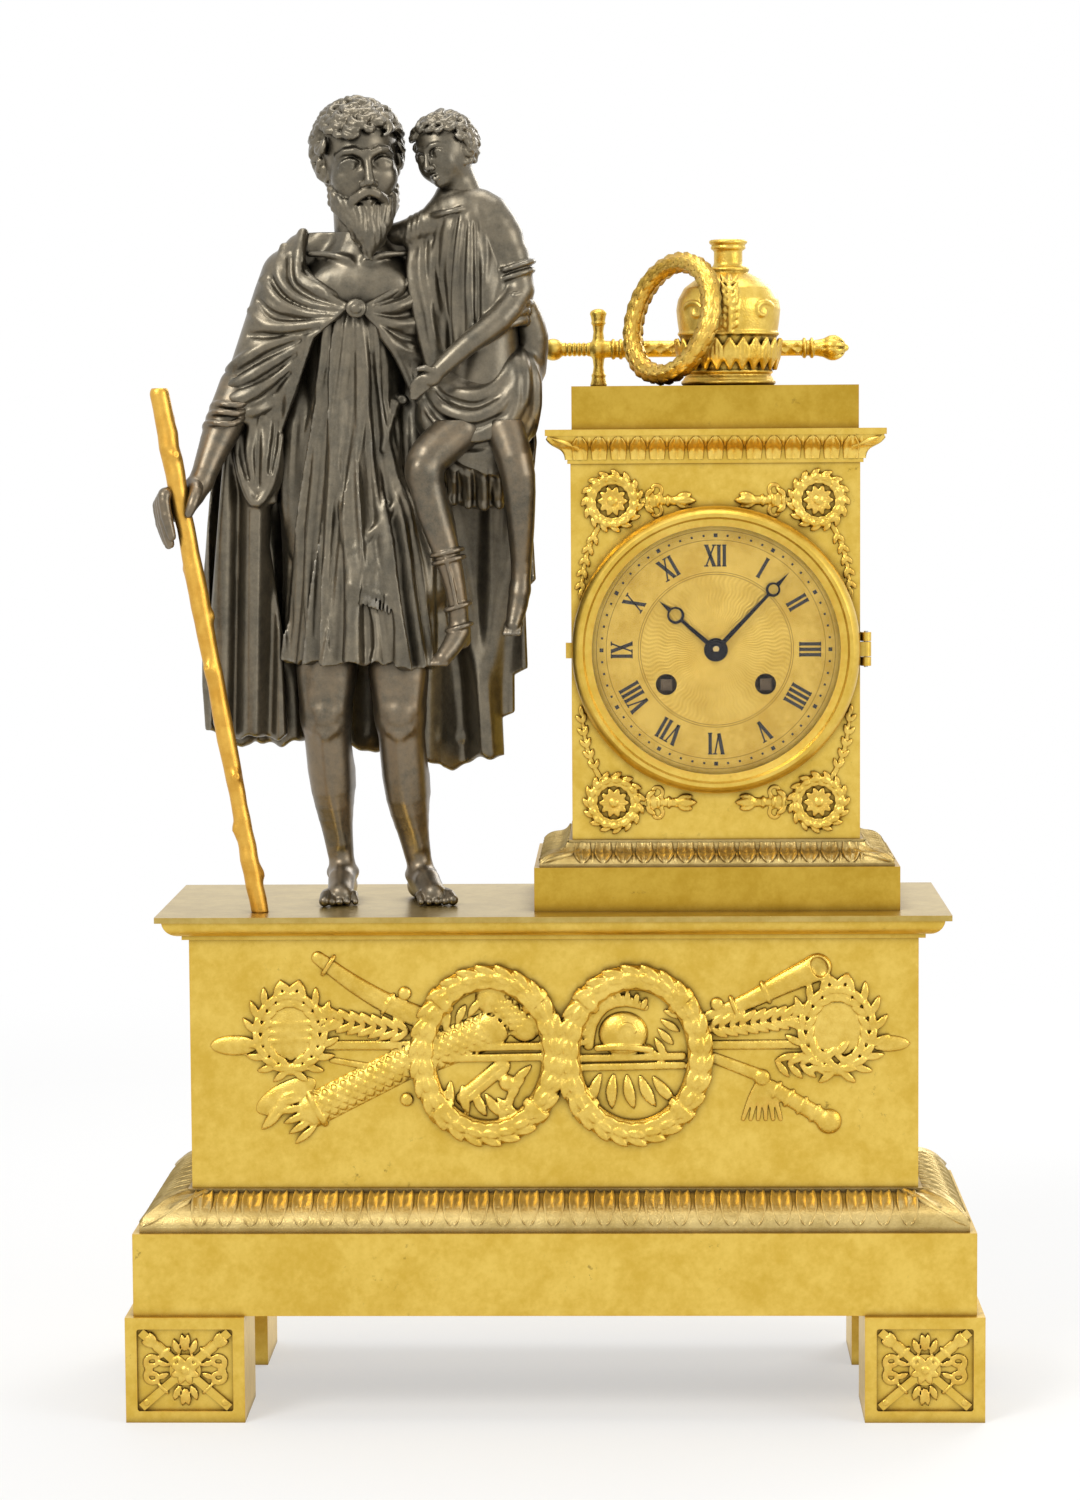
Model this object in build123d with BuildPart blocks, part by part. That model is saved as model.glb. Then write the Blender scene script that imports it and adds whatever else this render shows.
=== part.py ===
from build123d import *
from math import atan2, cos, degrees, pi, radians, sin, sqrt
import os

os.makedirs("parts", exist_ok=True)

# Driving dimensions in millimetres. X runs right, Y to the back, Z up.
# Base and plinth
base_width = 330
base_depth = 130
foot_width = 46
foot_depth = 40
foot_height = 41
panel_margin = 4.5
panel_sink = 1.8
frame_inset = 3
frame_height = 32
flange_width = 34
flange_thickness = 4
cast_wall = 4
moulding_setback = 2.5
moulding_reach = 18.5
moulding_height = 13.8
plinth_height = 97.6
plinth_cornice_height = 7.6
plinth_cornice_reach = 9.5
top_plate_overhang = 12
top_plate_thickness = 2.2
relief_thickness = 2

# Clock case
case_x = 63.5
case_front = -22
case_width = 112
case_depth = 72
case_height = 146.3
case_wall = 4
step_reach = 14.7
step_height = 17
case_moulding_height = 9.3
cornice_height = 13.2
cornice_reach = 9.6
attic_height = 16.7
dial_above_case_floor = 74.2
spandrel_inset = 14.5

# Bezel, dial and hands
plate_radius = 43.2
sleeve_outer = 48.6
seat_outer = 54.6
seat_thickness = 2
bezel_outer = 55.5
bezel_opening = 48
bezel_depth = 9
dial_radius = 49.5
dial_thickness = 1.5
glass_thickness = 1.6
glass_rise = 6
hinge_barrel = 2
hinge_pin = 0.8
hour_hand_length = 29
minute_hand_length = 41
hour_hand_turn = -49
minute_hand_turn = 43.5
winding_hole = 4.1
winding_offset_x = 19.2
winding_offset_z = -13.4

# Movement, depths along Y
front_plate_y = -12
plate_thickness = 2
back_plate_y = 24
drum_radius = 16
pendulum_length = 88
pendulum_y = 31.5
bell_radius = 28.5
bell_rim_y = 35
bell_depth = 10.5

# Fits
press_gap = 0.05
slip_gap = 0.1
hinge_gap = 0.3

# Figure group, trophy and staff
figure_x = -76
hem_height = 95
staff_radius = 3.7
helmet_x = 69.5
helmet_radius = 20.6
helmet_y = 12
wreath_radius = 22.5
wreath_tube = 4.6
sword_length = 121

# Levels worked out from the sizes above
frame_top = foot_height + frame_height
plinth_floor = frame_top + moulding_height
plinth_roof = plinth_floor + plinth_height
plate_floor = plinth_roof + plinth_cornice_height
standing = plate_floor + top_plate_thickness
step_top = standing + step_height
case_floor = step_top + case_moulding_height
case_roof = case_floor + case_height
cornice_top = case_roof + cornice_height
attic_top = cornice_top + attic_height
dial_z = case_floor + dial_above_case_floor
case_back = case_front + case_depth
frame_width = base_width - 2 * frame_inset
frame_depth = base_depth - 2 * frame_inset
plinth_width = frame_width - 2 * (moulding_setback + moulding_reach)
plinth_depth = frame_depth - 2 * (moulding_setback + moulding_reach)
plinth_front = -plinth_depth / 2
seat_front = case_front - seat_thickness
dial_front = seat_front - dial_thickness
bezel_back = seat_front - 2 * press_gap - hinge_gap
bezel_front = bezel_back - bezel_depth
back_plate_rear = back_plate_y + plate_thickness


def keep(part, name):
    # Labels a finished piece and writes it
    part.label = name
    export_step(part, f"parts/{name}.step")


def facing(x, y, z):
    # Plane that looks at the viewer: local x is right, local y is up
    return Plane(origin=(x, y, z), x_dir=(1, 0, 0), z_dir=(0, -1, 0))


def on_dial(place, y):
    return facing(case_x + place[0], y, dial_z + place[1])


def dial_axis(place):
    return Axis((case_x + place[0], 0, dial_z + place[1]), (0, 1, 0))


def beside_dial(place):
    # Plane for turned work: local x is the radius, local y the depth
    return Plane((case_x + place[0], 0, dial_z + place[1]))


def polar(radius, angle):
    return (radius * cos(radians(angle)), radius * sin(radians(angle)))


# Feet, one casting at each corner with framed panels on the two outer faces
def cast_foot(side, end):
    foot_x = side * (base_width - foot_width) / 2
    foot_y = end * (base_depth - foot_depth) / 2
    panel_wide = foot_width - 2 * panel_margin
    panel_deep = foot_depth - 2 * panel_margin
    panel_tall = foot_height - 2 * panel_margin
    outer_x = side * base_width / 2
    outer_y = end * base_depth / 2
    front = Plane((foot_x, outer_y, foot_height / 2), x_dir=(1, 0, 0), z_dir=(0, end, 0))
    flank = Plane((outer_x, foot_y, foot_height / 2), x_dir=(0, 1, 0), z_dir=(side, 0, 0))
    bar = hypotenuse(panel_wide, panel_tall) - 4
    with BuildPart() as foot:
        with Locations((foot_x, foot_y, foot_height / 2)):
            Box(foot_width, foot_depth, foot_height)
        with BuildSketch(front):
            RectangleRounded(panel_wide, panel_tall, 1)
        extrude(amount=-panel_sink, mode=Mode.SUBTRACT)
        with BuildSketch(flank):
            RectangleRounded(panel_deep, panel_tall, 1)
        extrude(amount=-panel_sink, mode=Mode.SUBTRACT)
        with BuildSketch(front.offset(-panel_sink)):
            Rectangle(bar, 3.2, rotation=41)
            Rectangle(bar, 3.2, rotation=-41)
            Circle(6)
        extrude(amount=panel_sink * 0.7)
        with BuildSketch(Plane((foot_x, foot_y, foot_height))):
            Circle(2.5 + press_gap)
        extrude(amount=-14, mode=Mode.SUBTRACT)
    return foot.part


def hypotenuse(a, b):
    return sqrt(a * a + b * b)


for foot_name, side, end in (
    ("foot_front_left", -1, -1),
    ("foot_front_right", 1, -1),
    ("foot_back_left", -1, 1),
    ("foot_back_right", 1, 1),
):
    keep(cast_foot(side, end), foot_name)

foot_places = [
    (side * (base_width - foot_width) / 2, end * (base_depth - foot_depth) / 2)
    for side in (-1, 1)
    for end in (-1, 1)
]

# Base frame with an inner flange that the feet are screwed to
with BuildPart() as base_frame:
    with BuildSketch(Plane.XY.offset(foot_height)):
        Rectangle(frame_width, frame_depth)
        Rectangle(frame_width - 2 * flange_width, frame_depth - 2 * flange_width, mode=Mode.SUBTRACT)
        with Locations(*foot_places):
            Circle(2.5 + slip_gap, mode=Mode.SUBTRACT)
    extrude(amount=flange_thickness)
    with BuildSketch(Plane.XY.offset(foot_height)):
        Rectangle(frame_width, frame_depth)
        Rectangle(frame_width - 2 * cast_wall, frame_depth - 2 * cast_wall, mode=Mode.SUBTRACT)
    extrude(amount=frame_height)
    with BuildSketch(Plane.XY.offset(frame_top - cast_wall)):
        Rectangle(frame_width, frame_depth)
        Rectangle(plinth_width - 2 * cast_wall, plinth_depth - 2 * cast_wall, mode=Mode.SUBTRACT)
    extrude(amount=cast_wall)
keep(base_frame.part, "base_frame")


def round_rectangle_path(width, depth, level):
    # Closed path that starts in the middle of the front
    with BuildLine() as path:
        Polyline(
            (0, -depth / 2, level),
            (-width / 2, -depth / 2, level),
            (-width / 2, depth / 2, level),
            (width / 2, depth / 2, level),
            (width / 2, -depth / 2, level),
            (0, -depth / 2, level),
        )
    return path.wire()


# Base moulding, a swelling leaf moulding swept round the plinth
with BuildPart() as base_moulding:
    with BuildSketch(Plane((0, plinth_front, frame_top), x_dir=(0, -1, 0), z_dir=(-1, 0, 0))):
        with BuildLine():
            Polyline((-cast_wall, 0), (moulding_reach, 0), (moulding_reach, 1.8))
            Spline(
                (moulding_reach, 1.8),
                (moulding_reach * 0.72, moulding_height * 0.62),
                (1.6, moulding_height - 1.6),
                tangents=[(-0.15, 1), (-1, 0.25)],
            )
            Polyline(
                (1.6, moulding_height - 1.6),
                (1.6, moulding_height),
                (-cast_wall, moulding_height),
                (-cast_wall, 0),
            )
        make_face()
    sweep(path=round_rectangle_path(plinth_width, plinth_depth, frame_top), transition=Transition.RIGHT)
keep(base_moulding.part, "base_moulding")

with BuildPart() as plinth_box:
    with BuildSketch(Plane.XY.offset(plinth_floor)):
        Rectangle(plinth_width, plinth_depth)
        Rectangle(plinth_width - 2 * cast_wall, plinth_depth - 2 * cast_wall, mode=Mode.SUBTRACT)
    extrude(amount=plinth_height)
keep(plinth_box.part, "plinth_box")

with BuildPart() as plinth_cornice:
    with BuildSketch(Plane((0, plinth_front, plinth_roof), x_dir=(0, -1, 0), z_dir=(-1, 0, 0))):
        with BuildLine():
            Polyline((-cast_wall, 0), (2.5, 0), (2.5, 1.6))
            ThreePointArc(
                (2.5, 1.6),
                (plinth_cornice_reach - 2, plinth_cornice_height * 0.45),
                (plinth_cornice_reach, plinth_cornice_height),
            )
            Polyline(
                (plinth_cornice_reach, plinth_cornice_height),
                (-cast_wall, plinth_cornice_height),
                (-cast_wall, 0),
            )
        make_face()
    sweep(path=round_rectangle_path(plinth_width, plinth_depth, plinth_roof), transition=Transition.RIGHT)
keep(plinth_cornice.part, "plinth_cornice")

# Studs that pull the figure and the case down onto the top plate
stud_radius = 2
stud_reach = 14
figure_studs = [(figure_x - 8.2, 1), (figure_x + 24, 1)]
case_studs = [(case_x - 40, 10), (case_x + 40, 10)]
stud_places = figure_studs + case_studs

with BuildPart() as plinth_top:
    with BuildSketch(Plane.XY.offset(plate_floor)):
        Rectangle(plinth_width + 2 * top_plate_overhang, plinth_depth + 2 * top_plate_overhang)
        with Locations(*stud_places):
            Circle(stud_radius + slip_gap, mode=Mode.SUBTRACT)
    extrude(amount=top_plate_thickness)
    fillet(plinth_top.edges().filter_by(Axis.Z).group_by(SortBy.LENGTH)[-1].filter_by(
        lambda edge: abs(edge.center().X) > plinth_width / 2), 0.6)
keep(plinth_top.part, "plinth_top")

# Relief on the plinth front: two linked wreaths with quivers, horn, torch and spears
relief_z = plinth_floor + plinth_height * 0.533
relief_plane = facing(0, plinth_front, relief_z)
with BuildPart() as plinth_relief:
    with BuildSketch(relief_plane):
        with Locations((-25.3, 0), (31.1, 0)):
            Ellipse(30.5, 35)
            Ellipse(21.5, 26, mode=Mode.SUBTRACT)
        with Locations((-25.3, 0), (31.1, 0)):
            Rectangle(44, 7, rotation=48)
            Rectangle(44, 7, rotation=-48)
            Circle(8)
        with BuildLine():
            Polyline((-50, 5), (-92, 38), (-100, 31), (-96, 25), (-54, -1), close=True)
        make_face()
        with BuildLine():
            Polyline((-52, -2), (-96, -38), (-103, -32), (-99, -25), (-56, 5), close=True)
        make_face()
        with BuildLine():
            Polyline((54, 5), (102, 37), (109, 30), (106, 24), (58, -1), close=True)
        make_face()
        with BuildLine():
            Polyline((54, -2), (104, -38), (113, -33), (110, -27), (58, 5), close=True)
        make_face()
        Rectangle(258, 2.4)
        with Locations((-128, 0)):
            RegularPolygon(5, 3, rotation=60)
        with Locations((133, 0)):
            RegularPolygon(5, 3)
        for leaf_x in (-118, -106, -94, -82, -70, 76, 88, 100, 112, 124):
            lean = 35 if leaf_x < 0 else -35
            with Locations((leaf_x, 4.5)):
                Ellipse(6.5, 2.4, rotation=lean)
            with Locations((leaf_x, -4.5)):
                Ellipse(6.5, 2.4, rotation=-lean)
    extrude(amount=relief_thickness)
    with BuildSketch(relief_plane.offset(relief_thickness)):
        with Locations((-25.3, 0), (31.1, 0)):
            Ellipse(28.3, 32.8)
            Ellipse(23.7, 28.2, mode=Mode.SUBTRACT)
    extrude(amount=relief_thickness * 0.6)
keep(plinth_relief.part, "plinth_relief")


def three_sided_path(width, front, back, level):
    # Open path along the right side, the front and the left side of the case
    with BuildLine() as path:
        Polyline(
            (case_x + width / 2, back, level),
            (case_x + width / 2, front, level),
            (case_x - width / 2, front, level),
            (case_x - width / 2, back, level),
        )
    return path.wire()


case_middle_y = (case_front + case_back) / 2
step_front = case_front - step_reach

with BuildPart() as case_step:
    with BuildSketch(Plane.XY.offset(standing)):
        with Locations((case_x, (step_front + case_back) / 2)):
            Rectangle(case_width + 2 * step_reach, case_back - step_front)
    extrude(amount=step_height)
    with BuildSketch(Plane.XY.offset(standing)):
        with Locations(*case_studs):
            Circle(stud_radius + press_gap)
    extrude(amount=stud_reach, mode=Mode.SUBTRACT)
keep(case_step.part, "case_step")

with BuildPart() as case_moulding:
    with BuildSketch(Plane((case_x + case_width / 2, case_back, step_top), x_dir=(1, 0, 0), z_dir=(0, -1, 0))):
        with BuildLine():
            Polyline((-case_wall, 0), (step_reach - 2, 0), (step_reach - 2, 1.2))
            Bezier(
                (step_reach - 2, 1.2),
                (step_reach * 0.6, case_moulding_height * 0.75),
                (step_reach * 0.3, case_moulding_height * 0.2),
                (1.4, case_moulding_height - 1.3),
            )
            Polyline(
                (1.4, case_moulding_height - 1.3),
                (1.4, case_moulding_height),
                (-case_wall, case_moulding_height),
                (-case_wall, 0),
            )
        make_face()
    sweep(path=three_sided_path(case_width, case_front, case_back, step_top), transition=Transition.RIGHT)
    with BuildSketch(Plane.XY.offset(step_top)):
        with Locations((case_x, case_middle_y)):
            Rectangle(case_width - 2, case_depth - 2)
    extrude(amount=case_moulding_height)
keep(case_moulding.part, "case_moulding")

with BuildPart() as case_body:
    with Locations((case_x, case_middle_y, (case_floor + case_roof) / 2)):
        Box(case_width, case_depth, case_height)
        Box(
            case_width - 2 * case_wall,
            case_depth - 2 * case_wall,
            case_height - 2 * case_wall,
            mode=Mode.SUBTRACT,
        )
    with BuildSketch(on_dial((0, 0), case_back + 1)):
        Circle(sleeve_outer + slip_gap)
    extrude(amount=case_depth + 2, mode=Mode.SUBTRACT)
keep(case_body.part, "case_body")

with BuildPart() as case_cornice:
    with BuildSketch(Plane((case_x + case_width / 2, case_back, case_roof), x_dir=(1, 0, 0), z_dir=(0, -1, 0))):
        with BuildLine():
            Polyline((-case_wall, 0), (1.2, 0), (1.2, 1.6))
            Bezier(
                (1.2, 1.6),
                (1.8, cornice_height * 0.62),
                (cornice_reach * 0.75, cornice_height * 0.45),
                (cornice_reach - 0.8, cornice_height - 2.4),
            )
            Polyline(
                (cornice_reach - 0.8, cornice_height - 2.4),
                (cornice_reach, cornice_height - 2.4),
                (cornice_reach, cornice_height),
                (-case_wall, cornice_height),
                (-case_wall, 0),
            )
        make_face()
    sweep(path=three_sided_path(case_width, case_front, case_back, case_roof), transition=Transition.RIGHT)
    with BuildSketch(Plane.XY.offset(case_roof)):
        with Locations((case_x, case_middle_y)):
            Rectangle(case_width - 2, case_depth - 2)
    extrude(amount=cornice_height)
keep(case_cornice.part, "case_cornice")

with BuildPart() as case_attic:
    with Locations((case_x, case_middle_y, cornice_top + attic_height / 2)):
        Box(case_width - 1, case_depth - 1, attic_height)
keep(case_attic.part, "case_attic")

# Corner mounts of the case front: leaf rings with a short torch beside each
spandrel_high = case_roof - spandrel_inset
spandrel_low = case_floor + spandrel_inset
with BuildPart() as spandrel_mounts:
    for side in (-1, 1):
        for level in (spandrel_low, spandrel_high):
            corner = facing(case_x + side * (case_width / 2 - 16.2), case_front, level)
            with BuildSketch(corner):
                Circle(11)
                Circle(6.4, mode=Mode.SUBTRACT)
                Circle(4)
                with PolarLocations(5.4, 8):
                    Ellipse(2.4, 1.2)
                with Locations((-side * 19, 0)):
                    Rectangle(18, 2.6)
                with Locations((-side * 27, 0)):
                    Ellipse(4, 2.6)
            extrude(amount=1.6)
            with BuildSketch(corner.offset(1.6)):
                Circle(9.8)
                Circle(7.6, mode=Mode.SUBTRACT)
                Circle(2.4)
            extrude(amount=1)
keep(spandrel_mounts.part, "spandrel_mounts")

# Trophy on the attic
with BuildPart() as helmet:
    with BuildSketch(Plane((helmet_x, helmet_y, attic_top), x_dir=(1, 0, 0), z_dir=(0, -1, 0))):
        with BuildLine():
            Polyline((0, 0), (helmet_radius * 0.86, 0), (helmet_radius * 0.86, 3), (helmet_radius * 0.8, 4.5))
            Spline(
                (helmet_radius * 0.8, 4.5),
                (helmet_radius * 0.92, 18),
                (helmet_radius, 30),
                (helmet_radius * 0.86, 38.5),
                (helmet_radius * 0.36, 44.5),
                (5.6, 48),
            )
            Polyline((5.6, 48), (5.6, 53), (6.9, 56), (6.9, 57.1), (0, 57.1), (0, 0))
        make_face()
    revolve(axis=Axis((helmet_x, helmet_y, 0), (0, 0, 1)))
    with BuildSketch(Plane.XY.offset(attic_top)):
        with Locations((helmet_x, helmet_y)):
            Circle(helmet_radius * 0.86 - 4)
    extrude(amount=26, mode=Mode.SUBTRACT)
keep(helmet.part, "helmet")

wreath_lean = (-0.738, -0.63, 0.241)
wreath_rise = wreath_radius * sqrt(1 - wreath_lean[2] ** 2) + wreath_tube
wreath_middle = (helmet_x - 22.5, helmet_y - 10.2, attic_top + wreath_rise)
with BuildPart() as victory_wreath:
    with Locations(Plane(wreath_middle, z_dir=wreath_lean)):
        Torus(wreath_radius, wreath_tube)
keep(victory_wreath.part, "victory_wreath")

sword_left = case_x - case_width / 2 - 11.5
sword_y = helmet_y + helmet_radius + 4
sword_z = attic_top + 15.3
sword_start = Plane((sword_left, sword_y, sword_z), x_dir=(0, 1, 0), z_dir=(1, 0, 0))
with BuildPart() as sword:
    with BuildSketch(sword_start.offset(22)):
        RectangleRounded(5.2, 6.8, 1.5)
    extrude(amount=sword_length - 22 - 7)
    with BuildSketch(sword_start.offset(5)):
        Circle(2.4)
    extrude(amount=16)
    with Locations(sword_start.offset(4)):
        Sphere(4)
    with BuildSketch(sword_start.offset(20)):
        RectangleRounded(5, 2 * (sword_z - attic_top), 1.8)
    extrude(amount=4)
    with Locations(sword_start.offset(sword_length - 5)):
        Sphere(5)
keep(sword.part, "sword")

# Bezel seat: the flange on the case front, the sleeve that carries the movement, two straps
bezel_hinge_x = case_x + bezel_outer + hinge_barrel + 2 * hinge_gap
bezel_hinge_y = seat_front - hinge_barrel / 2
knuckle_half = 2.8
knuckle_end = 6.5
strap_angles = (25, 155)
strap_inner = plate_radius + 4 * slip_gap
strap_middle = (strap_inner + sleeve_outer) / 2
hinge_plane = Plane((bezel_hinge_x, bezel_hinge_y, dial_z))
with BuildPart() as bezel_seat:
    with BuildSketch(on_dial((0, 0), case_front)):
        Circle(seat_outer)
        Circle(plate_radius + slip_gap, mode=Mode.SUBTRACT)
    extrude(amount=seat_thickness)
    with BuildSketch(on_dial((0, 0), front_plate_y + 2 * plate_thickness)):
        Circle(sleeve_outer)
        Circle(plate_radius + slip_gap, mode=Mode.SUBTRACT)
    extrude(amount=front_plate_y + 2 * plate_thickness - case_front)
    with BuildSketch(on_dial((0, 0), case_back)):
        for angle in strap_angles:
            with Locations(polar(strap_middle, angle)):
                Rectangle(sleeve_outer - strap_inner - 0.4, 8, rotation=angle)
    extrude(amount=case_back - front_plate_y - plate_thickness)
    with BuildSketch(on_dial((0, 0), case_back)):
        for angle in strap_angles:
            with Locations(polar(strap_middle, angle)):
                Circle(1.2 + press_gap)
    extrude(amount=12, mode=Mode.SUBTRACT)
    for end in (-1, 1):
        middle = end * (knuckle_half + hinge_gap + knuckle_end) / 2
        tall = knuckle_end - knuckle_half - hinge_gap
        with Locations((bezel_hinge_x, bezel_hinge_y, dial_z + middle)):
            Cylinder(hinge_barrel, tall)
        tab_wide = bezel_hinge_x - case_x - seat_outer + 2
        with Locations((bezel_hinge_x - tab_wide / 2, seat_front + seat_thickness * 0.4, dial_z + middle)):
            Box(tab_wide, seat_thickness * 0.8, tall)
    with Locations((bezel_hinge_x, bezel_hinge_y, dial_z)):
        Cylinder(hinge_pin + press_gap, 3 * knuckle_end, mode=Mode.SUBTRACT)
keep(bezel_seat.part, "bezel_seat")

glass_seat = bezel_front + 2.4
with BuildPart() as bezel:
    with BuildSketch(beside_dial((0, 0))):
        with BuildLine():
            Polyline((bezel_opening + 3, bezel_back), (bezel_outer, bezel_back), (bezel_outer, bezel_back - 1.6))
            ThreePointArc(
                (bezel_outer, bezel_back - 1.6),
                (bezel_outer - 0.9, bezel_front + 1.7),
                (bezel_outer - 2.6, bezel_front),
            )
            Polyline(
                (bezel_outer - 2.6, bezel_front),
                (bezel_outer - 4, bezel_front),
                (bezel_outer - 4.8, bezel_front + 1.2),
                (bezel_opening, bezel_front + 1.8),
                (bezel_opening, glass_seat),
                (bezel_opening + 3, glass_seat),
                (bezel_opening + 3, bezel_back),
            )
        make_face()
    revolve(axis=dial_axis((0, 0)))
    with Locations((bezel_hinge_x, bezel_hinge_y, dial_z)):
        Cylinder(hinge_barrel, 2 * knuckle_half)
    with Locations((bezel_hinge_x - 2.2, bezel_hinge_y - hinge_barrel / 2, dial_z)):
        Box(4.4, hinge_barrel * 0.9, 2 * knuckle_half)
    with Locations((case_x - bezel_outer - 0.8, bezel_back - 1.3, dial_z)):
        Box(3.6, 2.2, 6)
    with Locations((bezel_hinge_x, bezel_hinge_y, dial_z)):
        Cylinder(hinge_pin + press_gap, 3 * knuckle_end, mode=Mode.SUBTRACT)
keep(bezel.part, "bezel")

glass_rim = bezel_opening + 3 - press_gap
glass_edge = bezel_opening - 0.4
glass_round = (glass_edge**2 + glass_rise**2) / (2 * glass_rise)
glass_half = glass_edge / 2
glass_sag = glass_rise - (glass_round - sqrt(glass_round**2 - glass_half**2))
with BuildPart() as bezel_glass:
    with BuildSketch(beside_dial((0, 0))):
        with BuildLine():
            ThreePointArc(
                (0, glass_seat - glass_rise),
                (glass_half, glass_seat - glass_sag),
                (glass_edge, glass_seat),
            )
            Polyline((glass_edge, glass_seat), (glass_rim, glass_seat), (glass_rim, glass_seat + glass_thickness))
            Line((glass_rim, glass_seat + glass_thickness), (glass_edge, glass_seat + glass_thickness))
            ThreePointArc(
                (glass_edge, glass_seat + glass_thickness),
                (glass_half, glass_seat + glass_thickness - glass_sag),
                (0, glass_seat + glass_thickness - glass_rise),
            )
            Line((0, glass_seat + glass_thickness - glass_rise), (0, glass_seat - glass_rise))
        make_face()
    revolve(axis=dial_axis((0, 0)))
keep(bezel_glass.part, "bezel_glass")

cover_radius = plate_radius - 0.9
cover_hinge_x = case_x + cover_radius + 2.9
cover_hinge_y = case_back + seat_thickness + 2.2
winding_places = [(winding_offset_x, winding_offset_z), (-winding_offset_x, winding_offset_z)]
with BuildPart() as dial:
    with BuildSketch(on_dial((0, 0), seat_front)):
        Circle(dial_radius)
        Circle(4, mode=Mode.SUBTRACT)
        with Locations(*winding_places):
            Circle(winding_hole, mode=Mode.SUBTRACT)
    extrude(amount=dial_thickness)
    with BuildSketch(on_dial((0, 0), dial_front)):
        Circle(29)
    extrude(amount=-0.3, mode=Mode.SUBTRACT)
    with BuildSketch(on_dial((0, 0), front_plate_y)):
        with PolarLocations(38, 4, start_angle=45):
            Circle(1.5)
    extrude(amount=front_plate_y - seat_front)
keep(dial.part, "dial")


def clock_hand(turn, length, boss, bore, ring_at, ring_radius, y_back, thickness):
    # Slim hand with an open ring towards the tip, turned clockwise from twelve
    along = (sin(radians(turn)), 0, cos(radians(turn)))
    plane = Plane((case_x, y_back, dial_z), x_dir=along, z_dir=(0, -1, 0))
    with BuildPart() as hand:
        with BuildSketch(plane):
            Circle(boss)
            with BuildLine():
                Polyline((0, 1), (ring_at - ring_radius + 0.3, 0.6), (ring_at - ring_radius + 0.3, -0.6), (0, -1),
                         close=True)
            make_face()
            with Locations((ring_at, 0)):
                Circle(ring_radius)
            with Locations((ring_at + 0.2, 0)):
                Circle(ring_radius - 0.9, mode=Mode.SUBTRACT)
            with BuildLine():
                Polyline((ring_at + ring_radius - 0.4, 0.9), (length, 0), (ring_at + ring_radius - 0.4, -0.9),
                         close=True)
            make_face()
            Circle(bore, mode=Mode.SUBTRACT)
        extrude(amount=thickness)
    return hand.part


arbor_center = 1.2
cannon_outer = 2
hour_pipe_outer = 3
hour_hand_y = dial_front - 0.8
minute_hand_y = dial_front - 2
keep(
    clock_hand(hour_hand_turn, hour_hand_length, 4.6, hour_pipe_outer + press_gap, 20.5, 3.3, hour_hand_y, 0.8),
    "hour_hand",
)
keep(
    clock_hand(minute_hand_turn, minute_hand_length, 3.8, cannon_outer + press_gap, 32, 2.8, minute_hand_y, 0.7),
    "minute_hand",
)

with BuildPart() as hand_collet:
    with BuildSketch(on_dial((0, 0), minute_hand_y - 0.7)):
        Circle(2.7)
        Circle(arbor_center + press_gap, mode=Mode.SUBTRACT)
    extrude(amount=1)
keep(hand_collet.part, "hand_collet")


def tooth_outline(teeth, module, turn, leaves):
    # Pointed clock teeth, thin enough to run free in the mating gaps
    pitch_radius = teeth * module / 2
    share = 2 * pi / teeth
    if leaves:
        tip, root = pitch_radius + 0.55 * module, pitch_radius - 1.2 * module
        halves = ((root, 0.2), (pitch_radius, 0.15), (tip, 0.05))
    else:
        tip, root = pitch_radius + 0.85 * module, pitch_radius - 1.1 * module
        halves = ((root, 0.22), (pitch_radius, 0.16), (tip, 0.03))
    points = []
    for tooth in range(teeth):
        middle = radians(turn) + tooth * share
        for radius, half in halves:
            points.append((radius * cos(middle - half * share), radius * sin(middle - half * share)))
        for radius, half in reversed(halves):
            points.append((radius * cos(middle + half * share), radius * sin(middle + half * share)))
    return points


def train_piece(place, rods, gears, crossing=None, bore=None):
    # One arbor with its wheels; rods are (radius, front, back),
    # gears are (teeth, module, turn, leaves, front, back),
    # crossing is (hub, rim, arm, front, back) and bore is (radius, front, back)
    with BuildPart() as piece:
        for radius, front, back in rods:
            with BuildSketch(on_dial(place, back)):
                Circle(radius)
            extrude(amount=back - front)
        for teeth, module, turn, leaves, front, back in gears:
            with BuildSketch(on_dial(place, back)):
                with BuildLine():
                    Polyline(*tooth_outline(teeth, module, turn, leaves), close=True)
                make_face()
            extrude(amount=back - front)
        if crossing:
            hub, rim, arm, front, back = crossing
            with BuildSketch(on_dial(place, back)):
                Circle(rim)
                Circle(hub, mode=Mode.SUBTRACT)
                Rectangle(2 * rim + 1, arm, mode=Mode.SUBTRACT)
                Rectangle(arm, 2 * rim + 1, mode=Mode.SUBTRACT)
            extrude(amount=back - front, mode=Mode.SUBTRACT)
        if bore:
            radius, front, back = bore
            with BuildSketch(on_dial(place, back)):
                Circle(radius)
            extrude(amount=back - front, mode=Mode.SUBTRACT)
    return piece.part


def bearing(a, b):
    # Direction from a to b in degrees
    return degrees(atan2(b[1] - a[1], b[0] - a[0]))


def step_from(place, distance, angle):
    x, z = polar(distance, angle)
    return (place[0] + x, place[1] + z)


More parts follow.
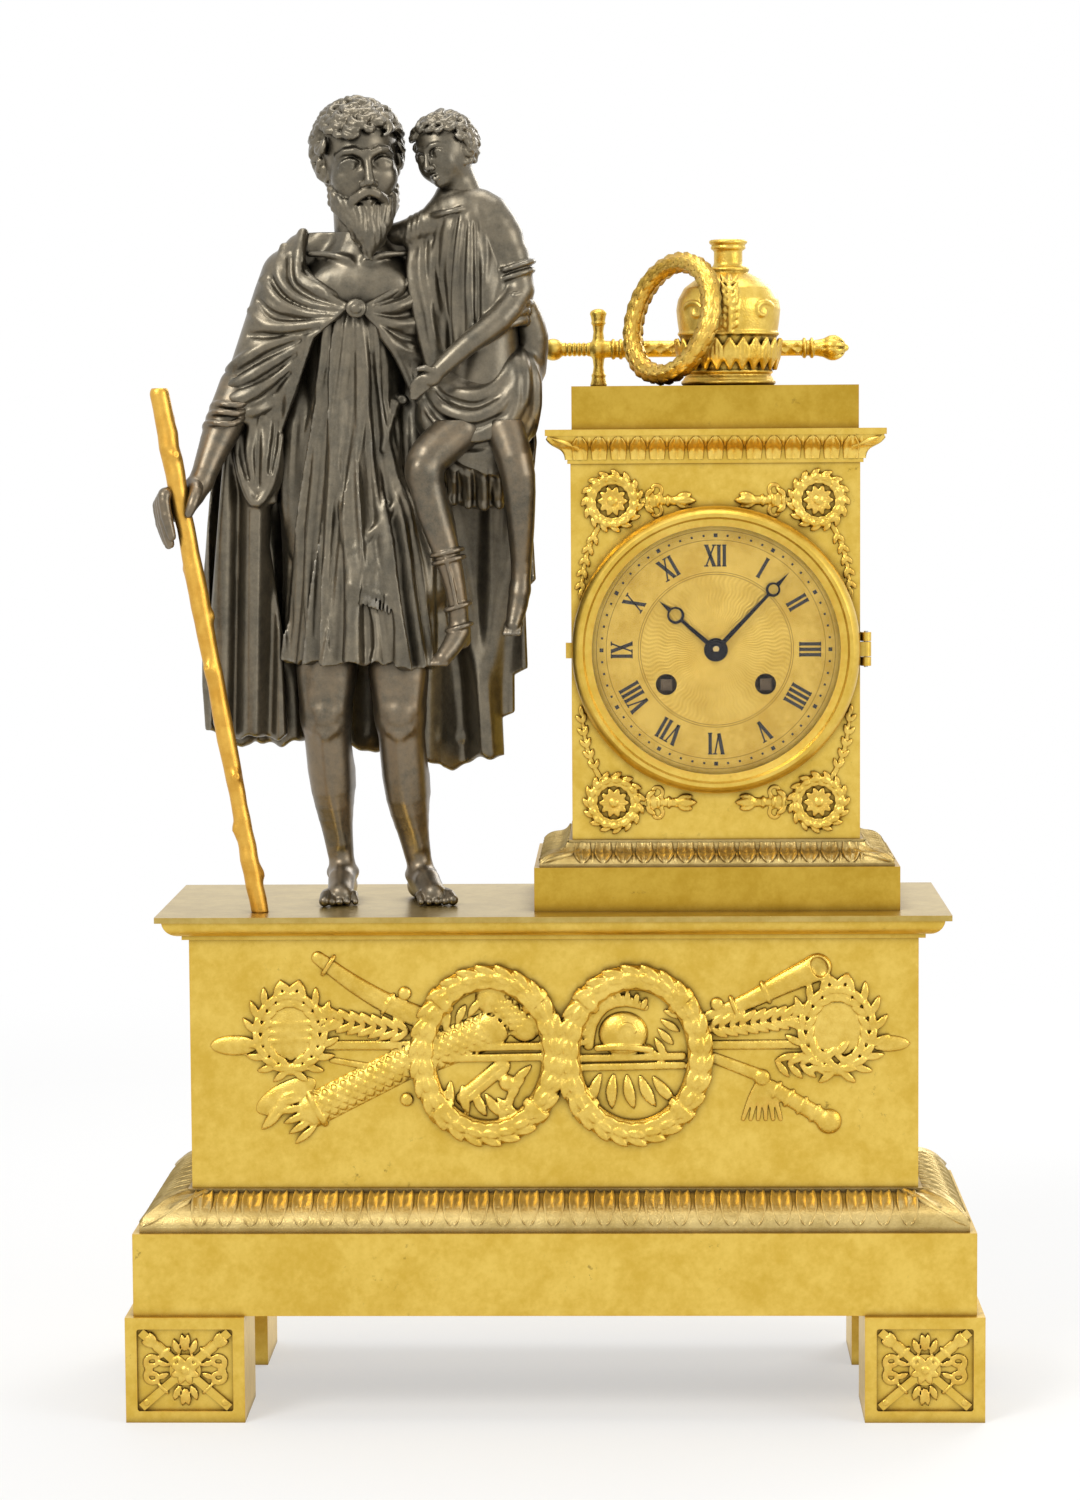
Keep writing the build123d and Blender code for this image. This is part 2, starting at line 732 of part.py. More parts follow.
# Places of the arbors round the middle of the dial
center = (0, 0)
going = (winding_offset_x, winding_offset_z)
strike = (-winding_offset_x, winding_offset_z)
barrel_reach = sqrt(winding_offset_x**2 + winding_offset_z**2)
great_teeth = 72
great_leaves = 12
great_module = 2 * barrel_reach / (great_teeth + great_leaves)
train_module = 0.36
escape_module = 0.32
train_teeth = 84
train_leaves = 7
third_reach = train_module * (train_teeth + train_leaves) / 2
escape_reach = escape_module * (train_teeth + train_leaves) / 2
escape = (0, 25)
third_z = (third_reach**2 - escape_reach**2 + escape[1] ** 2) / (2 * escape[1])
third = (sqrt(third_reach**2 - third_z**2), third_z)
pallet = (0, escape[1] + 12)
strike_module = 0.33
strike_teeth = 70
second = step_from(strike, barrel_reach, 101.8)
pins = step_from(second, strike_module * (strike_teeth + train_leaves) / 2, 51)
pin_teeth = 56
fly = step_from(pins, escape_module * (pin_teeth + train_leaves) / 2, 130.5)
motion_reach = 14
motion = step_from(center, motion_reach, 45)
hammer_pivot = (-33, -18)
arbor_fine = 0.7
arbor_barrel = 3

great_front = 20
strike_great_front = -8
center_wheel_y = great_front + 2.6
inside_front = front_plate_y + plate_thickness


def half_tooth(teeth):
    return 180 / teeth


pivot_front = front_plate_y + 0.2
pivot_back = back_plate_rear - 0.2

keep(
    train_piece(
        going,
        [(drum_radius, -2, great_front)],
        [(great_teeth, great_module, bearing(going, center), False, great_front, great_front + 2)],
        bore=(arbor_barrel + press_gap, -4, great_front + 4),
    ),
    "going_barrel",
)
keep(
    train_piece(
        strike,
        [(drum_radius, strike_great_front + 2, 16)],
        [(great_teeth, great_module, bearing(strike, second), False, strike_great_front, strike_great_front + 2)],
        bore=(arbor_barrel + press_gap, -12, 20),
    ),
    "strike_barrel",
)


def winding_arbor(place):
    with BuildPart() as arbor:
        with BuildSketch(on_dial(place, back_plate_y - 0.4)):
            Circle(arbor_barrel)
        extrude(amount=back_plate_y - 0.4 - front_plate_y + 1)
        with BuildSketch(on_dial(place, pivot_back)):
            Circle(arbor_center)
        extrude(amount=pivot_back - back_plate_y + 1)
        with BuildSketch(on_dial(place, front_plate_y - 0.2)):
            Circle(6.2)
        extrude(amount=1.2)
        with BuildSketch(on_dial(place, front_plate_y - 1)):
            Rectangle(4.4, 4.4)
        extrude(amount=front_plate_y - 1 - dial_front + 1)
    return arbor.part


keep(winding_arbor(going), "going_winding_arbor")
keep(winding_arbor(strike), "strike_winding_arbor")

keep(
    train_piece(
        center,
        [(arbor_center, minute_hand_y - 1.9, pivot_back)],
        [
            (great_leaves, great_module, bearing(center, going) + half_tooth(great_leaves), True,
             great_front - 0.4, center_wheel_y - 0.3),
            (train_teeth, train_module, bearing(center, third), False, center_wheel_y, center_wheel_y + 1),
        ],
        crossing=(4.2, 12.4, 2, center_wheel_y, center_wheel_y + 1),
    ),
    "center_wheel",
)
keep(
    train_piece(
        third,
        [(arbor_fine, pivot_front, pivot_back)],
        [
            (train_leaves, train_module, bearing(third, center) + half_tooth(train_leaves), True,
             center_wheel_y - 0.2, center_wheel_y + 1.2),
            (train_teeth, escape_module, bearing(third, escape), False, -5, -4),
        ],
        crossing=(3, 11.2, 1.8, -5, -4),
    ),
    "third_wheel",
)

escape_radius = 8.5
escape_teeth = 42
with BuildPart() as escape_wheel:
    with BuildSketch(on_dial(escape, pivot_back)):
        Circle(arbor_fine)
    extrude(amount=pivot_back - pivot_front)
    with BuildSketch(on_dial(escape, -3)):
        with BuildLine():
            Polyline(
                *tooth_outline(train_leaves, escape_module, bearing(escape, third) + half_tooth(train_leaves), True),
                close=True,
            )
        make_face()
    extrude(amount=3)
    with BuildSketch(on_dial(escape, 9)):
        with BuildLine():
            Polyline(
                *[
                    polar(escape_radius - drop, 90 + (index + lag) * 360 / escape_teeth)
                    for index in range(escape_teeth)
                    for drop, lag in ((1.3, 0), (0, 0.62), (0, 0.7), (1.3, 0.78))
                ],
                close=True,
            )
        make_face()
        with PolarLocations(4.2, 4):
            Circle(1.9, mode=Mode.SUBTRACT)
    extrude(amount=1)
keep(escape_wheel.part, "escape_wheel")

# Anchor with its crutch; the tips stand off the escape teeth through the whole swing
crutch_drop = 42
crutch_y = back_plate_rear + 1
with BuildPart() as pallet_anchor:
    with BuildSketch(on_dial(pallet, crutch_y + 1)):
        Circle(arbor_fine)
    extrude(amount=crutch_y + 1 - pivot_front)
    with BuildSketch(on_dial(pallet, 9.5)):
        Circle(2.2)
        with BuildLine():
            Polyline((0, 1.4), (7.2, -3.6), (7.4, -5.4), (6.6, -5), (0, -1.2), close=True)
        make_face()
        with BuildLine():
            Polyline((0, 1.4), (-7.2, -3.6), (-7.4, -5.4), (-6.6, -5), (0, -1.2), close=True)
        make_face()
    extrude(amount=2)
    with BuildSketch(on_dial(pallet, crutch_y + 1)):
        Circle(1.8)
        with Locations((0, -crutch_drop / 2)):
            Rectangle(1.4, crutch_drop)
        with Locations((0, -crutch_drop)):
            Rectangle(5.2, 1.6)
    extrude(amount=1)
    with BuildSketch(on_dial(pallet, pendulum_y + 1.4)):
        with Locations((-2, -crutch_drop), (2, -crutch_drop)):
            Rectangle(1.2, 1.6)
    extrude(amount=pendulum_y + 1.4 - crutch_y)
keep(pallet_anchor.part, "pallet_anchor")

with BuildPart() as suspension_cock:
    with BuildSketch(on_dial(pallet, pendulum_y + 3)):
        with Locations((0, 4.4)):
            Rectangle(8, 3)
    extrude(amount=pendulum_y + 3 - back_plate_rear)
    with BuildSketch(on_dial(pallet, pendulum_y + 3)):
        with Locations((0, 1.5)):
            Rectangle(4, 7)
    extrude(amount=1)
    with BuildSketch(on_dial(pallet, pendulum_y + 3)):
        Circle(arbor_fine)
    extrude(amount=5.2)
bob_radius = 13
with BuildPart() as pendulum:
    with BuildSketch(on_dial(pallet, pendulum_y + 1.5)):
        Circle(2.3)
        with Locations((0, -2)):
            Rectangle(2.4, 4)
    extrude(amount=3)
    with Locations((case_x + pallet[0], pendulum_y, dial_z + pallet[1] - (pendulum_length + bob_radius + 3) / 2 - 1)):
        Cylinder(1, pendulum_length + bob_radius + 1)
    with BuildSketch(beside_dial((pallet[0], pallet[1] - pendulum_length))):
        with BuildLine():
            Polyline((0, pendulum_y - 2.6), (bob_radius - 5, pendulum_y - 2.6), (bob_radius, pendulum_y - 0.8),
                     (bob_radius, pendulum_y + 0.8), (bob_radius - 5, pendulum_y + 2.6), (0, pendulum_y + 2.6),
                     close=True)
        make_face()
    revolve(axis=dial_axis((pallet[0], pallet[1] - pendulum_length)))
    with Locations((case_x, pendulum_y, dial_z + pallet[1] - pendulum_length - bob_radius - 1)):
        Cylinder(2.4, 1.6)
    with BuildSketch(on_dial(pallet, pendulum_y + 5)):
        Circle(arbor_fine + press_gap)
    extrude(amount=10, mode=Mode.SUBTRACT)
keep(pendulum.part, "pendulum")

# Motion work behind the dial
cannon_teeth, minute_teeth = 14, 42
nut_leaves, hour_teeth = 12, 48
cannon_module = 2 * motion_reach / (cannon_teeth + minute_teeth)
hour_module = 2 * motion_reach / (nut_leaves + hour_teeth)
minute_wheel_y = front_plate_y - 3
hour_wheel_y = front_plate_y - 7
keep(
    train_piece(
        center,
        [(cannon_outer, minute_hand_y - 0.7, minute_wheel_y)],
        [(cannon_teeth, cannon_module, bearing(center, motion) + half_tooth(cannon_teeth), True,
          minute_wheel_y - 0.5, minute_wheel_y + 1.8)],
        bore=(arbor_center + press_gap, -40, 0),
    ),
    "cannon_pinion",
)
keep(
    train_piece(
        motion,
        [(1.9, hour_wheel_y - 0.4, minute_wheel_y + 1)],
        [
            (minute_teeth, cannon_module, bearing(motion, center), False, minute_wheel_y, minute_wheel_y + 1.2),
            (nut_leaves, hour_module, bearing(motion, center) + half_tooth(nut_leaves), True,
             hour_wheel_y - 0.4, minute_wheel_y),
        ],
        crossing=(4.4, 8.4, 2, minute_wheel_y, minute_wheel_y + 1.2),
        bore=(1 + press_gap, -40, 0),
    ),
    "minute_wheel",
)
keep(
    train_piece(
        center,
        [(hour_pipe_outer, hour_hand_y - 0.8, hour_wheel_y)],
        [(hour_teeth, hour_module, bearing(center, motion), False, hour_wheel_y, hour_wheel_y + 1.2)],
        crossing=(4.4, 9, 2, hour_wheel_y, hour_wheel_y + 1.2),
        bore=(cannon_outer + 2 * press_gap, -40, 0),
    ),
    "hour_wheel",
)

# Striking train
second_y = 18
second_arbor = train_piece(
    second,
    [(arbor_center, pivot_front, back_plate_rear + 3)],
    [
        (great_leaves, great_module, bearing(second, strike) + half_tooth(great_leaves), True,
         strike_great_front - 0.4, strike_great_front + 2.4),
        (strike_teeth, strike_module, bearing(second, pins), False, second_y, second_y + 1),
    ],
    crossing=(3.4, 9.4, 1.8, second_y, second_y + 1),
)
pin_circle = 6.4
with BuildPart() as pin_wheel:
    add(
        train_piece(
            pins,
            [(arbor_fine, pivot_front, pivot_back)],
            [
                (train_leaves, strike_module, bearing(pins, second) + half_tooth(train_leaves), True,
                 second_y - 0.6, second_y + 1.6),
                (pin_teeth, escape_module, bearing(pins, fly), False, 4, 5),
            ],
        )
    )
    with BuildSketch(on_dial(pins, 7.4)):
        with PolarLocations(pin_circle, 8):
            Circle(0.5)
    extrude(amount=2.4)
keep(pin_wheel.part, "pin_wheel")

with BuildPart() as fly_vane:
    add(
        train_piece(
            fly,
            [(arbor_fine, pivot_front, pivot_back)],
            [(train_leaves, escape_module, bearing(fly, pins) + half_tooth(train_leaves), True, 3, 6)],
        )
    )
    with BuildSketch(on_dial(fly, 17)):
        Rectangle(8.6, 0.6, rotation=20)
        Circle(1.3)
    extrude(amount=8)
keep(fly_vane.part, "fly_vane")

count_radius = 13
with BuildPart() as strike_second_wheel:
    add(second_arbor)
    with BuildSketch(on_dial(second, back_plate_rear + 2.2)):
        Circle(count_radius)
        for hour in range(1, 13):
            strokes = hour * (hour + 1) / 2
            with Locations(polar(count_radius, strokes * 360 / 78)):
                Rectangle(3.6, 1.2, rotation=strokes * 360 / 78, mode=Mode.SUBTRACT)
        with PolarLocations(6.5, 4):
            Circle(2.4, mode=Mode.SUBTRACT)
        Circle(arbor_center + press_gap, mode=Mode.SUBTRACT)
    extrude(amount=1.2)
keep(strike_second_wheel.part, "strike_second_wheel")

# Plates with a hole for every arbor
pillar_places = [polar(39, angle) for angle in (0, 50, 140, 180, 270)]
fine_places = [third, escape, pallet, pins, fly]
front_holes = [(place, arbor_fine + press_gap) for place in fine_places]
front_holes += [(place, arbor_center + press_gap) for place in (center, second)]
front_holes += [(place, arbor_barrel + press_gap) for place in (going, strike)]
back_holes = [(place, arbor_fine + press_gap) for place in fine_places]
back_holes += [(place, arbor_center + press_gap) for place in (center, second, going, strike)]

with BuildPart() as front_plate:
    with BuildSketch(on_dial(center, inside_front)):
        Circle(plate_radius)
        with Locations(*pillar_places):
            Circle(1.4 + press_gap, mode=Mode.SUBTRACT)
        for place, radius in front_holes:
            with Locations(place):
                Circle(radius, mode=Mode.SUBTRACT)
    extrude(amount=plate_thickness)
    with BuildSketch(on_dial(motion, front_plate_y)):
        Circle(1)
    extrude(amount=front_plate_y - hour_wheel_y + 0.4)
keep(front_plate.part, "front_plate")

with BuildPart() as back_plate:
    with BuildSketch(on_dial(center, back_plate_rear)):
        Circle(plate_radius)
        with Locations(*pillar_places):
            Circle(1.4 + press_gap, mode=Mode.SUBTRACT)
        for place, radius in back_holes:
            with Locations(place):
                Circle(radius, mode=Mode.SUBTRACT)
    extrude(amount=plate_thickness)
    with BuildSketch(on_dial(hammer_pivot, bell_rim_y + 6)):
        Circle(arbor_center)
    extrude(amount=bell_rim_y + 6 - back_plate_rear)
keep(back_plate.part, "back_plate")

with BuildPart() as plate_pillars:
    with BuildSketch(on_dial(center, back_plate_y)):
        with Locations(*pillar_places):
            Circle(2.6)
    extrude(amount=back_plate_y - inside_front)
    with BuildSketch(on_dial(center, back_plate_rear)):
        with Locations(*pillar_places):
            Circle(1.4)
    extrude(amount=back_plate_rear - front_plate_y)
keep(plate_pillars.part, "plate_pillars")

# Bell on its stand, and the hammer
bell_middle = (0, -2)
bell_apex = bell_rim_y + bell_depth
bell_wall = 1.6
with BuildPart() as bell:
    with BuildSketch(beside_dial(bell_middle)):
        with BuildLine():
            Spline(
                (1.6, bell_apex),
                (bell_radius * 0.7, bell_apex - bell_depth * 0.28),
                (bell_radius, bell_rim_y),
                tangents=[(1, 0), (0.25, -1)],
            )
            Line((bell_radius, bell_rim_y), (bell_radius - bell_wall, bell_rim_y))
            Spline(
                (bell_radius - bell_wall, bell_rim_y),
                (bell_radius * 0.7 - bell_wall * 0.5, bell_apex - bell_depth * 0.28 - bell_wall),
                (1.6, bell_apex - bell_wall),
                tangents=[(-0.25, 1), (-1, 0)],
            )
            Line((1.6, bell_apex - bell_wall), (1.6, bell_apex))
        make_face()
    revolve(axis=dial_axis(bell_middle))
keep(bell.part, "bell")

stand_foot = (35, -12)
with BuildPart() as rear_cocks:
    add(suspension_cock.part)
    with BuildSketch(on_dial(stand_foot, back_plate_rear + 1.6)):
        Circle(4)
    extrude(amount=1.6)
    with BuildSketch(on_dial(stand_foot, bell_apex + 2)):
        Circle(2)
    extrude(amount=bell_apex + 2 - back_plate_rear)
    with BuildSketch(on_dial(center, bell_apex + 2)):
        with BuildLine():
            Polyline((stand_foot[0] - 1, stand_foot[1] - 2.4), (stand_foot[0] + 1, stand_foot[1] + 2.4),
                     (bell_middle[0], bell_middle[1] + 2.5), (bell_middle[0], bell_middle[1] - 2.5), close=True)
        make_face()
        with Locations(stand_foot):
            Circle(2.5)
        with Locations(bell_middle):
            Circle(3.5)
    extrude(amount=2)
    with BuildSketch(on_dial(bell_middle, bell_apex)):
        Circle(1.5)
    extrude(amount=bell_wall + 2)
    with BuildSketch(on_dial(bell_middle, bell_apex - bell_wall - hinge_gap)):
        Circle(3.4)
    extrude(amount=1.6)
keep(rear_cocks.part, "rear_cocks")

head_y = bell_rim_y + 2.6
with BuildPart() as hammer:
    with BuildSketch(on_dial(hammer_pivot, head_y + 2)):
        Circle(2.8)
        with Locations((0, 8)):
            Rectangle(2, 16)
        Circle(arbor_center + press_gap, mode=Mode.SUBTRACT)
    extrude(amount=4)
    with Locations(Plane((case_x - bell_radius - 3.8, head_y, dial_z + bell_middle[1]), z_dir=(1, 0, 0))):
        Cylinder(3.2, 6)
keep(hammer.part, "hammer")

# Back ring with its hinged cover, drawn up to the straps by two screws
back_ring_outer = plate_radius + 10.8
back_ring_face = case_back + seat_thickness
with BuildPart() as back_ring:
    with BuildSketch(on_dial(center, back_ring_face)):
        Circle(back_ring_outer)
        Circle(plate_radius - 3.2, mode=Mode.SUBTRACT)
        for angle in strap_angles:
            with Locations(polar(strap_middle, angle)):
                Circle(1.2 + slip_gap, mode=Mode.SUBTRACT)
    extrude(amount=seat_thickness)
    for end in (-1, 1):
        middle = end * (knuckle_half + hinge_gap + knuckle_end) / 2
        tall = knuckle_end - knuckle_half - hinge_gap
        with Locations((cover_hinge_x, cover_hinge_y, dial_z + middle)):
            Cylinder(1.8, tall)
        with Locations((cover_hinge_x, (back_ring_face + cover_hinge_y) / 2, dial_z + middle)):
            Box(3.2, cover_hinge_y - back_ring_face, tall)
    with Locations((cover_hinge_x, cover_hinge_y, dial_z)):
        Cylinder(hinge_pin + press_gap, 3 * knuckle_end, mode=Mode.SUBTRACT)
keep(back_ring.part, "back_ring")

# Screws, studs, nuts and hinge pins that hold the pieces together
with BuildPart() as fixings:
    with BuildSketch(Plane.XY.offset(foot_height + flange_thickness)):
        with Locations(*foot_places):
            Circle(4.5)
    extrude(amount=3)
    with BuildSketch(Plane.XY.offset(foot_height + flange_thickness)):
        with Locations(*foot_places):
            Circle(2.5)
    extrude(amount=-flange_thickness - 12)
    with BuildSketch(Plane.XY.offset(foot_height + flange_thickness + 3)):
        with Locations(*foot_places):
            Rectangle(9, 1)
    extrude(amount=-1, mode=Mode.SUBTRACT)
    with BuildSketch(Plane.XY.offset(plate_floor - 8)):
        with Locations(*stud_places):
            Circle(stud_radius)
    extrude(amount=8 + top_plate_thickness + stud_reach - 1)
    with BuildSketch(Plane.XY.offset(plate_floor - 4)):
        with Locations(*stud_places):
            RegularPolygon(4.6, 6)
            Circle(stud_radius + press_gap, mode=Mode.SUBTRACT)
    extrude(amount=4)
    with Locations((bezel_hinge_x, bezel_hinge_y, dial_z), (cover_hinge_x, cover_hinge_y, dial_z)):
        Cylinder(hinge_pin, 2 * knuckle_end + 1)
    for angle in strap_angles:
        with BuildSketch(on_dial(polar(strap_middle, angle), back_ring_face + 1.4)):
            Circle(2.4)
        extrude(amount=1.4)
        with BuildSketch(on_dial(polar(strap_middle, angle), back_ring_face)):
            Circle(1.2)
        extrude(amount=seat_thickness + 10)
keep(fixings.part, "fixings")

cover_back = back_ring_face + hinge_gap
with BuildPart() as back_cover:
    with BuildSketch(beside_dial(center)):
        with BuildLine():
            Polyline(
                (0, cover_back + 4.2),
                (18, cover_back + 3.6),
                (32, cover_back + 2.2),
                (cover_radius - 4, cover_back + 1.2),
                (cover_radius, cover_back + 1.2),
                (cover_radius, cover_back),
                (cover_radius - 5, cover_back),
                (31, cover_back + 1),
                (17, cover_back + 2.3),
                (0, cover_back + 2.9),
                close=True,
            )
        make_face()
    revolve(axis=dial_axis(center))
    with Locations((cover_hinge_x, cover_hinge_y, dial_z)):
        Cylinder(1.8, 2 * knuckle_half)
    with Locations((cover_hinge_x - 2.6, cover_hinge_y - 0.5, dial_z)):
        Box(5.2, 1.8, 2 * knuckle_half)
    with BuildSketch(on_dial((-36, 0), cover_back + 5.4)):
        Circle(2.2)
    extrude(amount=4.4)
    with Locations((cover_hinge_x, cover_hinge_y, dial_z)):
        Cylinder(hinge_pin + press_gap, 3 * knuckle_end, mode=Mode.SUBTRACT)
keep(back_cover.part, "back_cover")


# Figure group. Each table row is (right of the figure line, back, above the plate, half width, half depth)
def figure_level(x, y, height):
    return Plane((figure_x + x, y, standing + height))


def fold_points(half_wide, half_deep, folds, depth):
    # Round outline with soft folds, the same count of points at every level
    points = []
    for index in range(36):
        angle = index * pi / 18
        swell = 1 + depth * cos(folds * angle)
        points.append((half_wide * swell * cos(angle), half_deep * swell * sin(angle)))
    return points


def round_limb(stations):
    # Limb or head lofted through level ovals
    with BuildPart() as limb:
        for x, y, height, half_wide, half_deep in stations:
            with BuildSketch(figure_level(x, y, height)):
                Ellipse(half_wide, half_deep)
        loft()
    return limb.part


with BuildPart() as man_tunic:
    for x, y, height, half_wide, half_deep, depth in (
        (0.5, -1, hem_height, 30, 21, 0.05),
        (0, 0, hem_height + 41, 26.5, 19.5, 0.04),
        (-1, 1, hem_height + 96, 22.5, 16.5, 0.02),
        (-1, 1, hem_height + 131, 27, 18.5, 0.01),
        (0, 2, hem_height + 157, 25, 14, 0),
        (2, 2, hem_height + 168, 11, 9.5, 0),
    ):
        with BuildSketch(figure_level(x, y, height)):
            with BuildLine():
                Spline(*fold_points(half_wide, half_deep, 9, depth), periodic=True)
            make_face()
    loft()
keep(man_tunic.part, "man_tunic")

head_stations = [
    (2.5, 2, 256, 9.5, 9.5),
    (2, 0, 268, 11.5, 13),
    (1.5, -1, 277, 14.5, 17),
    (1, -1, 287, 16.5, 18.5),
    (1, 0, 297, 17.3, 19.3),
    (1, 0.5, 307, 13.5, 15.5),
    (1, 1, 313.5, 5, 6),
]
beard_stations = [(3.5, -12, 281, 10.5, 6), (4.5, -14, 268, 10.5, 7.5), (5.5, -14, 257.5, 3.5, 3)]
with BuildPart() as man_head:
    add(round_limb(head_stations))
    add(round_limb(beard_stations))
    add(man_tunic.part, mode=Mode.SUBTRACT)
keep(man_head.part, "man_head")

left_leg = [(-13, 0, hem_height + 6, 10.5, 10.5), (-14, -3, 74, 9.6, 9.6), (-12.5, 2, 46, 8.2, 8.8),
            (-8.8, 2, 20, 5, 5.6), (-8.2, 1, 6, 5.4, 6.4)]
right_leg = [(14, -1, hem_height + 6, 10.5, 10.5), (15.5, -5, 74, 9.8, 9.8), (17, 1, 42, 8.2, 8.8),
             (22.8, 1, 18, 4.9, 5.4), (24, 0, 6, 5.2, 6.4)]
left_foot = [(-8.2, 12, 10, 11), (-8.4, 1, 12, 14), (-9, -11, 16, 9), (-8.6, -19.5, 13, 5.5)]
right_foot = [(22.4, 13, 10, 11), (24, 1, 12, 14), (27.5, -10, 16, 9), (30, -18, 13, 5.5)]


def bare_foot(stations):
    # Foot lofted from heel to toe, flat on the plate
    with BuildPart() as foot:
        for x, y, wide, tall in stations:
            with BuildSketch(facing(figure_x + x, y, standing + tall / 2)):
                RectangleRounded(wide, tall, tall * 0.3)
        loft()
    return foot.part


with BuildPart() as man_legs:
    add(round_limb(left_leg))
    add(bare_foot(left_foot))
    add(round_limb(right_leg))
    add(bare_foot(right_foot))
    add(man_tunic.part, mode=Mode.SUBTRACT)
    with BuildSketch(Plane.XY.offset(standing)):
        with Locations(*figure_studs):
            Circle(stud_radius + press_gap)
    extrude(amount=stud_reach, mode=Mode.SUBTRACT)
keep(man_legs.part, "man_legs")

# Staff, a tapered knotty stick that stands on the plate
staff_foot = (figure_x - 37.8, -35.5, standing)
staff_head = (figure_x - 75, -26, standing + 200.5)
staff_line = Vector(*staff_head) - Vector(*staff_foot)
with BuildPart() as staff:
    for share, radius in ((-0.04, 3.1), (0.12, 3.5), (0.3, 3.2), (0.52, 3.7), (0.76, 3.5), (0.97, 4.1), (1, 3.2)):
        with BuildSketch(Plane(Vector(*staff_foot) + staff_line * share, z_dir=staff_line)):
            Circle(radius * staff_radius / 3.7)
    loft()
    split(bisect_by=Plane.XY.offset(standing), keep=Keep.TOP)
keep(staff.part, "staff")

# Cloak: a folded sheet behind the body, a mantle over the right arm and a swag across the chest
cloak_levels = (
    (256, -23, 22, 4, 15, 3, 0),
    (215, -45, 52, -2, 24, 3.4, 1.2),
    (140, -57, 62, 0, 27, 3.8, 2.2),
    (60, -58, 56, 6, 27, 3.8, 2.8),
)
mantle = [(-20, 2, 263, 8, 10), (-27, 1, 249, 15, 17), (-37, -1, 222, 17, 17), (-47, -4, 199, 13.5, 14),
          (-54, -8, 187, 8.5, 9)]
with BuildPart() as man_cloak:
    for height, left, right, tips, back, half, fold in cloak_levels:
        near, far = [], []
        for index in range(17):
            share = index / 16
            x = figure_x + left + (right - left) * share
            y = tips + (back - tips) * sin(pi * share) ** 0.6 + fold * sin(share * 7 * 2 * pi)
            near.append((x, y - half))
            far.append((x, y + half))
        with BuildSketch(Plane.XY.offset(standing + height)):
            with BuildLine():
                Spline(*near)
                Line(near[-1], far[-1])
                Spline(*reversed(far))
                Line(far[0], near[0])
            make_face()
    loft()
    add(round_limb(mantle))
    with BuildLine() as swag:
        Spline(
            (figure_x - 24, -6, standing + 252),
            (figure_x - 8, -19, standing + 238),
            (figure_x + 6, -19.5, standing + 236),
            (figure_x + 24, -6, standing + 250),
        )
    with BuildSketch(Plane(swag.line @ 0, z_dir=swag.line % 0)):
        Ellipse(7, 5)
    sweep(path=swag.line)
    add(man_tunic.part, mode=Mode.SUBTRACT)
    add(man_head.part, mode=Mode.SUBTRACT)
    add(man_legs.part, mode=Mode.SUBTRACT)
keep(man_cloak.part, "man_cloak")

right_arm = [(-50, -5, 194, 7, 7), (-57, -13, 176, 5.6, 6), (-62, -22, 163, 4.8, 5), (-65, -27.5, 156, 7.5, 7.5),
             (-66.5, -28.5, 148, 7.8, 7.8), (-70, -29, 140, 4.5, 4)]
with BuildPart() as man_right_arm:
    add(round_limb(right_arm))
    add(man_cloak.part, mode=Mode.SUBTRACT)
    add(staff.part, mode=Mode.SUBTRACT)
keep(man_right_arm.part, "man_right_arm")

# Child, carried on the other arm in a hanging cloth
child_cloth = [(46, -11, 163, 19, 12), (47, -11, 182, 24.5, 16), (48, -10, 200, 22, 16), (50, -8, 215, 14, 12)]
with BuildPart() as child_drape:
    add(round_limb(child_cloth))
    add(man_tunic.part, mode=Mode.SUBTRACT)
    add(man_cloak.part, mode=Mode.SUBTRACT)
keep(child_drape.part, "child_drape")

child_body = [(51, -8, 206, 14, 12), (49, -8, 232, 13, 11), (45, -6, 260, 13, 10), (40, -5, 273, 6.5, 6)]
child_arm = [(58, -10, 256, 6, 6), (64, -10, 240, 6.5, 6.5), (60, -17, 226, 5.2, 5.2), (44, -24, 214, 4.2, 4.2),
             (30, -25, 204, 4, 4)]
with BuildPart() as child_torso:
    add(round_limb(child_body))
    add(round_limb(child_arm))
    for taken in (child_drape, man_tunic, man_cloak, man_head):
        add(taken.part, mode=Mode.SUBTRACT)
keep(child_torso.part, "child_torso")

child_skull = [(39, -5, 270, 6, 6), (37, -7, 279, 9.4, 10), (35.5, -7, 288, 11.6, 12.4), (35.5, -6, 297, 11.4, 12.2),
               (35.5, -5, 304, 8, 8.6), (35.5, -5, 307.3, 3, 3.4)]
with BuildPart() as child_head:
    add(round_limb(child_skull))
    for taken in (child_torso, man_head, man_cloak):
        add(taken.part, mode=Mode.SUBTRACT)
keep(child_head.part, "child_head")

child_near_leg = [(36, -18, 182, 8, 8), (28.5, -25, 170, 7, 7.4), (31.5, -26.5, 150, 5.8, 6.2), (37.5, -25, 120, 3.8, 4.2),
                  (36.5, -28, 106, 4.8, 6.4), (33.5, -32, 97, 3.6, 4.6)]
child_far_leg = [(58, -18, 180, 8, 8), (63, -23, 164, 6.6, 7), (64, -19, 144, 5.6, 6), (64, -14, 126, 3.7, 4),
                 (63, -18, 117, 4.4, 6)]
with BuildPart() as child_legs:
    add(round_limb(child_near_leg))
    add(round_limb(child_far_leg))
    for taken in (child_drape, child_torso, man_tunic, man_cloak):
        add(taken.part, mode=Mode.SUBTRACT)
keep(child_legs.part, "child_legs")
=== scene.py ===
from math import atan2, cos, hypot, pi, radians, sin, sqrt
import bpy
import numpy as np
import openvdb
from mathutils import Matrix, Vector


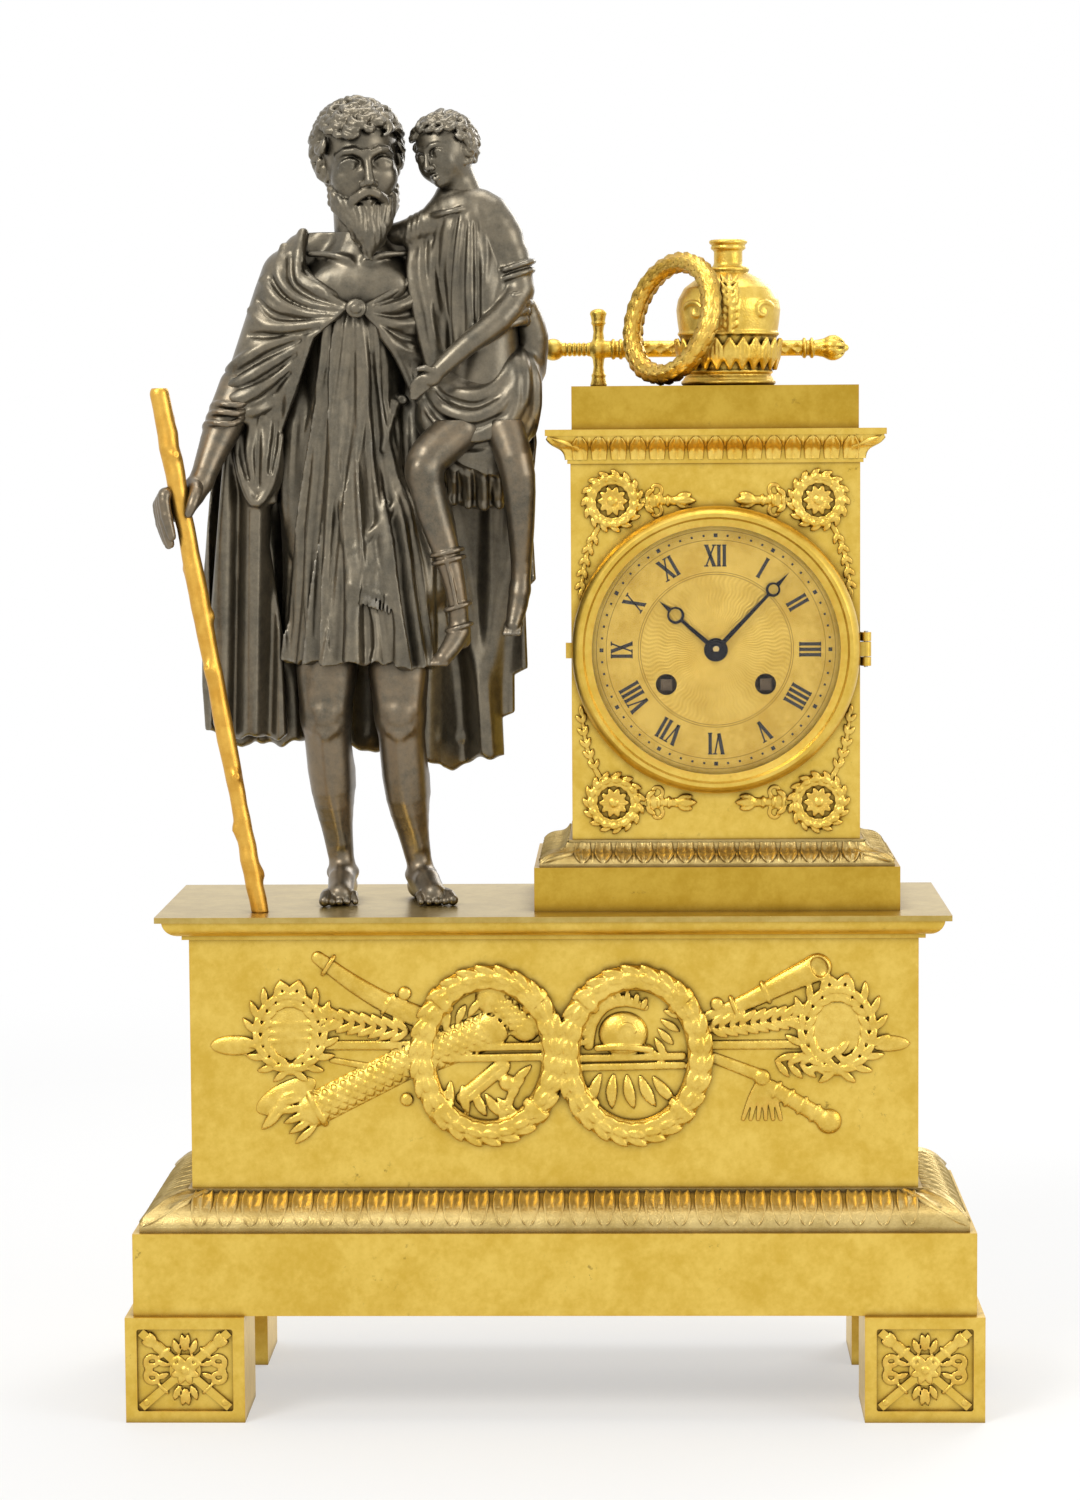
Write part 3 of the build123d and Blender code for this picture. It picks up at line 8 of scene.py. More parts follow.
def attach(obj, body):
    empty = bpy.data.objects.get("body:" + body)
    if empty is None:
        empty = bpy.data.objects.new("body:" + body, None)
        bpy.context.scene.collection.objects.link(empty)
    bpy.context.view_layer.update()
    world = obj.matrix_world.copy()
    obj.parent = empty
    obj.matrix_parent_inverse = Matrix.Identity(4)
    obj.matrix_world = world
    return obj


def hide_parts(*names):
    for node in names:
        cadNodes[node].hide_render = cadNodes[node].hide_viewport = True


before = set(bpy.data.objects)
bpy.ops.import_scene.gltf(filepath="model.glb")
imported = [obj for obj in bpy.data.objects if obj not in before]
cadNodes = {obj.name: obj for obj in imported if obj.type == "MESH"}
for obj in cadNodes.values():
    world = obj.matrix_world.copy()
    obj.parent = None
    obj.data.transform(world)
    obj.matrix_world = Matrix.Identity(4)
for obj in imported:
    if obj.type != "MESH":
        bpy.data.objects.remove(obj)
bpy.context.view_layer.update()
scene = bpy.context.scene
mm = 0.001
fullTurn = 2 * pi
print("frame loaded,", len(cadNodes), "nodes")


# Materials

def newNode(tree, kind, **sockets):
    # Makes a node; a socket takes a value or another node's output
    node = tree.nodes.new(kind)
    for name, value in sockets.items():
        setSocket(tree, node.inputs[name.replace("_", " ")], value)
    return node


def setSocket(tree, socket, value):
    if isinstance(value, bpy.types.NodeSocket):
        tree.links.new(value, socket)
    else:
        socket.default_value = value


def mathNode(tree, operation, a, b=0.0):
    node = tree.nodes.new("ShaderNodeMath")
    node.operation = operation
    setSocket(tree, node.inputs[0], a)
    setSocket(tree, node.inputs[1], b)
    return node.outputs[0]


def plus(tree, a, b):
    return mathNode(tree, "ADD", a, b)


def times(tree, a, b):
    return mathNode(tree, "MULTIPLY", a, b)


def inverse(tree, a):
    return mathNode(tree, "SUBTRACT", 1.0, a)


def ramp(tree, factor, low, high):
    # Smooth step of a value from 0 to 1
    node = tree.nodes.new("ShaderNodeMapRange")
    node.interpolation_type = "SMOOTHSTEP"
    setSocket(tree, node.inputs["Value"], factor)
    node.inputs["From Min"].default_value = low
    node.inputs["From Max"].default_value = high
    return node.outputs["Result"]


def mixColor(tree, factor, a, b):
    node = tree.nodes.new("ShaderNodeMix")
    node.data_type = "RGBA"
    setSocket(tree, node.inputs[0], factor)
    setSocket(tree, node.inputs[6], a)
    setSocket(tree, node.inputs[7], b)
    return node.outputs[2]


def newGroup(name, inputs, outputs):
    tree = bpy.data.node_groups.new(name, "ShaderNodeTree")
    for label, value in inputs.items():
        socket = tree.interface.new_socket(label, in_out="INPUT", socket_type="NodeSocketFloat")
        socket.default_value = value
    for label in outputs:
        tree.interface.new_socket(label, in_out="OUTPUT", socket_type="NodeSocketFloat")
    return tree, tree.nodes.new("NodeGroupInput").outputs, tree.nodes.new("NodeGroupOutput").inputs


def placeGroup(tree, group, **sockets):
    node = tree.nodes.new("ShaderNodeGroup")
    node.node_tree = group
    for name, value in sockets.items():
        setSocket(tree, node.inputs[name.replace("_", " ")], value)
    return node.outputs


def objectPlace(tree):
    return tree.nodes.new("ShaderNodeTexCoord").outputs["Object"]


def noise(tree, where, scale, detail=3.0, rough=0.55):
    node = newNode(tree, "ShaderNodeTexNoise", Vector=where, Scale=scale, Detail=detail, Roughness=rough)
    return node.outputs["Fac"]


castScale = dict(fine=260.0, grain=1500.0, rare=28.0, wear=420.0, waves=130.0)


def makeAgeGroup():
    # Cloudy tone, brushed grain, tarnish spots, dirt with painted shade in recesses, and rubbed edges
    inputs = {"Cloud Size": 55.0, "Spot Size": 240.0, "Recess Reach": 0.004, "Edge Reach": 0.0012}
    tree, given, out = newGroup("castAge", inputs, ("Cloud", "Grain", "Spots", "Recess", "Edge"))
    where = objectPlace(tree)
    broad = noise(tree, where, given["Cloud Size"], 5.0, 0.65)
    fine = noise(tree, where, castScale["fine"], 4.0, 0.7)
    cloud = plus(tree, times(tree, broad, 0.6), times(tree, fine, 0.4))
    setSocket(tree, out["Cloud"], ramp(tree, cloud, 0.33, 0.67))
    setSocket(tree, out["Grain"], noise(tree, where, castScale["grain"], 2.0, 0.6))
    patches = noise(tree, where, given["Spot Size"], 5.0, 0.7)
    rare = ramp(tree, noise(tree, where, castScale["rare"], 2.0), 0.5, 0.72)
    setSocket(tree, out["Spots"], times(tree, ramp(tree, patches, 0.6, 0.74), rare))
    # Recess: dark where other surfaces lie close, so it paints shade as well as dirt into crevices and joins
    shade = newNode(tree, "ShaderNodeAmbientOcclusion", Distance=given["Recess Reach"])
    shade.samples = 8
    setSocket(tree, out["Recess"], inverse(tree, ramp(tree, shade.outputs["AO"], 0.25, 0.95)))
    # Edge: rubbed convex edges; the bronze also lays a painted highlight on them
    rim = newNode(tree, "ShaderNodeAmbientOcclusion", Distance=given["Edge Reach"])
    rim.samples = 6
    rim.inside = True
    rim.only_local = True
    worn = inverse(tree, ramp(tree, rim.outputs["AO"], 0.3, 0.9))
    broken = times(tree, worn, ramp(tree, noise(tree, where, castScale["wear"], 3.0), 0.3, 0.6))
    setSocket(tree, out["Edge"], broken)
    return tree


def makeSurfaceGroup():
    # Height of hand-chased stipple and of soft casting waves
    tree, given, out = newGroup("chasedSurface", {"Stipple Size": 1300.0, "Stipple": 0.5,
        "Waves": 0.5}, ("Height",))
    where = objectPlace(tree)
    dots = newNode(tree, "ShaderNodeTexVoronoi", Vector=where, Scale=given["Stipple Size"])
    punched = times(tree, ramp(tree, dots.outputs["Distance"], 0.1, 0.6), given["Stipple"])
    waves = times(tree, noise(tree, where, castScale["waves"], 3.0), given["Waves"])
    setSocket(tree, out["Height"], plus(tree, punched, waves))
    return tree


ageGroup = makeAgeGroup()
surfaceGroup = makeSurfaceGroup()


def stain(tree, tone, mask, amount, color):
    # Lays a colour over the tone where the mask is high
    return mixColor(tree, times(tree, mask, amount), tone, (*color, 1))


def clouded(tree, age, style):
    return mixColor(tree, age["Cloud"], (*style["deep"], 1), (*style["light"], 1))


def setLook(tree, shader, tone, metallic, grain, rough):
    # Colour, metal and a roughness between two limits that follows the grain
    low, high = rough
    setSocket(tree, shader.inputs["Base Color"], tone)
    shader.inputs["Metallic"].default_value = metallic
    setSocket(tree, shader.inputs["Roughness"], plus(tree, times(tree, grain, high - low), low))


def setBump(tree, shader, height, strength, distance=0.0006):
    bump = newNode(tree, "ShaderNodeBump", Strength=strength, Distance=distance, Height=height)
    setSocket(tree, shader.inputs["Normal"], bump.outputs["Normal"])


def mixSurface(tree, factor, first, second):
    # Sends a mix of two shaders to the surface
    blend = newNode(tree, "ShaderNodeMixShader", Fac=factor)
    tree.links.new(first.outputs[0], blend.inputs[1])
    tree.links.new(second.outputs[0], blend.inputs[2])
    tree.links.new(blend.outputs[0], tree.nodes["Material Output"].inputs["Surface"])


def seenRays(tree):
    # 1 on what the camera sees, straight, mirrored or through glass
    path = tree.nodes.new("ShaderNodeLightPath").outputs
    direct = mathNode(tree, "MAXIMUM", path["Is Camera Ray"], path["Is Glossy Ray"])
    return mathNode(tree, "MAXIMUM", direct, path["Is Transmission Ray"])


def newMaterial(name):
    made = bpy.data.materials.new(name)
    made.use_nodes = True
    shader = made.node_tree.nodes["Principled BSDF"]
    return made, made.node_tree, shader


giltBase = dict(
    dirtAndShade=(0.13, 0.07, 0.015), rough=(0.30, 0.46), reach=0.005, dirtAndShadeAmount=0.85, edgeAmount=0.35,
    stipple=0.0, waves=0.45, bump=0.14)
# What each gilding changes on the base
giltStyle = {
    "giltPlain": dict(
        light=(0.81, 0.57, 0.120), deep=(0.66, 0.43, 0.062), warm=(0.66, 0.31, 0.05), spotAmount=0.75),
    "giltDeep": dict(
        light=(0.60, 0.395, 0.058), deep=(0.48, 0.295, 0.030), warm=(0.60, 0.28, 0.04), spotAmount=0.6),
    "giltTop": dict(
        light=(0.58, 0.43, 0.135), deep=(0.45, 0.315, 0.075), warm=(0.55, 0.30, 0.06),
        dirtAndShade=(0.12, 0.07, 0.02), rough=(0.26, 0.42), reach=0.012, dirtAndShadeAmount=0.8, spotAmount=0.9,
        edgeAmount=0.5, waves=0.6, bump=0.16),
    "giltCornice": dict(
        light=(0.95, 0.69, 0.17), deep=(0.82, 0.55, 0.095), warm=(0.75, 0.40, 0.08),
        dirtAndShade=(0.24, 0.14, 0.03), rough=(0.34, 0.5), spotAmount=0.4, edgeAmount=0.3, stipple=0.2, waves=0.3,
        bump=0.2),
    "giltOrnament": dict(
        light=(0.84, 0.60, 0.140), deep=(0.62, 0.40, 0.060), warm=(0.70, 0.37, 0.07),
        dirtAndShade=(0.095, 0.05, 0.010), rough=(0.32, 0.5), reach=0.006, dirtAndShadeAmount=1.0, spotAmount=0.3,
        edgeAmount=0.4, stipple=0.35, waves=0.3, bump=0.22),
    "giltMoulding": dict(
        light=(0.60, 0.455, 0.185), deep=(0.40, 0.285, 0.095), warm=(0.62, 0.41, 0.13),
        dirtAndShade=(0.085, 0.055, 0.022), rough=(0.36, 0.56), reach=0.007, dirtAndShadeAmount=1.0, spotAmount=0.6,
        edgeAmount=0.5, stipple=0.3, waves=0.4, bump=0.25),
    "giltStaff": dict(
        light=(0.76, 0.45, 0.085), deep=(0.60, 0.31, 0.045), warm=(0.55, 0.19, 0.03),
        dirtAndShade=(0.16, 0.07, 0.015), rough=(0.36, 0.54), reach=0.004, dirtAndShadeAmount=0.6, spotAmount=0.8,
        edgeAmount=0.2, stipple=0.1, waves=0.8, bump=0.3)}


def makeGilt(name):
    style = giltBase | giltStyle[name]
    made, tree, shader = newMaterial(name)
    age = placeGroup(tree, ageGroup, Recess_Reach=style["reach"])
    tone = stain(tree, clouded(tree, age, style), age["Spots"], style["spotAmount"], style["dirtAndShade"])
    tone = stain(tree, tone, age["Edge"], style["edgeAmount"], style["warm"])
    # Dark colour laid in the recesses: dirt and tarnish, and painted shade there as well
    tone = stain(tree, tone, age["Recess"], style["dirtAndShadeAmount"], style["dirtAndShade"])
    spread = plus(tree, times(tree, age["Grain"], 0.5), times(tree, age["Recess"], 0.6))
    setLook(tree, shader, tone, 1.0, spread, style["rough"])
    height = placeGroup(tree, surfaceGroup, Stipple=style["stipple"], Waves=style["waves"])["Height"]
    setBump(tree, shader, height, style["bump"])
    return made


bronzeStyle = dict(
    deep=(0.066, 0.055, 0.034), light=(0.175, 0.148, 0.098), worn=(0.25, 0.155, 0.075),
    grey=(0.37, 0.345, 0.29), patinaAndShade=(0.038, 0.032, 0.021), rough=(0.30, 0.46), grainAmount=0.25,
    edgeAmount=0.62, patinaAndShadeAmount=0.82, coat=0.25, coatRough=0.32, metallic=0.9, bump=0.16)


def makeBronze(name, wornAmount):
    style = bronzeStyle
    made, tree, shader = newMaterial(name)
    age = placeGroup(tree, ageGroup, Cloud_Size=42.0, Spot_Size=330.0,
        Recess_Reach=0.007, Edge_Reach=0.0018)
    tone = stain(tree, clouded(tree, age, style), age["Grain"], style["grainAmount"], style["grey"])
    # Pale grey on the rubbed edges: worn patina and a painted highlight
    tone = stain(tree, tone, age["Edge"], style["edgeAmount"], style["grey"])
    tone = stain(tree, tone, age["Cloud"], wornAmount, style["worn"])
    # Dark in the recesses: patina in the hollows and painted shade
    tone = stain(tree, tone, age["Recess"], style["patinaAndShadeAmount"], style["patinaAndShade"])
    setLook(tree, shader, tone, style["metallic"], age["Grain"], style["rough"])
    shader.inputs["Coat Weight"].default_value = style["coat"]
    shader.inputs["Coat Roughness"].default_value = style["coatRough"]
    height = placeGroup(tree, surfaceGroup, Stipple_Size=900.0, Stipple=0.06, Waves=0.8)["Height"]
    setBump(tree, shader, height, style["bump"])
    return made


metalStyle = {
    "clockBrass": dict(light=(0.79, 0.60, 0.28), deep=(0.66, 0.46, 0.17), rough=(0.22, 0.38)),
    "steelBright": dict(light=(0.62, 0.62, 0.63), deep=(0.48, 0.48, 0.50), rough=(0.2, 0.36)),
    "steelBrown": dict(light=(0.16, 0.115, 0.07), deep=(0.08, 0.055, 0.035), rough=(0.28, 0.44)),
    "blackSteel": dict(light=(0.030, 0.028, 0.030), deep=(0.012, 0.012, 0.016), rough=(0.25, 0.4)),
    "blackEnamel": dict(light=(0.026, 0.020, 0.016), deep=(0.012, 0.010, 0.009), rough=(0.35, 0.5))}


def makeMetal(name):
    style = metalStyle[name]
    made, tree, shader = newMaterial(name)
    age = placeGroup(tree, ageGroup, Cloud_Size=90.0, Recess_Reach=0.002)
    shadow = [v * 0.3 for v in style["deep"]]
    tone = stain(tree, clouded(tree, age, style), age["Recess"], 0.5, shadow)
    setLook(tree, shader, tone, 0.0 if name == "blackEnamel" else 1.0, age["Grain"], style["rough"])
    return made


dialStyle = dict(
    centre=(63.5 * mm, 0.0, 294.7 * mm), light=(0.72, 0.485, 0.105), deep=(0.56, 0.345, 0.055),
    warm=(0.50, 0.25, 0.04), line=(0.12, 0.06, 0.012), rough=(0.36, 0.5), ring=0.0288, ringEdge=0.0004,
    rays=96.0, ripple=900.0, circles=(0.0292, 0.0300, 0.0424, 0.0462), lineWidth=0.00016, mattScale=2600.0,
    bump=0.22, bumpDepth=0.0003)


def makeDial():
    # Gilt dial, engine turned inside the chapter ring and matted outside it
    style = dialStyle
    made, tree, shader = newMaterial("dialGilt")
    age = placeGroup(tree, ageGroup, Cloud_Size=70.0, Spot_Size=420.0)
    where = objectPlace(tree)
    moved = tree.nodes.new("ShaderNodeMapping")
    setSocket(tree, moved.inputs["Vector"], where)
    moved.inputs["Location"].default_value = tuple(-v for v in style["centre"])
    parts = newNode(tree, "ShaderNodeSeparateXYZ", Vector=moved.outputs["Vector"]).outputs
    angle = mathNode(tree, "ARCTAN2", parts["Z"], parts["X"])
    squares = plus(tree, times(tree, parts["X"], parts["X"]), times(tree, parts["Z"], parts["Z"]))
    across = mathNode(tree, "SQRT", squares)
    bend = times(tree, mathNode(tree, "SINE", times(tree, across, style["ripple"])), 0.9)
    rays = mathNode(tree, "SINE", plus(tree, times(tree, angle, style["rays"]), times(tree, bend, 2.2)))
    low, high = style["ring"] - style["ringEdge"], style["ring"] + style["ringEdge"]
    inside = inverse(tree, ramp(tree, across, low, high))
    grooves = times(tree, rays, inside)
    matt = times(tree, noise(tree, where, style["mattScale"], 2.0), inverse(tree, inside))
    tone = stain(tree, clouded(tree, age, style), age["Spots"], 0.6, style["warm"])
    tone = stain(tree, tone, inside, 0.22, style["light"])
    for circle in style["circles"]:
        off = mathNode(tree, "ABSOLUTE", mathNode(tree, "SUBTRACT", across, circle))
        cut = inverse(tree, ramp(tree, off, style["lineWidth"] * 0.4, style["lineWidth"]))
        tone = stain(tree, tone, cut, 0.7, style["line"])
    setLook(tree, shader, tone, 1.0, age["Grain"], style["rough"])
    height = plus(tree, times(tree, grooves, 0.6), times(tree, matt, 0.8))
    setBump(tree, shader, height, style["bump"], style["bumpDepth"])
    return made


glassStyle = dict(
    ior=1.25, dustScale=700.0, clear=(0.985, 0.99, 0.985, 1), dusty=(0.93, 0.93, 0.91, 1), dustRough=0.06)


def makeGlass():
    # Thin clear glass with a trace of dust; shadow rays pass straight through
    made, tree, shader = newMaterial("bezelGlass")
    shader.inputs["Transmission Weight"].default_value = 1.0
    shader.inputs["IOR"].default_value = glassStyle["ior"]
    dust = ramp(tree, noise(tree, objectPlace(tree), glassStyle["dustScale"], 4.0, 0.7), 0.55, 0.8)
    tint = mixColor(tree, dust, glassStyle["clear"], glassStyle["dusty"])
    setSocket(tree, shader.inputs["Base Color"], tint)
    setSocket(tree, shader.inputs["Roughness"], times(tree, dust, glassStyle["dustRough"]))
    clear = tree.nodes.new("ShaderNodeBsdfTransparent")
    path = tree.nodes.new("ShaderNodeLightPath").outputs
    through = mathNode(tree, "MAXIMUM", path["Is Shadow Ray"], path["Is Diffuse Ray"])
    mixSurface(tree, through, shader, clear)
    return made


finish = {name: makeGilt(name) for name in giltStyle}
finish.update({name: makeMetal(name) for name in metalStyle})
finish["bronzeDark"] = makeBronze("bronzeDark", 0.10)
finish["bronzeWorn"] = makeBronze("bronzeWorn", 0.4)
finish["dialGilt"] = makeDial()
finish["bezelGlass"] = makeGlass()

nodeFinish = {
    "giltDeep": ["case_attic", "case_step"], "giltTop": ["plinth_top"],
    "giltOrnament": ["helmet", "victory_wreath", "sword", "plinth_relief", "spandrel_mounts"],
    "giltMoulding": ["base_moulding", "case_moulding"], "giltStaff": ["staff"],
    "clockBrass": [
        "going_barrel", "strike_barrel", "center_wheel", "third_wheel", "escape_wheel", "minute_wheel",
        "hour_wheel", "strike_second_wheel", "pin_wheel", "fly_vane", "front_plate", "back_plate",
        "plate_pillars", "bell", "rear_cocks", "pendulum", "back_ring", "back_cover"],
    "steelBrown": ["going_winding_arbor", "strike_winding_arbor"],
    "steelBright": ["pallet_anchor", "cannon_pinion", "hammer", "fixings"],
    "blackSteel": ["hour_hand", "minute_hand", "hand_collet"],
    "dialGilt": ["dial"], "bezelGlass": ["bezel_glass"],
    "bronzeDark": [
        "man_tunic", "man_head", "man_legs", "man_cloak", "man_right_arm", "child_drape", "child_torso",
        "child_head", "child_legs"]}
chosen = {node: name for name, group in nodeFinish.items() for node in group}
for node, thing in cadNodes.items():
    thing.data.materials.clear()
    thing.data.materials.append(finish[chosen.get(node, "giltPlain")])
print("finishes set on", len(cadNodes), "nodes")


# Sculpted bronze: distances in millimetres on a grid, turned into a mesh at the end

class Clay:
    outside = 8.0  # distance that the grid starts with
    anywhere = 900.0  # beyond every piece
    turnSteps = 1440  # steps round a column in its table of folds
    evenPasses = 4  # passes that even out a fold laid on the skin
    runOut = 2.2  # how deep its ends sink
    rounding = 1.8  # of the edge of a layer of cloth

    def __init__(self, low, high, voxel):
        self.low = np.array(low, np.float32)
        self.voxel = voxel
        size = np.ceil((np.array(high) - self.low) / voxel).astype(int) + 1
        self.field = np.full(size, self.outside, np.float32)
        self.axes = [self.low[i] + voxel * np.arange(size[i], dtype=np.float32) for i in range(3)]

    def window(self, low, high):
        cuts = []
        for i in range(3):
            first = int(np.clip(np.floor((low[i] - self.low[i]) / self.voxel), 0, self.field.shape[i]))
            last = int(np.clip(np.ceil((high[i] - self.low[i]) / self.voxel) + 1, 0, self.field.shape[i]))
            cuts.append(slice(first, last))
        shapes = ((-1, 1, 1), (1, -1, 1), (1, 1, -1))
        return tuple(cuts), [self.axes[i][cuts[i]].reshape(shapes[i]) for i in range(3)]

    def blend(self, cuts, distance, soft, carve):
        # Smooth union, or smooth cut where carve is set
        old = -self.field[cuts] if carve else self.field[cuts]
        h = np.clip(0.5 + 0.5 * (distance - old) / max(soft, 0.01), 0, 1)
        new = distance + (old - distance) * h - soft * h * (1 - h)
        self.field[cuts] = -new if carve else new

    def strand(self, points, radii, soft=1.0, carve=False):
        # Chain of tapered rods
        points = np.array(points, np.float32)
        radii = [radii] * 2 if np.isscalar(radii) else radii
        along, given = np.linspace(0, 1, len(points)), np.linspace(0, 1, len(radii))
        radii = np.interp(along, given, radii).astype(np.float32)
        pad = radii.max() + soft + 3 * self.voxel
        cuts, (x, y, z) = self.window(points.min(0) - pad, points.max(0) + pad)
        nearest = None
        for a, b, ra, rb in zip(points[:-1], points[1:], radii[:-1], radii[1:]):
            ab = b - a
            t = ((x - a[0]) * ab[0] + (y - a[1]) * ab[1] + (z - a[2]) * ab[2]) / max(float(ab @ ab), 1e-6)
            t = np.clip(t, 0, 1)
            dx, dy, dz = x - a[0] - t * ab[0], y - a[1] - t * ab[1], z - a[2] - t * ab[2]
            d = np.sqrt(dx ** 2 + dy ** 2 + dz ** 2) - ra - (rb - ra) * t
            nearest = d if nearest is None else np.minimum(nearest, d)
        if nearest.size:
            self.blend(cuts, nearest, soft, carve)

    def flow(self, points, count, radii, soft=1.0, carve=False):
        # Chain of rods along a smooth run through the points
        self.strand(smoothRun(points, count), radii, soft, carve)

    def lump(self, middle, radii, soft=1.0, carve=False, turn=None):
        # Oval lump, turned by a 3 x 3 matrix
        middle = np.array(middle, np.float32)
        radii = np.array([radii] * 3 if np.isscalar(radii) else radii, np.float32)
        pad = radii.max() + soft + 3 * self.voxel
        cuts, (x, y, z) = self.window(middle - pad, middle + pad)
        x, y, z = x - middle[0], y - middle[1], z - middle[2]
        if turn is not None:
            x, y, z = (turn[0][i] * x + turn[1][i] * y + turn[2][i] * z for i in range(3))
        near = np.sqrt((x / radii[0]) ** 2 + (y / radii[1]) ** 2 + (z / radii[2]) ** 2)
        steep = np.sqrt((x / radii[0] ** 2) ** 2 + (y / radii[1] ** 2) ** 2 + (z / radii[2] ** 2) ** 2) + 1e-6
        if near.size:
            self.blend(cuts, near * (near - 1) / steep, soft, carve)

    def column(self, stations, folds=None, soft=1.0, carve=False, hem=0.0):
        # Upright body through level ovals (z, x, y, half width, half depth); hem is how much its foot waves
        s = np.array(stations, np.float32)
        foot, head, far = s[:, 0].min(), s[:, 0].max(), self.anywhere
        cuts, (x, y, z) = self.window([-far, -far, foot - 4], [far, far, head + 4])
        cx, cy, a, b = (np.interp(z, s[:, 0], s[:, i]).astype(np.float32) for i in (1, 2, 3, 4))
        dx, dy = (x - cx) / a, (y - cy) / b
        d = (np.sqrt(dx * dx + dy * dy) - 1) * np.minimum(a, b)
        if folds is not None:
            turns = np.linspace(-pi, pi, self.turnSteps + 1)
            table = folds(turns[:, None], z.ravel()[None, :]).astype(np.float32)
            index = ((np.arctan2(dy, dx) + pi) * (self.turnSteps / fullTurn)).astype(np.int32)
            d = d - table[index, np.arange(z.size).reshape(1, 1, -1)]
        wave = hem * np.sin(np.arctan2(dy, dx) * 17 + 1.5 * np.sin(np.arctan2(dy, dx) * 5)) if hem else 0.0
        d = np.maximum(d, np.maximum(foot + hem + wave - z, z - head))
        self.blend(cuts, d.astype(np.float32), soft, carve)

    def sheet(self, middle, leftEdge, rightEdge, hem, top, half, soft):
        # Hanging cloth about a curved middle surface y = middle(x, z)
        far = self.anywhere
        cuts, (x, y, z) = self.window((-far, -far, -far), (far, far, top + 3))
        xs, zs = x.ravel()[:, None], z.ravel()[None, :]
        y0 = middle(xs, zs)
        lean = 1 / np.sqrt(1 + (np.gradient(y0, axis=0) / self.voxel) ** 2)
        d = np.abs(y - y0[:, None, :]) * lean[:, None, :] - half
        sides, ends = np.maximum(leftEdge(zs) - xs, xs - rightEdge(zs)), np.maximum(hem(xs) - zs, zs - top)
        edge = np.maximum(sides, ends)[:, None, :]
        rounded = np.sqrt(np.maximum(d + half, 0) ** 2 + np.maximum(edge + half, 0) ** 2) - half
        d = np.where(edge > -half, rounded, d)
        self.blend(cuts, d.astype(np.float32), soft, False)

    def skinY(self, x, z, side):
        # Where the front (-1) or the back (1) of the clay lies at a place
        i = int(np.clip(round((x - self.low[0]) / self.voxel), 0, self.field.shape[0] - 1))
        k = int(np.clip(round((z - self.low[2]) / self.voxel), 0, self.field.shape[2] - 1))
        solid = np.nonzero(self.field[i, :, k] < 0)[0]
        return float(self.axes[1][solid[0] if side < 0 else solid[-1]]) if len(solid) else None

    def lay(self, path, radii, soft=1.0, carve=False, side=-1, sink=0.35, count=16):
        # Fold drawn through (x, z) places and laid on the skin
        run = smoothRun(atDepth(path, 0), count)
        spots = [(x, self.skinY(x, z, side), z) for x, _, z in run]
        points = np.array([p for p in spots if p[1] is not None])
        if len(points) < 2:
            return
        for _ in range(self.evenPasses):
            points[1:-1, 1] = (points[:-2, 1] + 2 * points[1:-1, 1] + points[2:, 1]) / 4
        points[0, 1], points[-1, 1] = points[1, 1], points[-2, 1]
        points[:, 1] -= side * sink * (radii if np.isscalar(radii) else max(radii))
        if not carve and count > 8:  # the ends of a fold run out under the skin
            points[:, 1] -= side * self.runOut * np.abs(np.linspace(-1, 1, len(points))) ** 8
        self.strand(points, radii, soft, carve)

    def layer(self, outline, thick, back, rim, run, soft=0.8):
        # Second thickness of cloth over an outline of (x, z) places; thins to nothing at a rim line
        p = np.array(outline, float)
        low, high = p.min(0) - 2, p.max(0) + 2
        cuts, (x, y, z) = self.window((low[0], -self.anywhere, low[1]), (high[0], back, high[1]))
        xs, zs = x.ravel()[:, None], z.ravel()[None, :]
        near, inside = np.full((xs.size, zs.size), 1e6), np.zeros((xs.size, zs.size), bool)
        for a, b in zip(p, np.roll(p, -1, 0)):
            d = b - a
            t = np.clip(((xs - a[0]) * d[0] + (zs - a[1]) * d[1]) / (d @ d), 0, 1)
            near = np.minimum(near, np.hypot(xs - a[0] - t * d[0], zs - a[1] - t * d[1]))
            if a[1] != b[1]:
                inside ^= ((zs > a[1]) != (zs > b[1])) & (xs < a[0] + (zs - a[1]) * d[0] / d[1])
        (ax, az), (bx, bz) = rim
        off = (xs - ax) * (bz - az) - (zs - az) * (bx - ax)
        share = np.clip(off / (hypot(bx - ax, bz - az) * run), 0, 1)
        edge, top = np.where(inside, -near, near)[:, None, :], self.field[cuts] - thick * share[:, None, :]
        corner = np.maximum(self.rounding - abs(top - edge), 0) ** 2 / (4 * self.rounding)
        rounded = np.maximum(top, edge) + corner
        self.blend(cuts, np.maximum(rounded, y - back + 2).astype(np.float32), soft, False)

    def skin(self, place=None, wall=None):
        # Points in millimetres and outward four-sided faces; what lies behind the wall is left off
        grid = openvdb.FloatGrid(self.outside)
        grid.copyFromArray(self.field)
        points, quads = grid.convertToQuads(0.0)
        points = points * self.voxel + self.low
        if wall is not None:
            quads = quads[points[quads][:, :, 1].min(1) < wall]
            used, quads = np.unique(quads, return_inverse=True)
            points, quads = points[used], quads.reshape(-1, 4)
        if place is None:
            return points, quads
        mirrored = np.linalg.det(place[:3, :3]) < 0
        return points @ place[:3, :3].T + place[:3, 3], quads[:, ::-1] if mirrored else quads

    def mesh(self, name, place=None):
        points, faces = self.skin(place)
        return meshFrom(name, points * mm, faces, True)


def linked(name, data):
    thing = bpy.data.objects.new(name, data)
    scene.collection.objects.link(thing)
    return thing


def meshFrom(name, points, faces, smooth):
    # Object at the origin from points in metres and faces of equal size
    faces = np.array(faces, np.int32)
    made = bpy.data.meshes.new(name)
    made.vertices.add(len(points))
    made.vertices.foreach_set("co", np.asarray(points, np.float32).ravel())
    made.loops.add(faces.size)
    made.loops.foreach_set("vertex_index", faces.ravel())
    made.polygons.add(len(faces))
    made.polygons.foreach_set("loop_start", np.arange(0, faces.size, faces.shape[1], dtype=np.int32))
    made.update(calc_edges=True)
    made.polygons.foreach_set("use_smooth", np.full(len(faces), smooth))
    return linked(name, made)


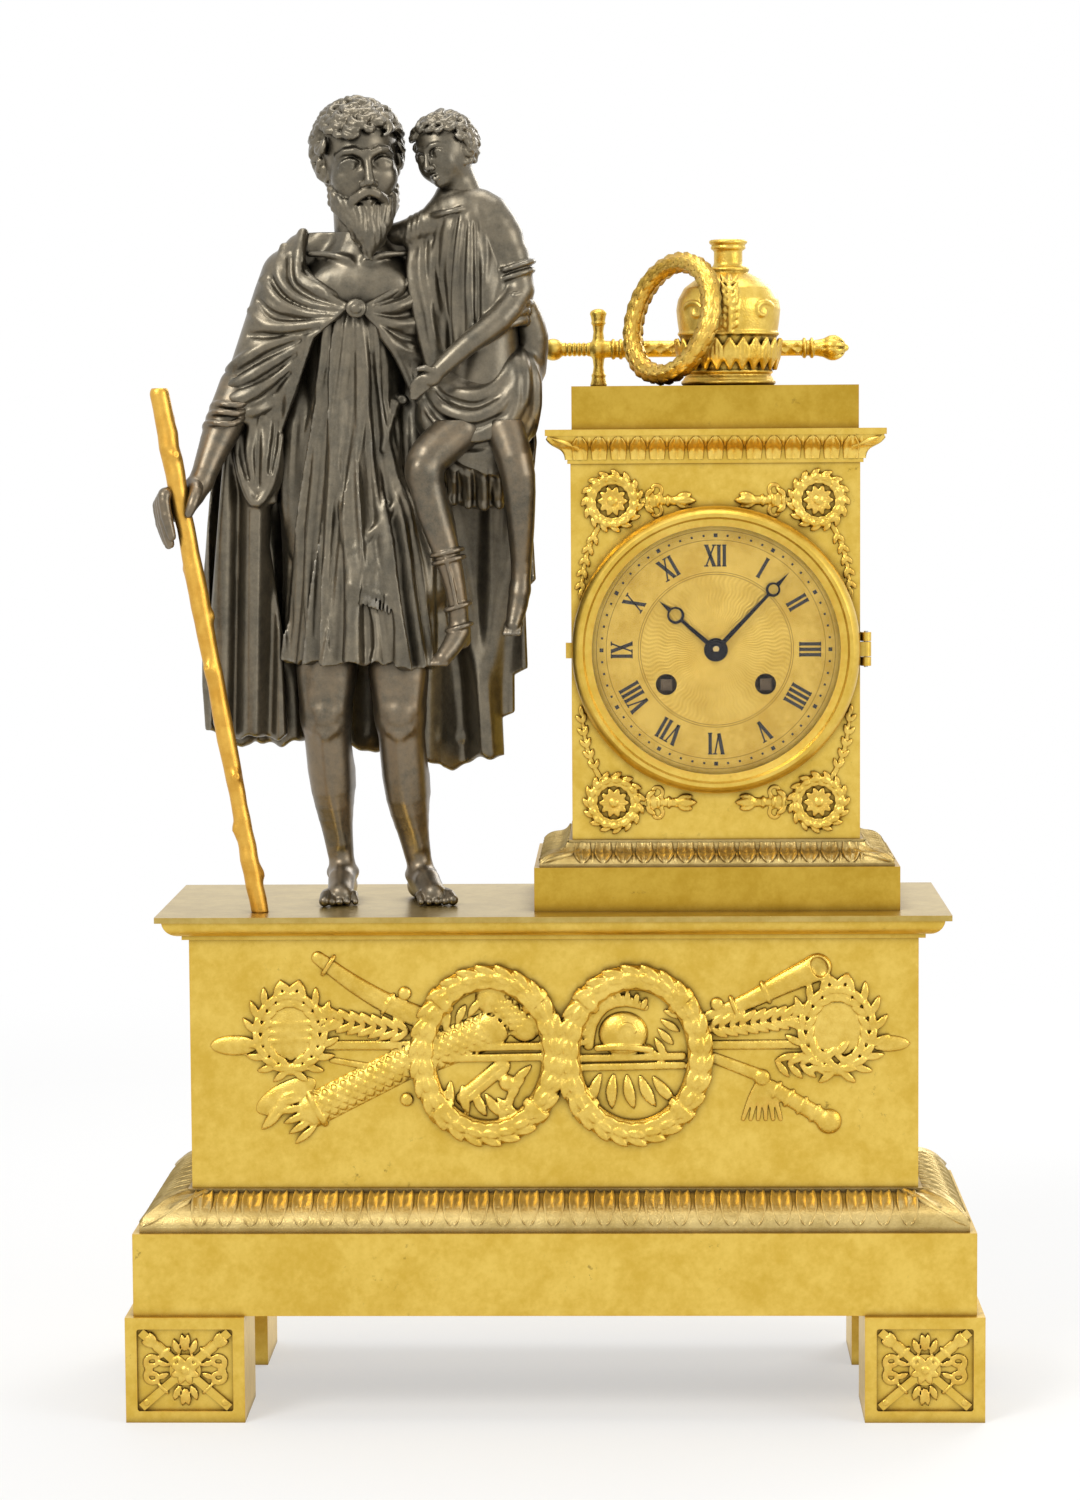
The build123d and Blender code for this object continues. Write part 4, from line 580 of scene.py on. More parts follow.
def thinned(thing, most):
    # Fewer triangles, taken first where a sculpted skin is nearly flat
    count = 2 * len(thing.data.polygons)
    if count > most:
        modifier = thing.modifiers.new("thin", "DECIMATE")
        modifier.ratio = most / count
        bpy.context.view_layer.update()
        full = thing.data
        made = bpy.data.meshes.new_from_object(thing.evaluated_get(bpy.context.evaluated_depsgraph_get()))
        thing.modifiers.remove(modifier)
        thing.data = made
        bpy.data.meshes.remove(full)
        made.name = thing.name
        made.polygons.foreach_set("use_smooth", np.full(len(made.polygons), True))
    return thing


def addPiece(thing, finishName, body="clock", stands=()):
    # Gives a finished piece its material and its body
    thing.data.materials.clear()
    thing.data.materials.append(finish[finishName])
    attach(thing, body)
    if stands:
        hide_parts(*stands)
    return thing


def atDepth(run, y):
    # Places in space from (x, z) places
    return [(x, y, z) for x, z in run]


def smoothRun(points, count):
    # Smooth run of points through the given ones
    p = np.array(points, float)
    out = []
    for v in np.linspace(0, len(p) - 1, count):
        i = min(int(v), len(p) - 2)
        f = v - i
        a, b, c, d = p[max(i - 1, 0)], p[i], p[i + 1], p[min(i + 2, len(p) - 1)]
        bent = (2 * a - 5 * b + 4 * c - d) * f * f + (3 * b - a - 3 * c + d) * f ** 3
        out.append(0.5 * (2 * b + (c - a) * f + bent))
    return np.array(out)


def turned(yaw, pitch, roll):
    # Roll about y, then pitch about x, then yaw about z, in degrees
    turns = ((yaw, "Z"), (pitch, "X"), (roll, "Y"))
    about = [Matrix.Rotation(radians(angle), 3, axis) for angle, axis in turns]
    return np.array(about[0] @ about[1] @ about[2])


def placed(yaw, pitch, roll, spot):
    place = np.eye(4)
    place[:3, :3] = turned(yaw, pitch, roll)
    place[:3, 3] = spot
    return place


def ringPoints(middle, across, up, count=18):
    # Closed ring through two half axes
    m, a, b = (np.array(v, float) for v in (middle, across, up))
    return [m + a * cos(t) + b * sin(t) for t in np.linspace(0, fullTurn, count)]


def calmFace(clay, s, eyeX, cheek, chin=0):
    # Plain face laid out on halves and thirds, looking along -y; s is 1 on a 44 mm head
    def at(*p):
        return tuple(v * s for v in p)
    for side in (-1, 1):
        clay.lump(at(side * eyeX, -16.8, 0.4), at(4.4, 3.6, 3), 2.2 * s, carve=True)
        clay.lump(at(side * eyeX, -13, 0), 3.3 * s, 0.4)
        clay.strand([at(side * (eyeX + d), -15.9 + abs(d) * 0.34, 1.5 - d * d * 0.11)
            for d in (-3.2, -1.6, 0, 1.6, 3.4)], 0.75 * s, 0.5)
        clay.strand([at(side * (eyeX + d), -15.4 + abs(d) * 0.32, -1.7 + d * d * 0.09)
            for d in (-3, -1.5, 0, 1.5, 3.2)], 0.6 * s, 0.7)
        clay.strand([at(side * 1.8, -17.2, 3.6), at(side * 5, -16.6, 5), at(side * 8.4, -14.6, 4.7),
            at(side * 10.8, -11.8, 3)], at(1.3, 1.4, 0.8), 1.8 * s)
        clay.lump(at(side * 8, -10.8, -5.5), at(4.6, 4.6, cheek), 4 * s)
        clay.lump(at(side * 2.3, -18.3, -7.9), at(1.6, 1.9, 1.5), 0.8 * s)
        clay.lump(at(side * 1.3, -19.6, -9.2), 0.75 * s, 0.5, carve=True)
        clay.strand([at(side * 14.4, 0.6, 2.8), at(side * 16, 3.2, 3.6), at(side * 16.4, 4.4, 0),
            at(side * 15.4, 2.4, -4.4), at(side * 14, 0.4, -5.6)], at(1, 1.4, 1.1), 0.8 * s)
    clay.strand([at(0, -16.4, 4), at(0, -18.4, -1.5), at(0, -20.4, -6.8)], at(1.5, 1.5, 2), 1.6 * s)
    clay.strand([at(-3.9, -15.2, -12.6), at(-1.1, -17.4, -11.9), at(0, -17.3, -12.2), at(1.1, -17.4, -11.9),
        at(3.9, -15.2, -12.6)], at(0.5, 1, 0.5), 0.8 * s)
    clay.strand([at(-3.2, -15.2, -13.9), at(0, -16.9, -14.4), at(3.2, -15.2, -13.9)],
        at(0.5, 1.2, 0.5), 0.9 * s)
    clay.strand([at(-4.2, -15.7, -12.9), at(0, -18.2, -13.2), at(4.2, -15.7, -12.9)],
        0.35 * s, 0.5, carve=True)
    clay.lump(at(0, -14.2 + chin, -19 + chin), at(4.2, 3.6, 3.4), 3 * s)


def curlHair(clay, dice, middle, radii, grows, style):
    # Comma locks spread evenly over the skull where hair grows
    count, length, thick = (style[v] for v in ("curls", "curlLength", "curlThick"))
    goldenTurn = pi * (3 - sqrt(5))
    for i in range(count):
        up = 1 - 2 * (i + 0.5) / count
        turn, level = i * goldenTurn, sqrt(1 - up * up)
        d = np.array((cos(turn) * level, sin(turn) * level, up)) + dice.normal(0, 0.035, 3)
        d /= np.linalg.norm(d)
        if not grows(d):
            continue
        normal = d / np.array(radii)
        base = np.array(middle) + d / np.linalg.norm(normal)
        normal /= np.linalg.norm(normal)
        fall = np.array((0, 0.25, -1)) + dice.normal(0, 0.35, 3)
        fall -= normal * (fall @ normal)
        fall /= np.linalg.norm(fall)
        side = np.cross(normal, fall) * dice.choice((-1, 1))
        reach = length * dice.uniform(0.8, 1.25)
        lock = []
        for t in np.linspace(0, 1, 7):
            curl = fall * sin(3.6 * t) * (1 - 0.35 * t) * 0.55 + side * (1 - cos(3.6 * t)) * 0.38
            lock.append(base + reach * curl + normal * thick * (0.3 + 0.95 * sin(pi * t)))
        clay.strand(lock, [thick * 1.15, thick, thick * 0.45], 0.45)


headStyle = dict(
    voxel=0.44, seed=7, curls=430, curlLength=6.4, curlThick=1.45, beardRows=(0, 2.6, 5.2), beardLocks=13,
    place=(15, 4, -3, (-74.5, -4, 484)))


def makeManHead():
    dice = np.random.default_rng(headStyle["seed"])
    clay = Clay((-23, -27, -44), (23, 25, 29), headStyle["voxel"])
    clay.lump((0, 2, 6), (15.2, 18.2, 16.4), 1)
    clay.lump((0, 3.8, 8), (16, 17.8, 16.2), 1)
    clay.lump((0, -5.6, -8), (11.8, 11.2, 15), 7)
    clay.strand([(0, 3, -8), (0.5, 5, -36)], 10.5, 4)
    calmFace(clay, 1, 6.4, 5)
    curlHair(clay, dice, (0, 2, 6), (15.4, 18.4, 16.6),
        lambda d: d[2] > 0.42 if d[1] < -0.28 else d[2] > -0.75, headStyle)
    # Beard in wavy locks that gather below the chin
    sway, swell = np.array((1, 0, 0.2)), np.array((0, -2.4, 0))
    for row, lower in enumerate(headStyle["beardRows"]):
        for u in np.linspace(-1, 1, headStyle["beardLocks"]):
            inner = 1 - abs(u)
            base = np.array((12.8 * sin(u * 1.45), -4.5 - 11.2 * cos(u * 1.45) * (1 - 0.06 * row),
                -9.5 - 8.5 * inner ** 0.8 - lower))
            tip = np.array((base[0] * 0.42 + dice.normal(0, 0.5), -12 - 3 * inner,
                -23 - 14 * inner ** 0.6 + row * 0.8))
            phase = dice.uniform(0, 6.28)
            lock = [base + (tip - base) * t + sway * sin(phase + t * 9) * 1.1 * t + swell * sin(pi * t)
                for t in np.linspace(0, 1, 10)]
            clay.strand(lock, [1.7, 1.7, 0.7], 0.45)
    for side in (-1, 1):  # moustache
        for drop, thick in ((0, 1.5), (-0.9, 1.2), (0.8, 1)):
            clay.strand([(side * 0.7, -18.4, -10.4 + drop), (side * 3.4, -18.2, -11.6 + drop),
                (side * 6.6, -15.6, -14 + drop * 1.5), (side * 8.2, -14, -18.6 + drop * 2)],
                [thick, thick, 0.6], 0.5)
    return clay.mesh("manHead", placed(*headStyle["place"]))


childHeadStyle = dict(
    voxel=0.38, seed=9, curls=290, curlLength=5.2, curlThick=1.15, place=(-38, 10, -14, (-40.6, -8, 487.5)))


def makeChildHead():
    dice = np.random.default_rng(childHeadStyle["seed"])
    clay = Clay((-19, -20, -24), (19, 19, 20), childHeadStyle["voxel"])
    clay.lump((0, 1, 3.2), (10.6, 11.8, 10.8), 1)
    clay.lump((0, 2.2, 4.4), (11.1, 11.7, 10.6), 1)
    clay.lump((0, -3.2, -4.6), (8.4, 7.6, 8.6), 5)
    clay.strand([(0, 2, -5), (0.5, 3, -22)], [6.4, 7.2], 3.5)
    calmFace(clay, 0.64, 6.6, 6.5, 2.2)
    curlHair(clay, dice, (0, 1, 3.2), (10.7, 11.9, 10.9),
        lambda d: d[2] > 0.5 if d[1] < -0.15 else d[2] > -0.7, childHeadStyle)
    return clay.mesh("childHead", placed(*childHeadStyle["place"]))


def pleats(count, seed, low, high, tall, gather, spread):
    # Lop-sided pleats that leave the gather angle on top and open towards the hem
    dice = np.random.default_rng(seed)
    rows = []
    for i in range(count):
        foot = -pi + fullTurn * (i + dice.uniform(-0.32, 0.32)) / count
        off = (foot - gather + pi) % fullTurn - pi
        rows.append((foot, foot + off * (spread - 1 if abs(off) < 1.25 else 0), dice.uniform(0.07, 0.13),
            tall * dice.uniform(0.45, 1.3), dice.uniform(0.55, 1.25), dice.choice((-1, 1)),
            dice.uniform(0, 6.28)))

    def folds(turn, z):
        share = np.clip((z - low) / (high - low), 0, 1)
        total = -0.35 * tall
        for foot, top, width, height, reach, hand, phase in rows:
            off = turn - foot - (top - foot) * share ** 1.3 - 0.035 * np.sin(phase + z * 0.06)
            off = ((off + pi) % fullTurn - pi) * hand / (width * (1 - 0.35 * share))
            ridge = np.exp(-np.where(off < 0, off / 1.5, off / 0.55) ** 2)
            total = total + ridge * height * (1 - 0.62 * share) * np.clip((reach - share) * 4, 0, 1)
        return total
    return folds


tunicStyle = dict(
    voxel=0.72,
    pleats=dict(count=32, seed=5, low=290, high=432, tall=3.7, gather=-pi / 2, spread=0.3),
    chest=-75, knot=(-61.5, 390),
    levels=[
        (288.5, -75.5, 1, 29, 20.5), (330, -76, 1.5, 26.5, 19), (362, -77, 2, 23.5, 17),
        (392, -77.5, 2, 21.5, 16), (420, -77, 2.5, 25.5, 17.5), (436, -76, 3, 25, 15),
        (446, -75, 3, 17, 11.5), (456, -74, 3, 11, 9)],
    flap=[
        (-60, 380), (-64, 358), (-71, 342), (-79.5, 330), (-80.5, 319.5), (-71, 316.6), (-62.6, 313.4),
        (-61.6, 303), (-62.2, 282), (-46, 282), (-46, 340), (-52, 380)],
    flapRim=((-79.5, 330), (-64, 358)),
    panelEdge=((-57, 362), (-62, 350), (-70, 340.5), (-81, 330.5)),
    sides=[
        ([(-55, 3, 402), (-53, 1.5, 380), (-51, 0, 350), (-50, -1, 318)], [4, 6.5, 8, 9]),
        ([(-97, 2, 402), (-100.5, 1, 384), (-102, 1, 360), (-100, 3, 335)], [4, 6.5, 7, 6])],
    ridges=[
        (((-84, 372), (-82, 352), (-81, 334)), 1.5), (((-55, 390), (-53.5, 368), (-52, 340)), 1.5),
        (((-51, 386), (-48.5, 360), (-47, 335)), 1.4), (((-99, 394), (-101.5, 374), (-103, 345)), 1.4),
        (((-103, 380), (-105.5, 360), (-105, 340)), 1.3),
        (((-93, 396), (-92, 370), (-95, 338), (-96.5, 300)), 2),
        (((-80, 416), (-84, 385), (-87, 345), (-89.5, 298)), 1.8),
        (((-73, 420), (-72, 395), (-76, 366)), 1.5), (((-69, 330), (-70, 322), (-70.5, 317)), 1.2),
        (((-86, 420), (-90, 400), (-98, 372)), 1.6)],
    grooves=[
        ((-87, 384), (-89, 350), (-93, 300)), ((-77, 410), (-79, 380), (-84, 345), (-86.5, 296)),
        ((-70, 410), (-68, 380), (-66, 350)), ((-56, 350), (-53, 320), (-52, 292)),
        ((-72, 312), (-71.5, 300), (-72, 289)), ((-101, 340), (-103, 315), (-104, 291))])


def makeTunic():
    style = tunicStyle
    clay = Clay((-116, -32, 284), (-38, 32, 457), style["voxel"])
    clay.column(style["levels"], pleats(**style["pleats"]), 0.5, hem=1)
    for path, radii in style["sides"]:
        clay.strand(path, radii, 3)
    for path in style["grooves"]:
        clay.lay(path, [0.3, 1.8, 1.9, 0.2], 1.4, carve=True, sink=-0.2)
    for path, r in style["ridges"]:
        clay.lay(path, [0.3, r, r, 0.4], 1.3)
    clay.layer(style["flap"], 2.2, -2, style["flapRim"], 12)
    clay.lay(style["panelEdge"], [0.3, 1.4, 1.4, 0.3], 1.6)
    for t in np.linspace(0, 1, 12):  # fringe on the folded flap
        x, z = -79.6 + 16.6 * t, 319.6 - 5.6 * t
        front = (clay.skinY(x, z + 2, -1) or -14) + 0.2
        clay.strand([(x, front, z + 1.4), (x - 0.5, front + 0.2, z - 4.6)], [0.85, 0.65], 0.3)
    kx, kz = style["knot"]
    ky = clay.skinY(kx, kz, -1) - 0.6
    clay.lump((kx, ky, kz), (2.6, 2.4, 2.8), 0.7)
    for side in (-1, 1):
        clay.lump((kx + side * 3, ky + 0.8 + side * 0.5, kz + 0.6 + side * 1.4), (2.7, 2.1, 2.3), 0.6)
        clay.lump((kx + side * 3.6, ky - 1.2 + side * 0.5, kz + 0.8 + side * 1.5),
            (1.3, 0.8, 1), 0.4, carve=True)
        tail = ((kx, kz - 1.6), (kx - 0.5 + side * 1.8, kz - 10),
            (kx - 1.1 + side * 2.6, kz - 20 - side * 3))
        clay.lay(tail, [1.1, 1.5, 1.7], 0.8, sink=0.2, count=8)
    # Bare chest, collar bones and shoulders in the wide neckline
    cx = style["chest"]
    clay.lump((cx, -0.6, 437), (21, 12.2, 16), 4)
    clay.strand([(cx, 3, 460), (cx, 1, 448), (cx, 0, 436)], [9.5, 11.6, 12], 4)
    for side in (-1, 1):
        clay.strand([(cx + side * 8, 4, 464), (cx + side * 16, 4, 453.5),
            (cx + side * 25, 3, 448)], [5.5, 6.5, 7], 4)
        clay.flow([(cx + side * 2.6, -11.6, 446), (cx + side * 9, -10.6, 448.2), (cx + side * 19, -5, 449)],
            8, [1.5, 1.3, 1.2], 1.8)
        clay.lump((cx + side * 9.2, -9.4, 436.6), (9.4, 3.4, 6.4), 5)
    clay.lump((cx, -13.4, 447.6), (2, 1.6, 2.2), 1.6, carve=True)
    # Hollow under the hem
    clay.column([(284, -75.5, 1, 26, 17.5), (292, -75.5, 1, 25.5, 17), (297, -75.5, 1, 22, 14)],
        None, 1.2, carve=True)
    return clay.mesh("manTunic")


cloakStyle = dict(
    voxel=0.74, seed=3, backFolds=30, most=194000,
    pleats=dict(count=30, seed=11, low=352, high=456, tall=1.6, gather=pi / 2, spread=0.8),
    cape=[
        (352, -81, 1, 30, 12), (372, -80, 3, 33, 17), (400, -79.5, 4, 35, 20), (420, -79, 3, 35, 21),
        (436, -78.5, 3, 32.5, 19.5), (447, -77.5, 3, 26.5, 15.5), (456, -76.5, 4, 18, 11)],
    arm=[(-97, 2, 449), (-102.5, 1, 440), (-106.5, -1, 426), (-113.5, -3, 408), (-120, -5, 392)],
    armRadii=[8.5, 11.5, 12.2, 11.2, 10],
    rolls=[
        (((-76, 428.5), (-84, 421.5), (-92, 415.5), (-99.5, 395), (-106, 378.5), (-111.5, 356)), 2),
        (((-74, 428.5), (-71, 423.4), (-64, 415.8), (-59, 408), (-53, 394)), 2),
        (((-76.5, 428.5), (-86.7, 434), (-96, 441.5), (-98, 448), (-97, 457)), 2.4),
        (((-73.5, 428.5), (-64, 434), (-54, 442)), 2.4)],
    ridges=[
        (((-79, 427), (-92, 429), (-101, 433.5), (-106, 441.5), (-104.5, 452)), 2.1),
        (((-81, 425.5), (-94, 425.6), (-105, 430), (-112.5, 439)), 2.2),
        (((-82, 424.2), (-96, 421), (-110, 421), (-117, 427)), 2.5),
        (((-95, 418), (-110, 413.6), (-121, 407.5), (-126, 404)), 2.5),
        (((-97.5, 413), (-111, 405), (-122, 399), (-129, 397)), 2.2),
        (((-100, 407), (-110.5, 398.5), (-120, 393.4), (-128, 393)), 2.2),
        (((-102.5, 400), (-109, 391), (-117, 387)), 1.8),
        (((-127.5, 392.6), (-121, 385.4), (-112, 384.4), (-106.6, 392)), 1.7),
        (((-70.5, 426.8), (-60, 428), (-51, 432)), 2.6), (((-70, 424.6), (-61, 421.4), (-50, 422)), 2.2),
        (((-67, 420), (-59, 412), (-48, 407)), 2.3)],
    grooves=[
        ((-81, 428.4), (-92, 431.6), (-100.5, 438), (-101.5, 449)),
        ((-83, 426.3), (-94, 427.4), (-103.5, 432), (-109.5, 440.5)),
        ((-85, 424.2), (-97, 423.2), (-108, 425.4), (-115, 432)),
        ((-90, 419.6), (-104, 417.4), (-118, 417.6)), ((-97.5, 415.4), (-111, 409.4), (-124, 402)),
        ((-99.5, 410), (-111, 401.8), (-125, 396.8)), ((-102, 403), (-110, 394.6), (-119, 389.6)),
        ((-68, 428.6), (-60, 431), (-54, 435.5)), ((-68, 425.6), (-60, 424.6), (-51, 426.6)),
        ((-66, 422), (-58, 416.6), (-49, 414.6))],
    backRidges=[
        (-96, 445, 2), (-88, 440, -3), (-78, 440, 1), (-68, 440, 3), (-60, 440, -2), (-52, 430, 2),
        (-104, 430, -5), (-45, 410, 3), (-112, 415, -4)],
    leftEdge=((240, 262, 280, 315, 360, 385, 430), (-136, -138.5, -139.5, -139, -135, -130, -110)),
    rightEdge=(
        (240, 251, 266, 268, 283, 286, 308, 315, 321, 352, 375, 400, 430),
        (-20, -20, -20.6, -15.7, -15.7, -10.3, -11, -12.7, -6.8, -8.5, -6, -8, -40)),
    sideFolds=((-131, 4, 3.2), (-124, 3, -2.4), (-117, 3.4, 3.6), (-110.5, 3, -1.6), (-105, 3, 3)),
    sideLeft=((250, 300, 360, 392), (-134, -136, -130, -126)),
    sideRight=((250, 300, 335, 392), (-105, -106.5, -111.5, -108)),
    openLeft=(
        (335, 348, 358, 378.5, 395, 416, 427, 430), (-100, -106, -110.5, -106.2, -99.7, -92, -79, -75)),
    openRight=((335, 380, 409, 416, 424, 430), (-40, -48, -59.7, -64, -71.6, -75)),
    slingRidges=[
        (((-117, 386), (-118.6, 372), (-117, 358)), 1.7), (((-110, 386), (-111.6, 372), (-113, 360)), 1.6)],
    slingGrooves=[
        ((-113.6, 386), (-115, 372), (-115, 359)), ((-120.4, 382), (-121, 372), (-119, 362)),
        ((-107.6, 384), (-108.6, 374), (-110, 364))],
    hem=(
        (-139, -132, -118, -104, -95, -70, -58, -46, -44.5, -30, -20, -15, -8),
        (262, 257.5, 255, 256.5, 254, 252, 250, 246, 245, 248.5, 252, 270, 290)))


def makeCloak():
    style = cloakStyle
    clay = Clay((-143, -38, 240), (-2, 38, 466), style["voxel"])
    clay.column(style["cape"], pleats(**style["pleats"]), 0.5)
    clay.strand(style["arm"], style["armRadii"], 5)
    dice = np.random.default_rng(style["seed"])
    waves = []
    for _ in range(style["backFolds"]):
        spot, wide = dice.uniform(-137, -8), dice.uniform(3.2, 6.8)
        deep = dice.uniform(1.2, 3.8) * dice.choice((1, 1, -1))
        waves.append((spot, wide, deep, dice.uniform(-0.15, 0.15)))

    def backMiddle(x, z):
        low = np.clip((400 - z) / 140, 0, 1)
        y = 1 + (18 + 4 * low) * np.sin(pi * np.clip((x + 136) / 130, 0, 0.999)) ** 0.6
        for spot, wide, deep, drift in waves:
            off = x - spot - drift * (z - 330) - 14 * drift * np.sin(z * 0.04 + spot)
            y = y - deep * np.exp(-(off / (wide * (0.6 + 0.7 * low))) ** 2) * (0.35 + 0.9 * low)
        return y

    def sideMiddle(x, z):
        y = -4 + (x + 122) ** 2 * 0.018
        for spot, wide, deep in style["sideFolds"]:
            y = y - deep * np.exp(-((x - spot - 0.03 * (z - 330)) / wide) ** 2)
        return y

    def hem(x):
        return 1.3 * np.sin(x * 0.36) + 0.5 * np.sin(x * 0.83 + 1) + np.interp(x, *style["hem"])

    def edge(name):
        return lambda z: np.interp(z, *style[name])
    clay.sheet(backMiddle, edge("leftEdge"), edge("rightEdge"), hem, 432, 2.3, 5)
    clay.sheet(sideMiddle, edge("sideLeft"), edge("sideRight"), lambda x: hem(x) + 4, 392, 2.2, 2.5)
    # Opening at the front where the tunic shows
    cuts, (x, y, z) = clay.window((-125, -60, 335), (-30, 14, 460))
    across = np.maximum(edge("openLeft")(z) - x, x - edge("openRight")(z)) * 0.85
    clay.blend(cuts, np.maximum(across, np.maximum(y - 13, z - 429.5)).astype(np.float32), 1.5, True)
    # Wide neckline that leaves the chest bare
    cuts, (x, y, z) = clay.window((-104, -60, 424), (-46, 12, 470))
    off = np.abs(x + 75)
    rim = 428.5 + 14 * (np.minimum(off, 23) / 22) ** 1.4
    clay.blend(cuts, np.maximum(np.maximum(rim - z, off - 21.5), y - 7).astype(np.float32), 1.2, True)
    for path in style["grooves"]:
        clay.lay(path, [0.5, 1.7, 1.3], 1.2, carve=True, sink=-0.1)
    for path, r in style["ridges"]:
        clay.lay(path, [0.9, r, r * 0.8], 0.9)
    for path, r in style["rolls"]:
        clay.lay(path, [r * 0.7, r, r], 0.8)
    # Cloth that hangs off the forearm
    clay.lump((-114.5, -5, 368), (9.6, 7, 17), 3)
    clay.flow([(-124, -6, 382), (-122.5, -9.4, 366), (-117, -10.8, 352.4), (-110.6, -9.8, 358),
        (-106, -8, 378)], 15, [1, 1.5, 1.6, 1.5, 1], 2.2)
    for path, r in style["slingRidges"]:
        clay.lay(path, [0.8, r, 0.8], 1)
    for path in style["slingGrooves"]:
        clay.lay(path, [0.5, 1.5, 0.8], 1, carve=True, sink=-0.1)
    for x0, z0, lean in style["backRidges"]:
        run = ((x0, z0), (x0 + lean, z0 - 60), (x0 + 2.2 * lean, z0 - 130),
            (x0 + 2.6 * lean, max(z0 - 190, 258)))
        clay.lay(run, [1.4, 2.6, 2.2], 2, side=1)
    clay.lump((-75.2, -17.8, 427.4), (4.2, 2.6, 3.8), 0.5)  # clasp
    clay.strand(ringPoints((-75.2, -19.4, 427.4), (3, 0, 0), (0, 0, 2.7), 20), 0.55, 0.3, carve=True)
    return thinned(clay.mesh("manCloak"), style["most"])


armStyle = dict(voxel=0.5, fingers=(0.95, 1.05, 1, 0.86), sleeve=((391, 0.4), (387.4, 0), (383.6, 0.3)))
staffStyle = dict(
    voxel=0.62, seed=21, steps=40, foot=np.array((-113.8, -35.5, 194.2)), head=np.array((-151, -26, 394.7)),
    knots=(
        (0.07, 0.4), (0.16, 3.4), (0.26, 5), (0.37, 1.6), (0.47, 4.2), (0.57, 0.2), (0.66, 2.6),
        (0.88, 5.2), (0.95, 1)))


def onStaff(z):
    foot, head = staffStyle["foot"], staffStyle["head"]
    return foot + (head - foot) * (z - foot[2]) / (head[2] - foot[2])


def makeArm():
    clay = Clay((-159, -44, 326), (-112, 12, 404), armStyle["voxel"])
    clay.flow([(-122, -4, 397), (-128, -9, 383), (-133, -15, 370), (-136, -19.6, 361)], 9,
        [8.6, 7.6, 5.6, 4.5], 1)
    for z, push in armStyle["sleeve"]:  # turned back in rolls
        t = (396 - z) / 34
        middle = np.array((-123 - 13 * t, -5 - 14 * t, z))
        roll = [(cos(a) * 0.9, sin(a), cos(a) * 0.28 + 0.2 * sin(2 * a + push))
            for a in np.linspace(0, fullTurn, 20)]
        clay.strand(middle + 8.4 * np.array(roll), 1.3, 0.9)
    clay.flow([(-136, -19.6, 361), onStaff(356) + (4.4, 6.4, 0),
        onStaff(350) + (-1.6, 7, 0)], 7, [4.5, 5, 4.6], 2)
    clay.lump(onStaff(352) + (-2, 6.6, 0.6), (6.4, 3.6, 7.4), 2, turn=turned(0, 0, 24))
    for i, reach in enumerate(armStyle["fingers"]):  # they hang beside the staff
        knuckle = onStaff(356) + np.array((-5.2 - i, -2.8 + 2.5 * i, -1.3 * i))
        joint = knuckle + np.array((0.8, -1.6, -8.6 * reach))
        finger = [onStaff(354) + (-1.4 - 0.6 * i, 5.6 + 0.5 * i, 1.6 - i), knuckle, joint,
            joint + (2, -0.4, -8.4 * reach)]
        clay.flow(finger, 14, [2.6, 2.6, 2.3, 2.1, 1.6], 0.5)
        clay.lump(knuckle, (2.6, 2.6, 2.4), 0.8)
        clay.lump(joint, (2.3, 2.3, 2.2), 0.6)
    a = onStaff(358)
    clay.flow([a + (5, 5.4, 2), a + (7, -0.6, -0.4), a + (6.2, -4.4, -5), a + (4.6, -5.4, -9.4)], 9,
        [2.9, 2.7, 2.3, 1.7], 0.8)
    return clay.mesh("manArm")


legStyle = dict(
    voxel=0.58, floor=194.4,
    legs=[
        ((-89, 1, 303), (-90, -2.5, 268), (-88.3, 3, 241), (-84.4, 2.5, 207), (-84.4, -18.5, 197), 1),
        ((-61.5, 0, 303), (-60.5, -4.5, 268), (-58.6, 1.6, 238), (-53.2, 1.5, 206), (-45.4, -18, 197), -1)])


